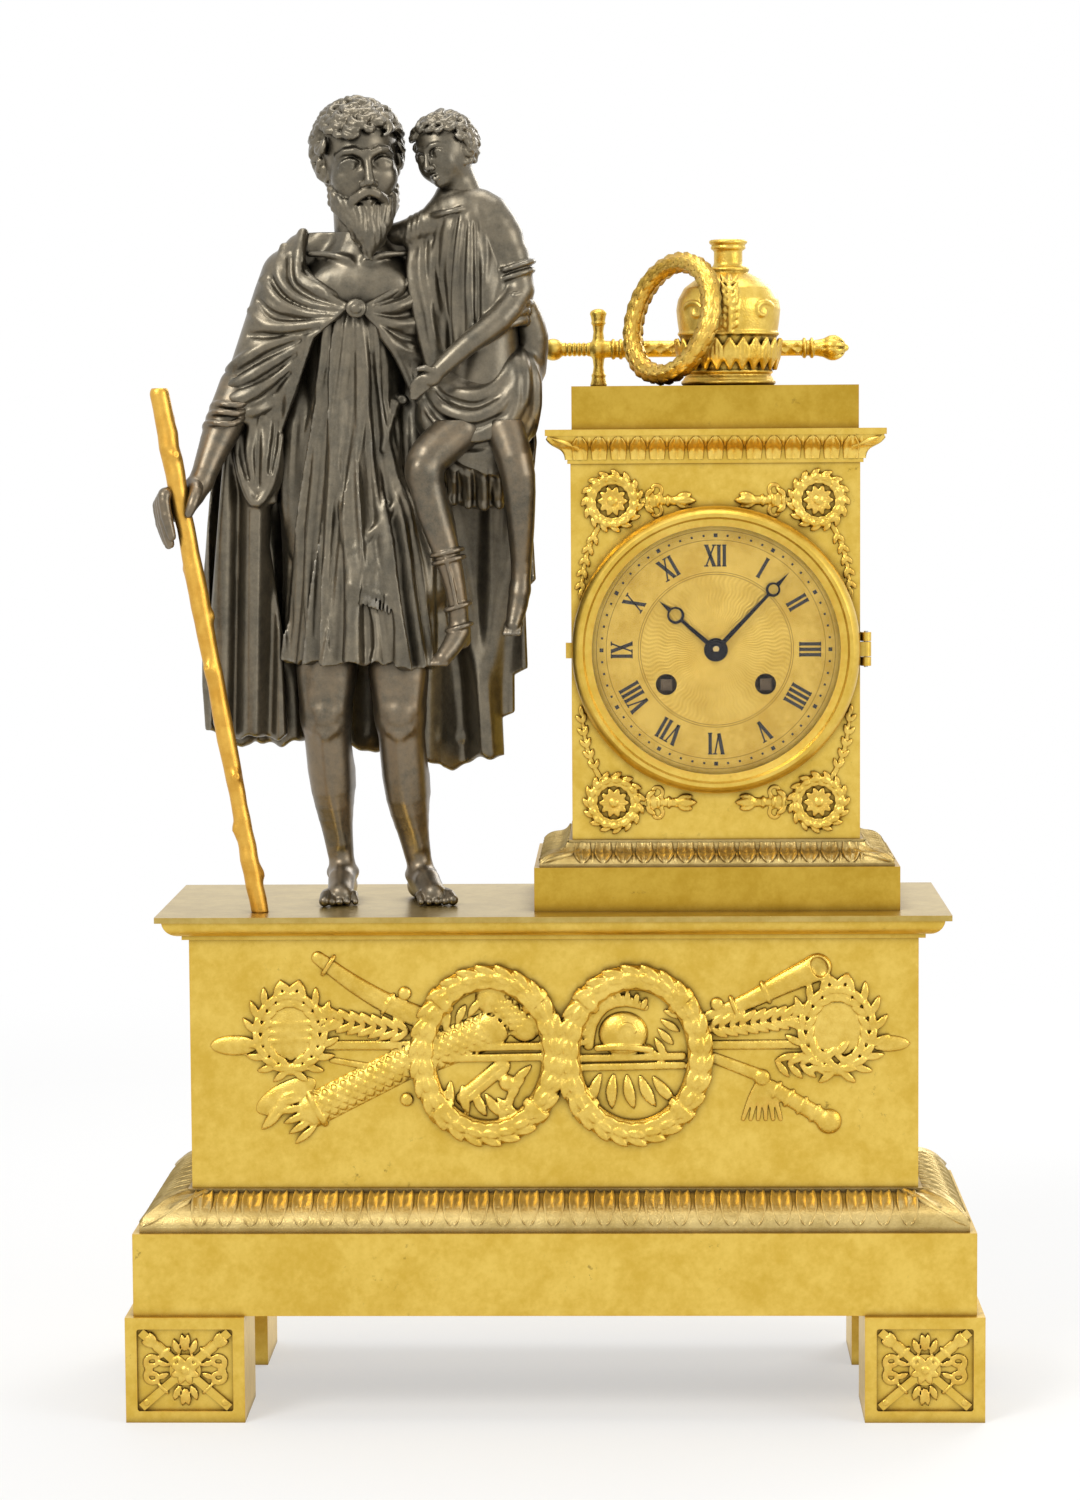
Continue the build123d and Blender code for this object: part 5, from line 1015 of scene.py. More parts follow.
def addLeg(clay, hip, knee, calf, ankle, toe, lean):
    hip, knee, calf, ankle, toe = (np.array(v, float) for v in (hip, knee, calf, ankle, toe))
    floor = legStyle["floor"]
    # Thigh, shin, muscles and ankle bones
    clay.flow([hip, (hip + knee) / 2 + (0, -1, 0), knee], 8, [12.4, 12, 9.8], 1)
    clay.flow([knee, calf + (0, -2.2, 0), (calf + ankle) / 2 + (0, 0.4, -2), ankle], 12,
        [9.4, 8.6, 6, 4.5], 3)
    for side in (-1, 1):
        clay.flow([knee + (side * 2.5, 3, -5), calf + (side * 2.5, 3, 3 - side),
            (calf + ankle) / 2 + (side * 0.7, 3.2, 1 - side)], 8, [4.4, 7.2, 3], 3)
        clay.strand([knee + (side * 5, -6, 4), knee + (side * 6.4, -3.4, 18)], [2.5, 3.6], 3)
        clay.lump(ankle + (side * 4.2, 1, -1.6), 2.1, 1.4)
    # Kneecap and shin bone
    clay.lump(knee + (0, -8, 1), (4.8, 3.2, 5.2), 2)
    clay.strand([knee + (-3.4, -7.2, -5), knee + (0, -8.4, -6.8), knee + (3.4, -7.2, -5)], 1.5, 2.4)
    clay.strand([knee + (0, -7.6, -8), calf + (0.4, -8.4, -4), ankle + (0, -3.9, 10)], [1.4, 1.4, 1.1], 3)
    # Heel, arch and toes
    heel = np.array((ankle[0] - 0.1 * (toe[0] - ankle[0]), ankle[1] + 7.5, floor + 4.6))
    clay.strand([ankle, heel], [4.2, 4.6], 3)
    clay.strand([ankle + (0, 5, 8), heel + (0, 0.6, 2)], [2.2, 2.8], 2.4)
    ball = ankle + (toe - ankle) * 0.72
    ball[2] = floor + 3.8
    clay.strand([ankle + (0, -1, -3), (ankle + ball) / 2 + (0, 0, 0.4), ball], [5, 5.2, 4.4], 3)
    clay.strand([heel, ball], [4.4, 4], 3)
    ahead = (toe - ankle) * (1, 1, 0)
    ahead /= np.linalg.norm(ahead)
    across = np.array((-ahead[1], ahead[0], 0)) * lean
    for i in range(5):
        u = (i - 1.9) / 2
        r = 2.3 if i == 0 else 1.75 - 0.08 * i
        start = ball + across * u * 5.2 + ahead * (0.6 - 0.25 * i)
        end = start + ahead * (6.6 - 0.75 * i) + across * u * 0.7
        start[2], end[2] = floor + 3.6, floor + r * 0.85
        middle = (start + end) / 2
        middle[2] = floor + r * 0.9 + 1.5
        clay.strand([start, middle, end], [r + 0.3, r, r * 0.95], 0.5)


def makeLegs():
    clay = Clay((-108, -28, 194.2), (-36, 22, 306), legStyle["voxel"])
    for row in legStyle["legs"]:
        addLeg(clay, *row)
    return clay.mesh("manLegs")


childStyle = dict(
    bodyVoxel=0.6, drapeVoxel=0.62, legVoxel=0.5,
    sleeveRidges=[
        (((-54, 453), (-55, 440), (-51, 420), (-47, 404)), 1.7),
        (((-50, 455), (-50.5, 440), (-47, 422), (-44, 406)), 1.6),
        (((-46.5, 457), (-46, 442), (-43.5, 424)), 1.4)],
    bunches=((-44, 1.7), (-39, 2.1), (-33, 1.6), (-27, 2.2), (-21, 1.7), (-15, 2.1), (-11, 1.6)),
    straps=(
        (333, 6.2, -40.6, -25.2), (330, 6, -39.8, -25.2), (312, 4.7, -36.4, -25.6), (304, 4.8, -36, -25.8)),
    robeRidges=[
        (((-38, 468), (-41, 450), (-42, 430), (-40, 408)), 1.9),
        (((-34, 466), (-36, 446), (-37, 424), (-34, 404)), 1.6),
        (((-31, 466), (-31, 446), (-31, 430), (-28, 412)), 1.8),
        (((-28, 467), (-25, 450), (-26, 436)), 1.5),
        (((-41, 465), (-45, 448), (-47, 428), (-46, 412)), 1.7),
        (((-24, 462), (-19, 444), (-20, 428)), 1.6)],
    robeGrooves=[
        ((-36, 462), (-39, 440), (-39, 412)), ((-32.5, 460), (-34, 440), (-34, 412)),
        ((-28.5, 460), (-28, 440), (-28, 420))],
    swags=[
        (((-50, 384), (-42, 374), (-28, 370), (-12, 376), (-6, 390)), 2.6),
        (((-51, 391), (-43, 381), (-30, 377), (-16, 382), (-9, 396)), 2.2),
        (((-50, 398), (-42, 389), (-30, 385), (-19, 390), (-11, 402)), 2.5),
        (((-48, 403), (-40, 397), (-30, 394), (-22, 397), (-14, 407)), 2),
        (((-22, 376), (-16, 384), (-13, 394), (-14, 406)), 1.8),
        (((-47, 378), (-38, 368), (-24, 364), (-13, 367)), 2.2),
        (((-8, 408), (-5.5, 398), (-6, 384), (-9, 372)), 2), (((-12, 412), (-9.5, 402), (-10, 390)), 1.6)],
    swagGrooves=[
        ((-50, 387), (-42, 377.5), (-29, 373.6), (-14, 379)),
        ((-50, 394.5), (-43, 385), (-30, 381), (-18, 386)),
        ((-48, 401), (-41, 393), (-30, 389.6), (-21, 393)), ((-46, 374), (-36, 365.4), (-22, 361))])


def makeChildBody():
    clay = Clay((-74, -40, 392), (0, 20, 476), childStyle["bodyVoxel"])
    clay.flow([(-37, -5, 470), (-33, -6, 456), (-28, -8, 436), (-26, -8, 414), (-26, -8, 400)], 9,
        [8, 12.5, 13, 13.5, 14], 1)
    clay.flow([(-42, -7, 464), (-34, -8, 466), (-25, -9, 464), (-18, -10, 456)], 8, [6.4, 8, 8.4, 7], 4)
    # Arm laid round the neck
    clay.flow([(-41, -6, 464), (-49, -7, 459.5), (-57, -4, 457), (-63, 3, 456.5)], 9,
        [6.6, 5.6, 4.9, 4.2], 2.5)
    clay.flow([(-63, 3, 456.5), (-67, 8, 457), (-71, 12, 456.5)], 5, [4, 3.4, 2.6], 1)
    for k in range(3):
        clay.strand(ringPoints((-51 - 2.1 * k, -6.2 + 0.6 * k, 459 - 0.7 * k), (0.9, 0, 5.7 - 0.2 * k),
            (0, 5.8 - 0.2 * k, 0), 16), 1, 0.8)
    # Hanging sleeve and folds of the robe
    clay.flow([(-50, -3, 455), (-50, -4, 440), (-47, -5, 420), (-43, -6, 404)], 9, [5, 7.4, 7.4, 6.4], 3)
    clay.lump((-44.5, -7, 446), (4.4, 4.4, 8), 2)
    for path, r in childStyle["robeRidges"]:
        clay.lay(path, [0.8, r, r], 1.3)
    for path in childStyle["robeGrooves"]:
        clay.lay(path, [0.6, 1.3, 1.3], 1.2, carve=True, sink=-0.1)
    for path, r in childStyle["sleeveRidges"]:
        clay.lay(path, [0.8, r, r], 1.2)
    clay.strand([(-45 + 15 * t, -13 - 5 * sin(pi * t), 463 + 3 * t)
        for t in np.linspace(0, 1, 9)], 1.2, 0.8)
    # Arm and hand that reach down across the lap
    clay.flow([(-22, -10, 459), (-15, -11, 448), (-12, -13, 434)], 7, [7, 6.6, 5.6], 2.5)
    clay.flow([(-12, -13, 434), (-18, -20, 424), (-33, -26, 412), (-44, -28, 402)], 9,
        [5.4, 5.2, 4.2, 3.2], 1.5)
    for z, r in ((443, 7.2), (439.6, 7)):  # short sleeve
        clay.strand(ringPoints((-13.8, -11.8, z), (r, 0, 2.2), (0, r, 0), 16), 1.1, 0.8)
    clay.lump((-46, -28, 400), (4.2, 2.8, 3.2), 1.4)
    for k in range(4):
        clay.flow([(-47, -28.6 + 0.3 * k, 401.6 - 1.5 * k), (-51, -29 + 0.3 * k, 399.6 - 1.9 * k),
            (-53.4, -27.6, 397 - 1.9 * k)], 6, [1.3, 1.2, 1], 0.4)
    clay.strand([(-44.6, -30, 402.6), (-48, -31, 404), (-50.6, -30.4, 403.6)], [1.5, 1.3, 1], 0.5)
    return clay.mesh("childBody")


def makeChildDrape():
    clay = Clay((-60, -34, 346), (2, 12, 440), childStyle["drapeVoxel"])
    clay.lump((-29, -9, 386), (24.5, 16.5, 19), 1)
    clay.lump((-15, -9, 397), (11.5, 13, 15), 4)
    clay.lump((-30, -8, 368), (19, 13, 10), 4)
    clay.lump((-28, -4, 362), (17, 11, 13), 3)
    for path, r in childStyle["swags"]:
        clay.lay(path, [1, r, r, 1], 1.5)
    for path in childStyle["swagGrooves"]:
        clay.lay(path, [0.6, 1.5, 1.5, 0.6], 1.4, carve=True, sink=-0.1)
    # Hand that steadies the child, and the cloth bunched beside it
    clay.flow([(-9, -2, 404), (-7.5, -4, 416), (-10, -8, 427)], 7, [7, 6.4, 5], 3)
    for k in range(4):
        clay.flow([(-9 - 0.5 * k, -8, 432 - 3.4 * k), (-9 - 0.5 * k, -15, 433 - 3.5 * k),
            (-14 - 0.5 * k, -20, 431.6 - 3.6 * k)], 7, [2.3, 2.1, 1.7], 0.5)
    for x, r in childStyle["bunches"]:
        clay.lay(((x, 366), (x + 0.8, 360), (x + 0.4, 351)), [0.8, r * 1.2, r * 1.2], 1, count=8)
        clay.lay(((x + 2.6, 365), (x + 3.2, 359), (x + 2.8, 350)), [0.5, 1, 1.2], 0.8,
            carve=True, sink=-0.1, count=8)
    return clay.mesh("childDrape")


def makeChildLegs():
    clay = Clay((-60, -42, 284), (-3, -2, 384), childStyle["legVoxel"])
    clay.flow([(-36, -18, 380), (-47, -24, 370), (-49, -26, 364)], 7, [9, 8, 7.2], 1)
    clay.flow([(-49, -26, 364), (-46, -26, 350), (-41, -26, 334), (-37, -26, 318), (-36, -25, 305)], 12,
        [6.9, 6.6, 5.4, 4, 3.7], 2)
    clay.flow([(-45, -23, 356), (-42, -21.6, 345), (-39, -22, 332)], 8, [4, 4.6, 3], 2.4)
    clay.lump((-50.5, -31, 365), (3.4, 3, 4.2), 2)
    clay.strand([(-36, -24, 305), (-35, -22.6, 299)], [3.7, 3.6], 1.5)
    clay.flow([(-36, -26, 302), (-38.6, -30, 297), (-42, -34, 292.6)], 6, [4.4, 4, 3], 2)
    for z, r, x, y in childStyle["straps"]:  # of the sandal
        clay.strand(ringPoints((x, y, z), (r, 0, 1.4), (0, r, 0)), 0.95, 0.4)
    clay.flow([(-40.6, -31.2, 331), (-38.4, -30.6, 322), (-36.6, -30.6, 312)], 6, 0.8, 0.4)
    clay.flow([(-18, -18, 380), (-13, -23, 364), (-12, -20, 346), (-12, -15, 328), (-12.6, -16, 318)], 12,
        [8, 6.8, 5.6, 4, 3.8], 1)
    clay.flow([(-12.6, -15, 318), (-13.6, -20, 311), (-15, -24.4, 304.6)], 6, [4.2, 4, 2.8], 1.6)
    for u in (-1, -0.5, 0, 0.5, 1):  # toes of both feet
        clay.strand([(-41.6 + u * 2.6, -33.4 + abs(u) * 0.8, 293),
            (-43.4 + u * 2.7, -35.8 + abs(u), 290.4)], [1.35, 1.05], 0.4)
        clay.strand([(-14.8 + u * 2.5, -24 + abs(u) * 0.8, 305),
            (-15.6 + u * 2.7, -26.6 + abs(u), 301.4)], [1.3, 1], 0.4)
    return clay.mesh("childLegs")


figurePieces = (
    (makeManHead, "bronzeDark", "man_head"), (makeTunic, "bronzeDark", "man_tunic"),
    (makeCloak, "bronzeDark", "man_cloak"), (makeArm, "bronzeWorn", "man_right_arm"),
    (makeLegs, "bronzeWorn", "man_legs"), (makeChildHead, "bronzeDark", "child_head"),
    (makeChildBody, "bronzeDark", "child_torso"), (makeChildDrape, "bronzeDark", "child_drape"),
    (makeChildLegs, "bronzeWorn", "child_legs"))
for maker, finishName, node in figurePieces:
    piece = addPiece(maker(), finishName, stands=(node,))
    print("figure:", piece.name, len(piece.data.polygons), "faces")


# Cast ornament in low relief: sculpted with the depth doubled, then pressed flat

def pressed(spot, turn=0, mirrored=False, upturned=False, depth=0.5):
    # Local x, depth and z of a relief set on an upright face turned about z
    place = placed(turn, 0, 0, spot)
    place[:3, :3] = place[:3, :3] @ np.diag((-1 if mirrored else 1, depth, -1 if upturned else 1))
    return place


def joined(name, parts, smooth=True):
    # One object from several sets of points (mm) and faces
    points, faces, count = [], [], 0
    for p, f in parts:
        points.append(p)
        faces.append(np.array(f) + count)
        count += len(p)
    return meshFrom(name, np.concatenate(points) * mm, np.concatenate(faces), smooth)


def leafOn(clay, x, z, angle, length, wide, lift, bend=0):
    # Pointed leaf with a vein, drawn from its stem
    t = np.linspace(0, 1, 7)
    turn = angle + bend * t
    step = length / 6
    xs = x + np.concatenate(([0], np.cumsum(np.cos(turn[:-1]) * step)))
    zs = z + np.concatenate(([0], np.cumsum(np.sin(turn[:-1]) * step)))
    ys = -lift - 1.4 * np.sin(pi * t)
    run = np.stack((xs, ys, zs), 1)
    clay.strand(run, [wide * 0.35, wide * 0.85, wide, wide * 0.8, wide * 0.15], 0.35)
    clay.strand(run[1:-1] + (0, -wide * 0.92, 0), [0.3, 0.42, 0.2], 0.3, carve=True)


def rope(clay, cx, cz, rx, rz, count, length, wide, lift, first=0, last=360, flow=1, splay=0.62, apart=0):
    # Laurel: leaves in threes along an oval
    for a in np.radians(np.linspace(first, last, count, endpoint=abs(last - first) < 359)):
        x, z = cx + rx * cos(a), cz + rz * sin(a)
        along = atan2(rz * cos(a), -rx * sin(a)) + (0 if flow > 0 else pi)
        for side, up in ((-1, 0), (1, 0), (0, 0.9)):
            shift = side * apart
            reach = length * (1 if side else 0.9)
            leafOn(clay, x - shift * sin(along), z + shift * cos(along), along + side * splay,
                reach, wide, lift + up)


def quiver(clay, a, b, half, pitch, sunk):
    # Round quiver with crossed grooves
    tube(clay, (a, b), half, -sunk)
    a, b = np.array(a, float), np.array(b, float)
    long = np.linalg.norm(b - a)
    d = (b - a) / long
    n = np.array((-d[1], d[0]))
    for start in np.arange(-half, long + half, pitch):
        for lean in (-1, 1):
            run = []
            for v in np.linspace(-0.93, 0.93, 7):
                u = start + lean * v * half * 0.9
                if 1 < u < long - 1:
                    p = a + d * u + n * v * half
                    run.append((p[0], sunk - half * sqrt(1 - v * v), p[1]))
            if len(run) > 1:
                clay.strand(run, 0.62, 0.25, carve=True)


def tube(clay, run, radii, lift=0, soft=0.5, count=9):
    # Rod or horn through (x, z) places
    clay.flow(atDepth(run, -lift), count, radii, soft)


def band(clay, x, z, dx, dz, bulge, thick=0.8, end=0.95, lift=0):
    # Raised band across a rounded form
    run = [(x + dx * t, -bulge * sqrt(1 - t * t) - lift, z + dz * t) for t in np.linspace(-end, end, 7)]
    clay.strand(run, thick, 0.3)


def scroll(x, z, rx, rz, wind, turns, count):
    # Places (x, z) along a volute that winds inwards
    return [(x + rx * cos(t) * (1 - wind * t), z + rz * sin(t) * (1 - wind * t))
        for t in np.linspace(*turns, count)]


def fan(clay, count, x, dx, z, dz, angle, step, length, wide, lift, bend=0):
    # Row of leaves, each a step further along and round
    for k in range(count):
        leafOn(clay, x + dx * k, z + dz * k, radians(angle + step * k), length, wide, lift, bend)


def crown(clay, x, z, rx, rz, length, wide):
    # Two branches that rise from the foot of an oval
    for first, last, flow in ((-88, 84, 1), (268, 96, -1)):
        rope(clay, x, z, rx, rz, 9, length, wide, 1.4, first, last, flow, 0.7, 0.4)


def spray(clay, count, x, dx, z, rise, angle, splay, length=8.6, lift=1.2, step=0):
    # Leaves in pairs along a stem that rises by the given powers of the count
    for k in range(count):
        for side in (-1, 1):
            leafOn(clay, x + dx * k, z + rise[0] * k + rise[1] * k * k,
                radians(angle + step * k + side * splay), length, 1.5, lift + 0.3 * (k % 2))


reliefStyle = dict(
    voxel=0.5, face=-41, middle=138.8, rings=(-25.3, 31.1), ring=(25.6, 30.2), leaves=26, most=192000)


def makeRelief():
    style = reliefStyle
    clay = Clay((-137, -13.5, 99), (139, 1.2, 183), style["voxel"])
    cz, (rx, rz) = style["middle"], style["ring"]
    # Trophy on the left: spear, horn, wing, feathered quiver, laurel crown and spray
    tube(clay, ((-126, 142.8), (-52, 142.8)), 2, 0.4)
    clay.lump((-123.5, -0.6, 142.8), (9.5, 3, 3.9), 0.5)
    clay.strand([(-133, -1.4, 142.8), (-114, -3.6, 142.8)], [0.3, 0.9], 0.4)
    tube(clay, ((-54, 154.5), (-66, 160), (-79, 168), (-91, 177)), [4.4, 4, 3.4, 2.6], 0)
    clay.flow([(-58, -4.2, 157), (-68, -4, 162), (-80, -3.4, 169.4)], 6, [0.5, 0.6, 0.3], 0.3, carve=True)
    for x, z in ((-64, 159), (-87, 174)):
        band(clay, x, z, 2.4, 3.7, 4.2)
    clay.lump((-104, 0, 123), (13, 3.2, 5.4), 0.6, turn=turned(0, 0, -28))
    fan(clay, 5, -97, -2, 124.5, -1.6, 196, 7, 12, 2, 1.2)
    quiver(clay, (-52, 138.6), (-94.2, 117), 6.8, 4, 1.2)
    clay.strand([(-92 + 3.2 * t, -5.4 * sqrt(1 - t * t), 118.2 - 6.2 * t)
        for t in np.linspace(-0.98, 0.98, 9)], 1.3, 0.4)
    fan(clay, 5, -97.6, 1.3, 121.8, -2.6, 185, 9, 11, 1.6, 2)
    clay.lump((-102, 0, 148), (10.5, 3.4, 11.5), 0.6)
    crown(clay, -102, 148, 12.6, 14, 8.2, 1.5)
    clay.lump((-102, -1, 133.6), (3.2, 3.4, 2.6), 0.5)
    for z in (144.4, 147.6, 151):  # lines of cloth seen through the crown
        tube(clay, ((-110.5, z), (-93.5, z + 0.8)), 0.9, 2.6)
    spray(clay, 8, -56, -4.2, 148, (0.7, 0), 172, 34)
    tube(clay, ((-60, 132.5), (-72, 134.5), (-86, 137)), [1.6, 1.4, 1.2], 0.4)
    # Trophy on the right: spear, trumpet, laurel crown, sprays, torch and tassel
    tube(clay, ((58, 142.6), (126, 142.8)), 1.9, 0.4)
    clay.lump((129, -0.4, 143), (8.5, 2.6, 3.2), 0.5)
    clay.strand([(138, -1.2, 143), (122, -3, 143)], [0.3, 0.8], 0.4)
    tube(clay, ((60, 153.8), (74, 159), (90, 167), (102, 172.6)), [2.2, 3.2, 4.4, 5.6], 0.2)
    clay.lump((102.6, -3.4, 173), (3.4, 3.4, 4.2), 0.4, carve=True, turn=turned(0, 0, -26))
    for u, z in ((70, 157.4), (82, 163)):
        band(clay, u, z, -1.6, 3.9, 3.9, 0.9)
    clay.lump((109.5, 0, 149), (11.5, 3.2, 11.5), 0.6)
    crown(clay, 109.6, 148.6, 13.4, 15.2, 8.6, 1.55)
    clay.lump((109.6, -1, 133), (3.2, 3.4, 2.6), 0.5)
    spray(clay, 9, 60, 4, 149.4, (0.5, 0), 8, 34)
    spray(clay, 6, 86, 4.6, 136.5, (-1.4, 0.35), -16, 36, 8.4, 1.4, 6)
    tube(clay, ((84, 126), (104, 114)), [3, 3.4], 0.2)
    clay.lump((106.4, -0.4, 112.6), (4.9, 5, 4.9), 0.5)
    for share in (0.1, 0.35, 0.6, 0.85):
        x, z = 84 + 20 * share, 126 - 12 * share
        band(clay, x, z, 1.8, 3, 3.3)
    tube(clay, ((62, 137.5), (80, 130.5)), [2.2, 2.6], 0.3)
    for k in range(6):
        tube(clay, ((80.5, 129.5), (79 + 1.8 * (k - 1.5), 122),
            (77.6 + 2.9 * (k - 1.5), 113.5)), [1.5, 1.1, 0.8], 0.8)
    clay.lump((80.6, -1.4, 129.8), 3.2, 0.4)
    # Inside the left ring: two hatched quivers, a short blade, shafts and leaves
    quiver(clay, (-49, 139), (-24, 149), 7.6, 3.8, 1.6)
    quiver(clay, (-24, 161), (-11, 150), 6.4, 3.6, 1)
    tube(clay, ((-35, 122), (-20, 134.5)), [3.2, 3.4], 0.4)  # short blade
    clay.strand([(-35, -3.4, 122), (-20, -3.6, 134.5)], 0.5, 0.3, carve=True)
    for z in (141.8, 137.6):
        tube(clay, ((-45, z), (-4, z + 0.6)), 1.6, 2.4)
    fan(clay, 5, -40, 4.6, 128, -1.6, 262, 13, 11, 2.1, 1, 0.3)
    fan(clay, 5, -9, -2.2, 134.5, -3.4, 226, 7, 9.5, 1.8, 0.9, -0.25)
    clay.lump((-18, -1, 128), (3.4, 4.2, 3.4), 0.5)
    fan(clay, 4, -42, 4.6, 148, 3, 84, -12, 8.5, 1.7, 0.9, -0.3)
    # Inside the right ring: crested helmet with a volute, shafts and palm leaves
    clay.lump((27, 0, 147), (9.6, 8, 8.8), 0.8)
    clay.flow([(17, -3, 141.6), (27, -7.6, 142.4), (37.6, -3, 141)], 9, 1.3, 0.4)
    tube(clay, ((36.5, 141), (41, 137.6), (44, 137.8)), [2, 1.4, 0.8], 1.4)
    crest = [(13.5, 143), (14.2, 151), (19.5, 158.4), (28, 160.2), (35.5, 157.4)]
    tube(clay, crest, [2.4, 3, 3, 2.6, 1.4], 1.2)
    for k in range(11):
        a = radians(190 - 14 * k)
        leafOn(clay, 26.5 + 12 * cos(a), 147.4 + 12 * sin(a), a + 0.3, 5.2, 1.2, 2.2)
    clay.strand(atDepth(scroll(28, 148.5, 3.4, 3.4, 0.12, (0, 5.6), 14), -7.4), 0.8, 0.3)
    for z in (137.6, 134):
        tube(clay, ((10.5, z), (50, z + 0.8)), 1.5, 2.2)
    fan(clay, 5, 18, 5.2, 131, -0.3, 244, 15, 13, 2.3, 1, 0.35)
    fan(clay, 4, 43, -1.2, 156, -3.6, -18, -14, 8.5, 1.6, 1.2)
    # Two laurel rings side by side, the right one standing a little further out
    for cx, lift in zip(style["rings"], (2.2, 3.2)):
        clay.strand(ringPoints((cx, -lift, cz), (rx, 0, 0), (0, 0, rz), 73), 4.9, 0.5)
        rope(clay, cx, cz, rx, rz, style["leaves"], 9.2, 1.8, 2.6 + lift, splay=0.22, apart=1.9)
        for a in np.radians((45, 135, 225, 315)):  # ribbon ties
            for off in (-0.035, 0, 0.035):
                c, s = cos(a + off), sin(a + off)
                band(clay, cx + rx * c, cz + rz * s, 5 * c, 5 * s, 4.8, 0.95, 0.98, lift + 0.8)
    for x, z in ((-57.5, 163), (63.2, 158.5), (-57, 121.5)):  # knots beside the rings
        clay.lump((x, -1.6, z), 2.6, 0.4)
    return thinned(joined("plinthTrophy", [clay.skin(pressed((0, style["face"], 0)), 0.3)]), style["most"])


footStyle = dict(
    voxel=0.62,
    faces=[
        (-142, -63.2, 0, 37), (142, -63.2, 0, 37), (142, 63.2, 180, 37), (-142, 63.2, 180, 37),
        (163.2, -45, 90, 31), (163.2, 45, 90, 31), (-163.2, -45, -90, 31), (-163.2, 45, -90, 31)],
    middle=20.5)


def footRelief(wide):
    # Crossed torches with a rosette and leaf scrolls in the four fields
    half, tall = wide / 2 - 1.2, 14.6
    clay = Clay((-wide / 2, -6.5, -16.4), (wide / 2, 1.2, 16.4), footStyle["voxel"])
    for side in (-1, 1):
        torch = ((-side * half * 0.82, -tall * 0.82), (side * half * 0.62, tall * 0.62))
        tube(clay, torch, [1.2, 2.3], 0.5)
        for share in (-0.5, 0.25, 0.45):
            x, z = side * half * share, tall * share
            band(clay, x, z, -side * 1.9, 1.9, 2.4, 0.7, lift=0.4)
        for k in (-1, 0, 1):  # flame
            leafOn(clay, side * half * 0.64, tall * 0.64, atan2(tall, side * half) + 0.4 * k, 6.2, 1.5, 0.9)
        leafOn(clay, -side * half * 0.8, -tall * 0.8, atan2(-tall, -side * half), 3.4, 1.4, 0.7)
        for up in (-1, 1):
            swirl = scroll(side * half * 0.72, up * 2.9, side * 2.9, up * 2.7, 0.11, (-1.2, 5.2), 14)
            clay.strand(atDepth(swirl, -0.9), [1.2, 1.1, 0.9], 0.3)
            leafOn(clay, side * half * 0.36, up * 1.4, atan2(up * 2, side * 5), 5.5, 1.2, 0.7)
            leafOn(clay, side * 1.8, up * tall * 0.42, radians(90 * up) - side * up * 0.6, 6.6,
                1.4, 0.8, side * up * 0.5)
            leafOn(clay, side * 0.4, up * tall * 0.5, radians(90 * up) - side * up * 0.12, 7.2, 1.2, 1.2)
    for k in range(8):
        a = k * pi / 4 + 0.39
        leafOn(clay, 1.4 * cos(a), 1.4 * sin(a), a, 4.6, 1.35, 1.9)
    clay.lump((0, -3.6, 0), 1.7, 0.3)
    return clay


def makeFeet():
    shared = {wide: footRelief(wide) for wide in (37, 31)}
    panels = []
    for x, y, turn, wide in footStyle["faces"]:
        panels.append(shared[wide].skin(pressed((x, y, footStyle["middle"]), turn), 0.3))
    return joined("footPanels", panels)


spandrelStyle = dict(voxel=0.5, face=-22, middle=63.5, across=39.8, low=235, high=352.3, ring=8.8)


def makeSpandrels():
    style = spandrelStyle
    clay = Clay((-16, -6.6, -40), (34, 1.2, 13.5), style["voxel"])
    ring = style["ring"]
    clay.strand(ringPoints((0, -0.2, 0), (ring, 0, 0), (0, 0, ring), 49), 2.2, 0.4)
    rope(clay, 0, 0, ring, ring, 15, 4.9, 1.15, 1.5, splay=0.4, apart=0.8)
    for k in range(10):
        a = k * pi / 5
        leafOn(clay, 1.6 * cos(a), 1.6 * sin(a), a, 4.6, 1.2, 1)
    clay.lump((0, -2.2, 0), 1.9, 0.3)
    # Winged torch that points along the edge to the middle of the case
    tube(clay, ((11, 0), (24.5, 0)), [1.3, 1.9], 0.2)
    for x in (13.5, 17.5, 21.5):
        band(clay, x, 0, 0, 2, 2, 0.65, 0.97, 0.3)
    for up in (-1, 1):
        leafOn(clay, 24.5, up * 0.6, up * 0.5, 6.6, 1.5, 0.6, -0.5 * up)
        leafOn(clay, 12.4, up * 1.2, up, 5.6, 1.1, 0.5, -0.7 * up)
        swirl = scroll(16.8, up * 4.2, 2.3, up * 2.3, 0.1, (-2.4, 3.6), 12)
        clay.strand(atDepth(swirl, -0.5), [0.9, 0.8, 0.7], 0.3)
    leafOn(clay, 24, 0, 0, 8.4, 1.8, 1)
    stem = [(-5.5, -10), (-9, -17), (-11.2, -26), (-12.2, -35)]  # sprig down the edge of the case
    tube(clay, stem, [1.2, 1, 0.7], 0.3)
    for x, z in smoothRun(atDepth(stem, 0), 7)[1:-1, ::2]:
        for side in (-1, 1):
            leafOn(clay, x, z, radians(-104) + side * 0.5, 4.6, 0.95, 0.5)
    leafOn(clay, -12.2, -33.6, radians(-96), 4.8, 1.1, 0.6)
    parts = []
    for side in (-1, 1):
        for z in (style["low"], style["high"]):
            spot = (style["middle"] + side * style["across"], style["face"], z)
            parts.append(clay.skin(pressed(spot, 0, side > 0, z == style["low"]), 0.3))
    return joined("spandrelRosettes", parts)


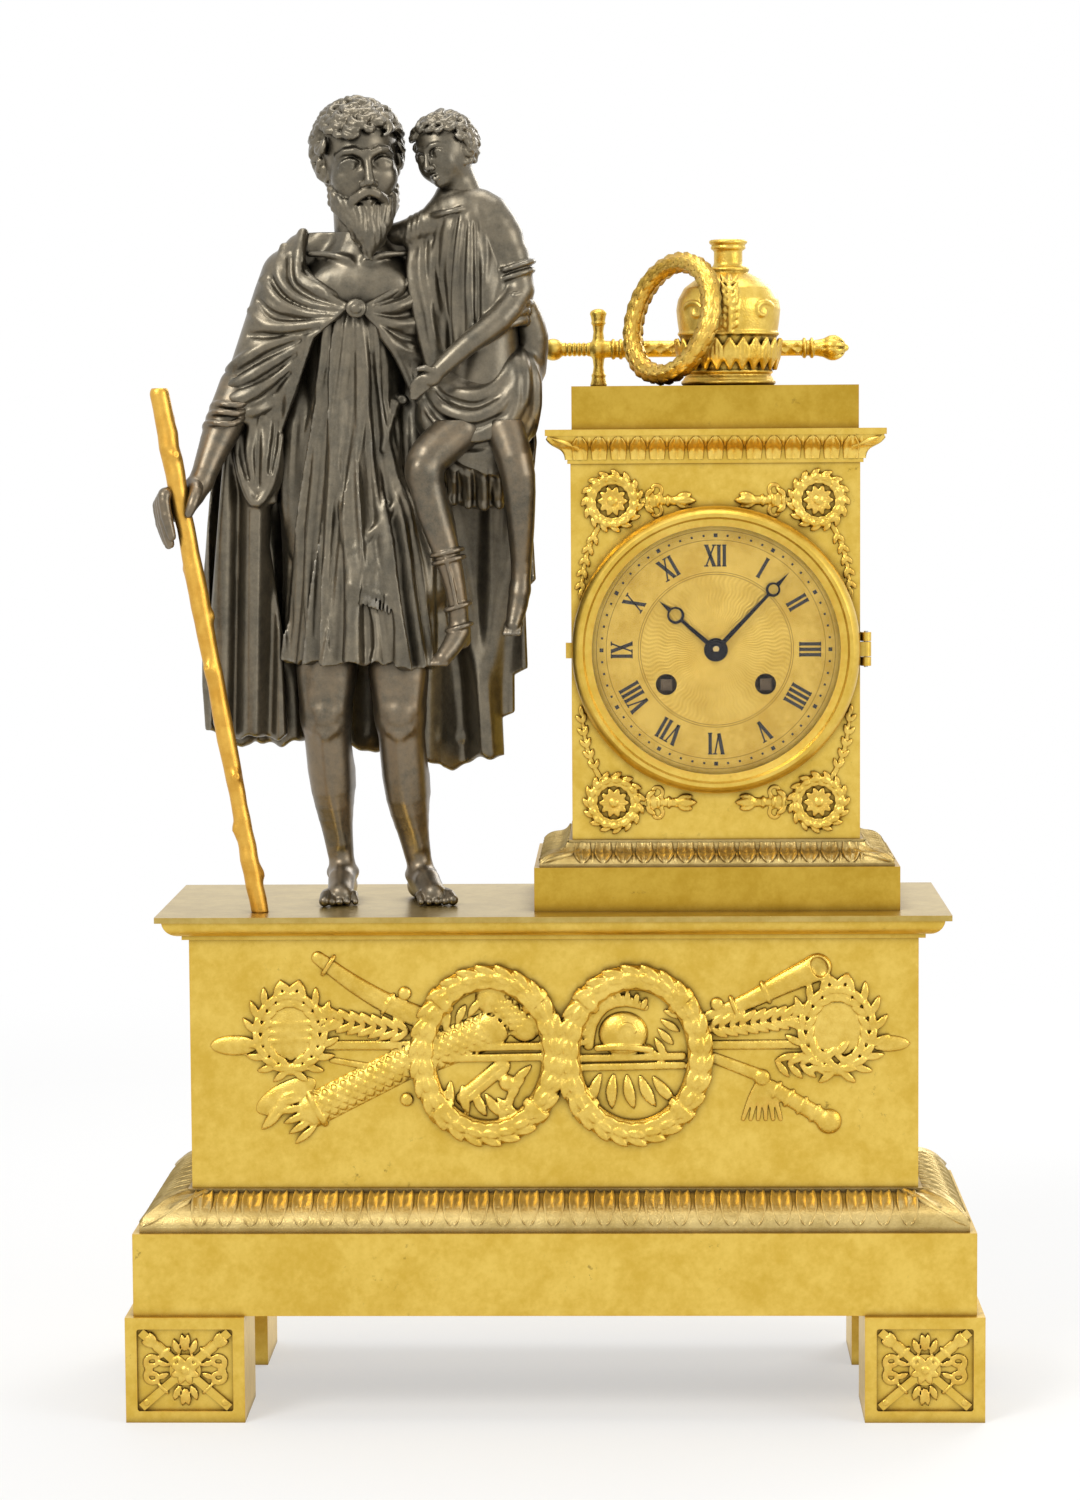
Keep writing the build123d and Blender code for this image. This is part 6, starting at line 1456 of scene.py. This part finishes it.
helmetStyle = dict(
    voxel=0.56, spot=(69.5, 12, 396.7), browLeaf=((7, 0.4), (11, 1.7), (15, 1.6), (18.6, 0.3)),
    browLeaves=24,
    rings=(
        (1.4, 17.7, 1), (5.6, 16.7, 0.9), (20.5, 19.3, 0.8), (45.6, 7.2, 1.1), (54.2, 6, 0.9),
        (56.4, 6.7, 0.9)),
    radii=[
        (0, 17.7), (3, 17.7), (4.5, 16.5), (10, 17.6), (18, 18.9), (25, 20), (30, 20.5), (34, 19.8),
        (38.5, 17.4), (41.5, 13.4), (44.5, 7.6), (48, 5.6), (53, 5.6), (55, 6.3), (57, 6.9)])


def makeHelmet():
    style = helmetStyle
    clay = Clay((-24, -25, -0.4), (24, 25, 58.4), style["voxel"])

    def wall(z):
        return np.interp(z, *zip(*style["radii"]))
    clay.column([(z, 0, 0, r, r) for z, r in style["radii"]], None, 0.4)
    for z, r, thick in style["rings"]:
        clay.strand(ringPoints((0, 0, z), (r, 0, 0), (0, r, 0), 49), thick, 0.4)
    for k in range(style["browLeaves"]):
        a = fullTurn * k / style["browLeaves"]
        d = np.array((cos(a), sin(a), 0))
        side = np.array((-d[1], d[0], 0))
        for lean in (-1, 1):
            edge = []
            for h, s in style["browLeaf"]:
                edge.append(d * (17.3 + 0.18 * h) + side * lean * s + np.array((0, 0, h)))
            clay.strand(edge, [0.6, 1.3, 1.1, 0.4], 0.4)
        clay.strand([d * (17.2 + 0.22 * h) + np.array((0, 0, h))
            for h in (6.6, 12, 18)], [0.6, 0.9, 0.5], 0.3)
    for k in range(7):  # strip of leaves up the front of the dome
        t = k / 6
        z = 22 + 17 * t
        r = wall(z)
        for lean in (-1, 1):
            clay.strand([(0, -r + 0.2, z), (lean * 2.2, -r + 0.1, z + 1.8),
                (lean * 3.4, -r + 0.8, z + 4.2)], [0.8, 1.2, 0.4], 0.4)
    clay.strand([(0, -wall(z) - 0.2, z) for z in np.linspace(21, 43, 12)], 1, 0.4)
    for side in (-1, 1):  # volutes on the temples
        swirl = scroll(side * 13.4, 29, side * 4.2, 4.2, 0.13, (0.4, 6.6), 18)
        clay.strand([(x, -sqrt(max(20.2 ** 2 - x * x, 1)), z) for x, z in swirl], [1, 0.9, 0.8], 0.4)
    clay.strand([(0, 0, 52), (0, 0, 60)], 4.2, 0.4, carve=True)  # socket for the plume
    return clay.mesh("trophyHelmet", placed(0, 0, 0, style["spot"]))


swordStyle = dict(voxel=0.5, y=36.6, z=412)


def makeSword():
    y, z = swordStyle["y"], swordStyle["z"]
    clay = Clay((-7, y - 9, z - 17), (119, y + 9, z + 17), swordStyle["voxel"])
    clay.lump((-0.2, y, z), (4.6, 4.4, 4.4), 0.4)
    clay.strand([(-4.6, y, z), (-2, y, z)], [0.8, 1.4], 0.3)
    clay.strand([(3.4, y, z), (16, y, z)], [2.2, 2.6, 2.2], 0.3)
    for x in np.arange(4.6, 15.5, 1.9):  # wire on the grip
        clay.strand(ringPoints((x, y, z), (0.5, 2.3, 0), (0, 0, 2.3), 16), 0.62, 0.3)
    for up in (-1, 1):
        clay.flow([(18, y, z), (18, y, z + up * 7), (18, y, z + up * 12.6)], 9, [2.9, 2, 3], 0.6)
        clay.lump((18, y, z + up * 14.2), (3.4, 3, 2), 0.4)
        clay.strand(ringPoints((18, y, z + up * 10.4), (2.5, 0, 0), (0, 2.5, 0), 16), 0.55, 0.3)
    clay.lump((18, y, z), (4.2, 4, 4.2), 0.6)
    clay.strand([(20, y, z), (106, y, z)], [3.4, 3.1], 0.4)
    for x in (24, 27, 58, 61, 100.5, 103.5):  # scabbard bands
        clay.strand(ringPoints((x, y, z), (0, 3.4, 0), (0, 0, 3.5), 20), 0.75, 0.3)
    for x in np.concatenate((np.arange(30, 56, 5.2), np.arange(64, 98, 5.2))):
        for side in (-1, 1):
            for up in (-1, 1):
                leaf = [(x, y + side * 3.1, z), (x + 2.4, y + side * 2.8, z + up * 1.7),
                    (x + 4.8, y + side * 3, z + up * 0.3)]
                clay.strand(leaf, [0.4, 0.85, 0.3], 0.3)
    clay.strand([(105, y, z), (108.6, y, z)], [3, 4], 0.5)
    clay.lump((112, y, z), (5.2, 5.2, 5.2), 0.6)
    for k in range(8):
        a = k * pi / 4
        flute = []
        for t in np.linspace(0.5, 2.5, 8):
            reach = 5.3 * sin(t + 0.25)
            flute.append((107.6 + 4.8 * (1 - cos(t)), y + reach * cos(a), z + reach * sin(a)))
        clay.strand(flute, 0.5, 0.3, carve=True)
    clay.lump((116.9, y, z), 1.5, 0.4)
    return clay.mesh("trophySword")


def makeStaff():
    foot, head, steps = staffStyle["foot"], staffStyle["head"], staffStyle["steps"]
    clay = Clay((-157, -41, 194.2), (-107, -20, 396.4), staffStyle["voxel"])
    dice = np.random.default_rng(staffStyle["seed"])
    shares = np.linspace(0, 1, steps)
    run = foot + (head - foot) * shares[:, None] + dice.normal(0, 0.12, (steps, 3)) * np.array((1, 1, 0))
    radii = 3.35 + 0.5 * shares + 0.18 * np.sin(shares * 23) + dice.normal(0, 0.06, steps)
    clay.strand(run, radii, 0.4)
    for share, turn in staffStyle["knots"]:
        base = foot + (head - foot) * share
        out = np.array((cos(turn), sin(turn), 0.2))
        clay.strand([base + out * 1.6 - (0, 0, 2.6), base + out * 3,
            base + out * 2.2 + (0, 0, 2.4)], [1.6, 1.9, 1.2], 1.4)
        clay.lump(base + out * 5.1, (1, 1, 0.9), 0.5, carve=True)
    return clay.mesh("travelStaff")


# Leaf rows on the mouldings and the laurel ring: one Geometry Nodes tree sets a leaf along a path

def makeLeafTree():
    tree = bpy.data.node_groups.new("leafRun", "GeometryNodeTree")
    sockets = {}
    for label, kind in (("Path", "NodeSocketGeometry"), ("Leaf", "NodeSocketObject"),
            ("Pitch", "NodeSocketFloat"), ("Finish", "NodeSocketMaterial")):
        sockets[label] = tree.interface.new_socket(label, in_out="INPUT", socket_type=kind).identifier
    tree.interface.new_socket("Leaves", in_out="OUTPUT", socket_type="NodeSocketGeometry")
    given = tree.nodes.new("NodeGroupInput").outputs
    curve = newNode(tree, "GeometryNodeMeshToCurve", Mesh=given["Path"])
    even = newNode(tree, "GeometryNodeResampleCurve", Curve=curve.outputs[0])
    even.mode = "LENGTH"
    tree.links.new(given["Pitch"], even.inputs["Length"])
    leaf = newNode(tree, "GeometryNodeObjectInfo", Object=given["Leaf"])
    tangent = tree.nodes.new("GeometryNodeInputTangent")
    facing = newNode(tree, "FunctionNodeAlignRotationToVector", Vector=tangent.outputs[0])
    facing.axis = "X"
    facing.pivot_axis = "Z"
    spread = newNode(tree, "GeometryNodeInstanceOnPoints", Points=even.outputs[0],
        Instance=leaf.outputs["Geometry"], Rotation=facing.outputs[0])
    solid = newNode(tree, "GeometryNodeRealizeInstances", Geometry=spread.outputs[0])
    painted = newNode(tree, "GeometryNodeSetMaterial", Geometry=solid.outputs[0], Material=given["Finish"])
    tree.links.new(painted.outputs[0], tree.nodes.new("NodeGroupOutput").inputs["Leaves"])
    return tree, sockets


leafTree, leafSockets = makeLeafTree()


def runLeaves(name, paths, closed, leaf, pitch, finishName):
    # Evaluates the tree on one path object and keeps the plain mesh
    points, edges = [], []
    for path in paths:
        first = len(points)
        points += [tuple(c * mm for c in p) for p in path]
        edges += [(first + i, first + i + 1) for i in range(len(path) - 1)]
        if closed:
            edges.append((len(points) - 1, first))
    guide = bpy.data.meshes.new(name + "Path")
    guide.from_pydata(points, edges, [])
    carrier = linked(name + "Path", guide)
    modifier = carrier.modifiers.new("leafRun", "NODES")
    modifier.node_group = leafTree
    modifier[leafSockets["Leaf"]] = leaf
    modifier[leafSockets["Pitch"]] = pitch * mm
    modifier[leafSockets["Finish"]] = finish[finishName]
    bpy.context.view_layer.update()
    made = bpy.data.meshes.new_from_object(carrier.evaluated_get(bpy.context.evaluated_depsgraph_get()))
    carrier.modifiers.remove(modifier)
    bpy.data.objects.remove(carrier)
    bpy.data.objects.remove(leaf)
    made.name = name
    return linked(name, made)


def sampleProfile(corners, count):
    # Even points and outward normals along a Bezier profile of (out, up)
    t = np.linspace(0, 1, 60)[:, None]
    a, b, c, d = (np.array(v, float) for v in corners)
    run = a * (1 - t) ** 3 + 3 * b * t * (1 - t) ** 2 + 3 * c * t * t * (1 - t) + d * t ** 3
    along = np.concatenate(([0], np.cumsum(np.linalg.norm(np.diff(run, axis=0), axis=1))))
    at = np.linspace(0, along[-1], count)
    even = np.stack([np.interp(at, along, run[:, i]) for i in (0, 1)], 1)
    slope = np.gradient(even, axis=0)
    normal = np.stack((slope[:, 1], -slope[:, 0]), 1) / np.linalg.norm(slope, axis=1)[:, None]
    return even, normal


def leafGrid(style, start, end, widest, tall, sides, rows):
    # Leaf over a share of the profile, with a raised rim, a rib and slanting veins
    stops = np.linspace(0, 1, 61)
    run, normal = sampleProfile(style["profile"], len(stops))
    if style["flip"]:
        normal = -normal
    v = np.linspace(start, end, rows)
    s = (v - start) / (end - start)
    tip = np.clip(1 - ((s - 0.5) / 0.5) ** 2, 0, 1) ** 0.6
    half = widest * style["pitch"] / 2 * np.where(s < 0.5, 0.84 + 0.16 * np.sin(s * pi), tip) + 0.05
    u = np.concatenate((-np.array(sides[::-1]), (0.0,), sides))
    x = u[None, :] * half[:, None]
    u2, s2 = np.abs(u[None, :]), s[:, None]
    rim, rib = np.exp(-((u2 - 0.82) / 0.15) ** 2), np.exp(-(u2 / 0.1) ** 2)
    veins = 0.2 * np.cos(17 * (s2 + 0.4 * u2)) * np.clip(u2 * 4, 0, 1) * np.clip((0.75 - u2) * 6, 0, 1)
    lift = tall * (0.22 + 0.62 * rim + 0.5 * rib * (1 - 0.5 * s2) + veins)
    lift = np.where((u2 > 0.99) | (s2 > 0.995), -0.3, lift)

    def level(values, i):
        return np.interp(v, stops, values[:, i])[:, None]
    out, up = (level(run, i) + lift * level(normal, i) for i in (0, 1))
    across = len(u)
    corner = [r * across + c for r in range(rows - 1) for c in range(across - 1)]
    faces = [(i, i + 1, i + across + 1, i + across) for i in corner]
    return x, out, up, np.array(faces)


leafSides = (0.1, 0.24, 0.46, 0.66, 0.82, 0.94, 1.0)
# Profiles run from the root of the leaf to its tip: out from the wall, up from the floor
mouldingStyle = {
    "baseLeaves": dict(
        profile=((1.6, 12.2), (6.5, 11.6), (13.6, 10.2), (18.5, 1.8)),
        pitch=9.7, tall=1.5, wall=(-141.0, -41.0, 141.0, 41.0), floor=73.0, sides=(0, 1, 2, 3), flip=True,
        finish="giltMoulding"),
    "caseLeaves": dict(
        profile=((1.4, 8.0), (4.41, 1.86), (8.82, 6.98), (12.7, 1.2)),
        pitch=8.0, tall=1.15, wall=(7.5, -22.0, 119.5, 50.0), floor=211.2, sides=(0, 1, 3), flip=True,
        finish="giltMoulding"),
    "corniceLeaves": dict(
        profile=((1.2, 1.6), (1.8, 8.18), (7.2, 5.94), (8.8, 10.8)),
        pitch=7.4, tall=1.0, wall=(7.5, -22.0, 119.5, 50.0), floor=366.8, sides=(0, 1, 3), flip=False,
        finish="giltCornice")}


def makeLeafRow(name):
    style = mouldingStyle[name]
    left, front, right, back = style["wall"]
    parts = [leafGrid(style, 0.0, 1.0, 0.9, style["tall"], leafSides, 15),
        leafGrid(style, 0.55, 1.0, 0.3, style["tall"] * 0.8, (0.5, 1.0), 6)]
    unit = []
    for index, (x, out, up, faces) in enumerate(parts):
        shift = style["pitch"] / 2 * index
        unit.append((np.stack(((x + shift).ravel(), -out.ravel(), up.ravel()), 1),
            faces[:, ::-1] if style["flip"] else faces))
    leaf = joined(name + "Unit", unit)
    corners = [(left, front), (right, front), (right, back), (left, back)]
    paths = []
    for side in style["sides"]:
        a, b = np.array(corners[side]), np.array(corners[(side + 1) % 4])
        d = (b - a) / np.linalg.norm(b - a)
        inset = d * style["pitch"] * 0.5
        paths.append([(*(a + inset), style["floor"]), (*(b - inset), style["floor"])])
    row = runLeaves(name, paths, False, leaf, style["pitch"], style["finish"])
    # Wider leaf folded over each mitre
    x, out, up, faces = leafGrid(style, 0.0, 1.0, 1.5, style["tall"] * 1.2, leafSides, 15)
    corner = []
    for index, (cx, cy) in enumerate(corners):
        if {index, (index - 1) % 4} <= set(style["sides"]):
            ahead = radians(-135 + 90 * index)
            d, side = np.array((cos(ahead), sin(ahead))), np.array((-sin(ahead), cos(ahead)))
            reach = sqrt(2) * out - np.abs(x)
            points = np.stack((cx + reach * d[0] + x * side[0], cy + reach * d[1] + x * side[1],
                style["floor"] + up), 2)
            corner.append((points.reshape(-1, 3), faces[:, ::-1] if style["flip"] else faces))
    corners = joined(name + "Corners", corner)
    addPiece(corners, style["finish"])
    addPiece(row, style["finish"])
    print("leaf row:", name, len(row.data.polygons), "faces")


wreathStyle = dict(
    radius=22.5, tube=3.4, sides=10, pitch=4.9, leaves=7, spot=(47.0, 1.8, 423.1),
    normal=(-0.738, -0.63, 0.241))


def makeWreath():
    # Whorls of laurel leaves round a ring, built flat and then leaned on the helmet
    style = wreathStyle
    unit = []
    for k in range(style["leaves"]):
        a = fullTurn * k / style["leaves"]
        out, side = np.array((0, cos(a), sin(a))), np.array((0, -sin(a), cos(a)))
        rows = []
        for t, wide, lift in ((0.0, 0.5, 0.0), (0.3, 1.45, 0.75), (0.65, 1.3, 1.25), (1.0, 0.15, 0.5)):
            base = np.array((7.4 * t - 2.2, 0, 0)) + out * (style["tube"] + lift - 0.4)
            rows.append([base - side * wide - out * (lift + 0.3), base + out * 0.2,
                base + side * wide - out * (lift + 0.3)])
        faces = [(i, i + 1, i + 4, i + 3) for i in (0, 1, 3, 4, 6, 7)]
        unit.append((np.array(rows).reshape(-1, 3), faces))
    core, sides = [], style["sides"]
    for x in (-2.7, 2.7):
        core += [(x, style["tube"] * cos(a), style["tube"] * sin(a))
            for a in np.linspace(0, fullTurn, sides, endpoint=False)]
    unit.append((np.array(core), [(i, i + sides, (i + 1) % sides + sides, (i + 1) % sides)
        for i in range(sides)]))
    leaf = joined("laurelWhorl", unit)
    ring = [(style["radius"] * cos(a), style["radius"] * sin(a), 0)
        for a in np.linspace(0, fullTurn, 120, endpoint=False)]
    wreath = runLeaves("victoryLaurel", [ring], True, leaf, style["pitch"], "giltOrnament")
    lean = Vector(style["normal"]).to_track_quat("Z", "Y").to_matrix().to_4x4()
    wreath.data.transform(Matrix.Translation(Vector(style["spot"]) * mm) @ lean)
    return wreath


ornamentPieces = (
    (makeRelief, "giltOrnament", "plinth_relief"), (makeFeet, "giltOrnament", None),
    (makeSpandrels, "giltOrnament", "spandrel_mounts"), (makeHelmet, "giltOrnament", "helmet"),
    (makeSword, "giltOrnament", "sword"), (makeStaff, "giltStaff", "staff"),
    (makeWreath, "giltOrnament", "victory_wreath"))
for maker, finishName, node in ornamentPieces:
    piece = addPiece(maker(), finishName, stands=(node,) if node else ())
    print("ornament:", piece.name, len(piece.data.polygons), "faces")
for rowName in mouldingStyle:
    makeLeafRow(rowName)


# Dial: hour numerals and minute dots

dialMarks = dict(
    middle=(63.5, 294.7), face=-25.5, radius=36.4, tall=8.0, dots=44.2, proud=0.22,
    numerals=("XII", "I", "II", "III", "IIII", "V", "VI", "VII", "VIII", "IX", "X", "XI"))


def strokeBar(a, b, wide):
    # Thin bar between two places on the dial, standing a little proud of it
    a, b = np.array(a, float), np.array(b, float)
    d = (b - a) / np.linalg.norm(b - a)
    n = np.array((-d[1], d[0])) * wide / 2
    flat = [a - n, b - n, b + n, a + n]
    top = [p * 0.985 + (a + b) / 2 * 0.015 for p in flat]
    face = dialMarks["face"]
    points = atDepth(flat, face + 0.02) + atDepth(top, face - dialMarks["proud"])
    faces = [(4, 5, 6, 7), (0, 1, 5, 4), (1, 2, 6, 5), (2, 3, 7, 6), (3, 0, 4, 7)]
    return np.array(points), faces


def numeralBars(word):
    # Strokes of a numeral about its middle: thick and thin lines with serifs
    tall = dialMarks["tall"]
    wide = {"I": 2.1, "V": 4.6, "X": 4.6}
    x = -sum(wide[c] for c in word) / 2
    bars = []
    for c in word:
        middle = x + wide[c] / 2
        if c == "I":
            bars.append(((middle, -tall / 2), (middle, tall / 2), 1.3))
            feet = [middle]
        else:
            feet = [middle - 1.5, middle + 1.5]
            cross = 0 if c == "V" else 1.5
            bars.append(((feet[0], tall / 2), (middle + cross, -tall / 2), 1.4))
            bars.append(((feet[1], tall / 2), (middle - cross, -tall / 2), 0.6))
        for f in feet:
            bars.append(((f - 0.85, tall / 2), (f + 0.85, tall / 2), 0.5))
            if c != "V":
                bars.append(((f - 0.85, -tall / 2), (f + 0.85, -tall / 2), 0.5))
        x += wide[c]
    return bars


def makeNumerals():
    cx, cz = dialMarks["middle"]
    parts = []
    for hour, word in enumerate(dialMarks["numerals"]):
        turn = radians(90 - 30 * hour)
        out, right = np.array((cos(turn), sin(turn))), np.array((sin(turn), -cos(turn)))
        spot = np.array((cx, cz)) + out * dialMarks["radius"]
        for a, b, wide in numeralBars(word):
            parts.append(strokeBar(spot + right * a[0] + out * a[1],
                spot + right * b[0] + out * b[1], wide))
    for minute in range(60):
        turn = radians(6 * minute)
        out = np.array((cos(turn), sin(turn)))
        size = 0.75 if minute % 5 == 0 else 0.42
        middle = np.array((cx, cz)) + out * dialMarks["dots"]
        parts.append(strokeBar(middle - out * size, middle + out * size, 2 * size))
    return joined("dialNumerals", parts, False)


addPiece(makeNumerals(), "blackEnamel")
print("dial numerals done")


# Floor, light and camera

stageStyle = dict(
    floorSize=6.0, floorColor=(0.80, 0.80, 0.795), floorGrain=900.0, floorRough=0.75, clearFrom=0.42,
    clearTo=1.1, lift=0.5, worldLight=0.55,
    lamps=[
        ("keyLamp", (-1.1, -1.5, 1.75), 0.27, 0.95, 26.0), ("fillLamp", (1.7, -1.0, 0.9), 0.25, 1.1, 11.0),
        ("topLamp", (0.1, 0.25, 2.1), 0.2, 1.2, 15.0), ("backLamp", (0.9, 1.6, 1.1), 0.3, 0.9, 10.0)])


def makeFloor():
    half = stageStyle["floorSize"] / 2
    floor = meshFrom("studioFloor", [(-half, -half, 0), (half, -half, 0), (half, half, 0),
        (-half, half, 0)], [(0, 1, 2, 3)], False)
    made, tree, shader = newMaterial("floorPaper")
    where = objectPlace(tree)
    grain = noise(tree, where, stageStyle["floorGrain"], 2.0)
    base = stageStyle["floorColor"]
    tint = mixColor(tree, grain, (*(v * 0.985 for v in base), 1), (*base, 1))
    setSocket(tree, shader.inputs["Base Color"], tint)
    shader.inputs["Roughness"].default_value = stageStyle["floorRough"]
    # Fades into the white background away from the clock, where its shadow ends
    far = newNode(tree, "ShaderNodeVectorMath", Vector=where)
    far.operation = "LENGTH"
    faded = ramp(tree, far.outputs["Value"], stageStyle["clearFrom"], stageStyle["clearTo"])
    away = mathNode(tree, "MAXIMUM", faded, stageStyle["lift"])
    white = newNode(tree, "ShaderNodeEmission", Color=(1, 1, 1, 1), Strength=1.0)
    mixSurface(tree, times(tree, away, seenRays(tree)), shader, white)
    floor.data.materials.append(made)


def makeWorld():
    world = bpy.data.worlds.new("studioWorld")
    world.use_nodes = True
    tree = world.node_tree
    back = tree.nodes["Background"]
    back.inputs["Color"].default_value = (1, 1, 1, 1)
    level = plus(tree, stageStyle["worldLight"], times(tree, seenRays(tree), 1 - stageStyle["worldLight"]))
    tree.links.new(level, back.inputs["Strength"])
    scene.world = world


def makeLamps():
    for name, spot, aim, size, power in stageStyle["lamps"]:
        data = bpy.data.lights.new(name, "AREA")
        data.shape = "DISK"
        data.size = size
        data.energy = power
        ahead = Vector((0, 0, aim)) - Vector(spot)
        facing = ahead.to_track_quat("-Z", "Y").to_matrix().to_4x4()
        linked(name, data).matrix_world = Matrix.Translation(spot) @ facing


cameraStyle = dict(spot=(0.0333, -1.4891, 0.3809), yaw=-1.495, pitch=-4.876, roll=-0.375, lens=90.72)


def makeCamera():
    yaw, pitch, roll = (radians(cameraStyle[v]) for v in ("yaw", "pitch", "roll"))
    ahead = Vector((sin(yaw) * cos(pitch), cos(yaw) * cos(pitch), sin(pitch)))
    right = Vector((cos(yaw), -sin(yaw), 0))
    up = right.cross(ahead)
    columns = (cos(roll) * right + sin(roll) * up, cos(roll) * up - sin(roll) * right, -ahead)
    data = bpy.data.cameras.new("photoCamera")
    data.lens = cameraStyle["lens"]
    data.clip_end = 50
    camera = linked("photoCamera", data)
    camera.matrix_world = Matrix.Translation(cameraStyle["spot"]) @ Matrix(columns).transposed().to_4x4()
    scene.camera = camera


makeFloor()
makeWorld()
makeLamps()
makeCamera()
scene.view_settings.view_transform = "Standard"
print("stage, lamps and camera set")
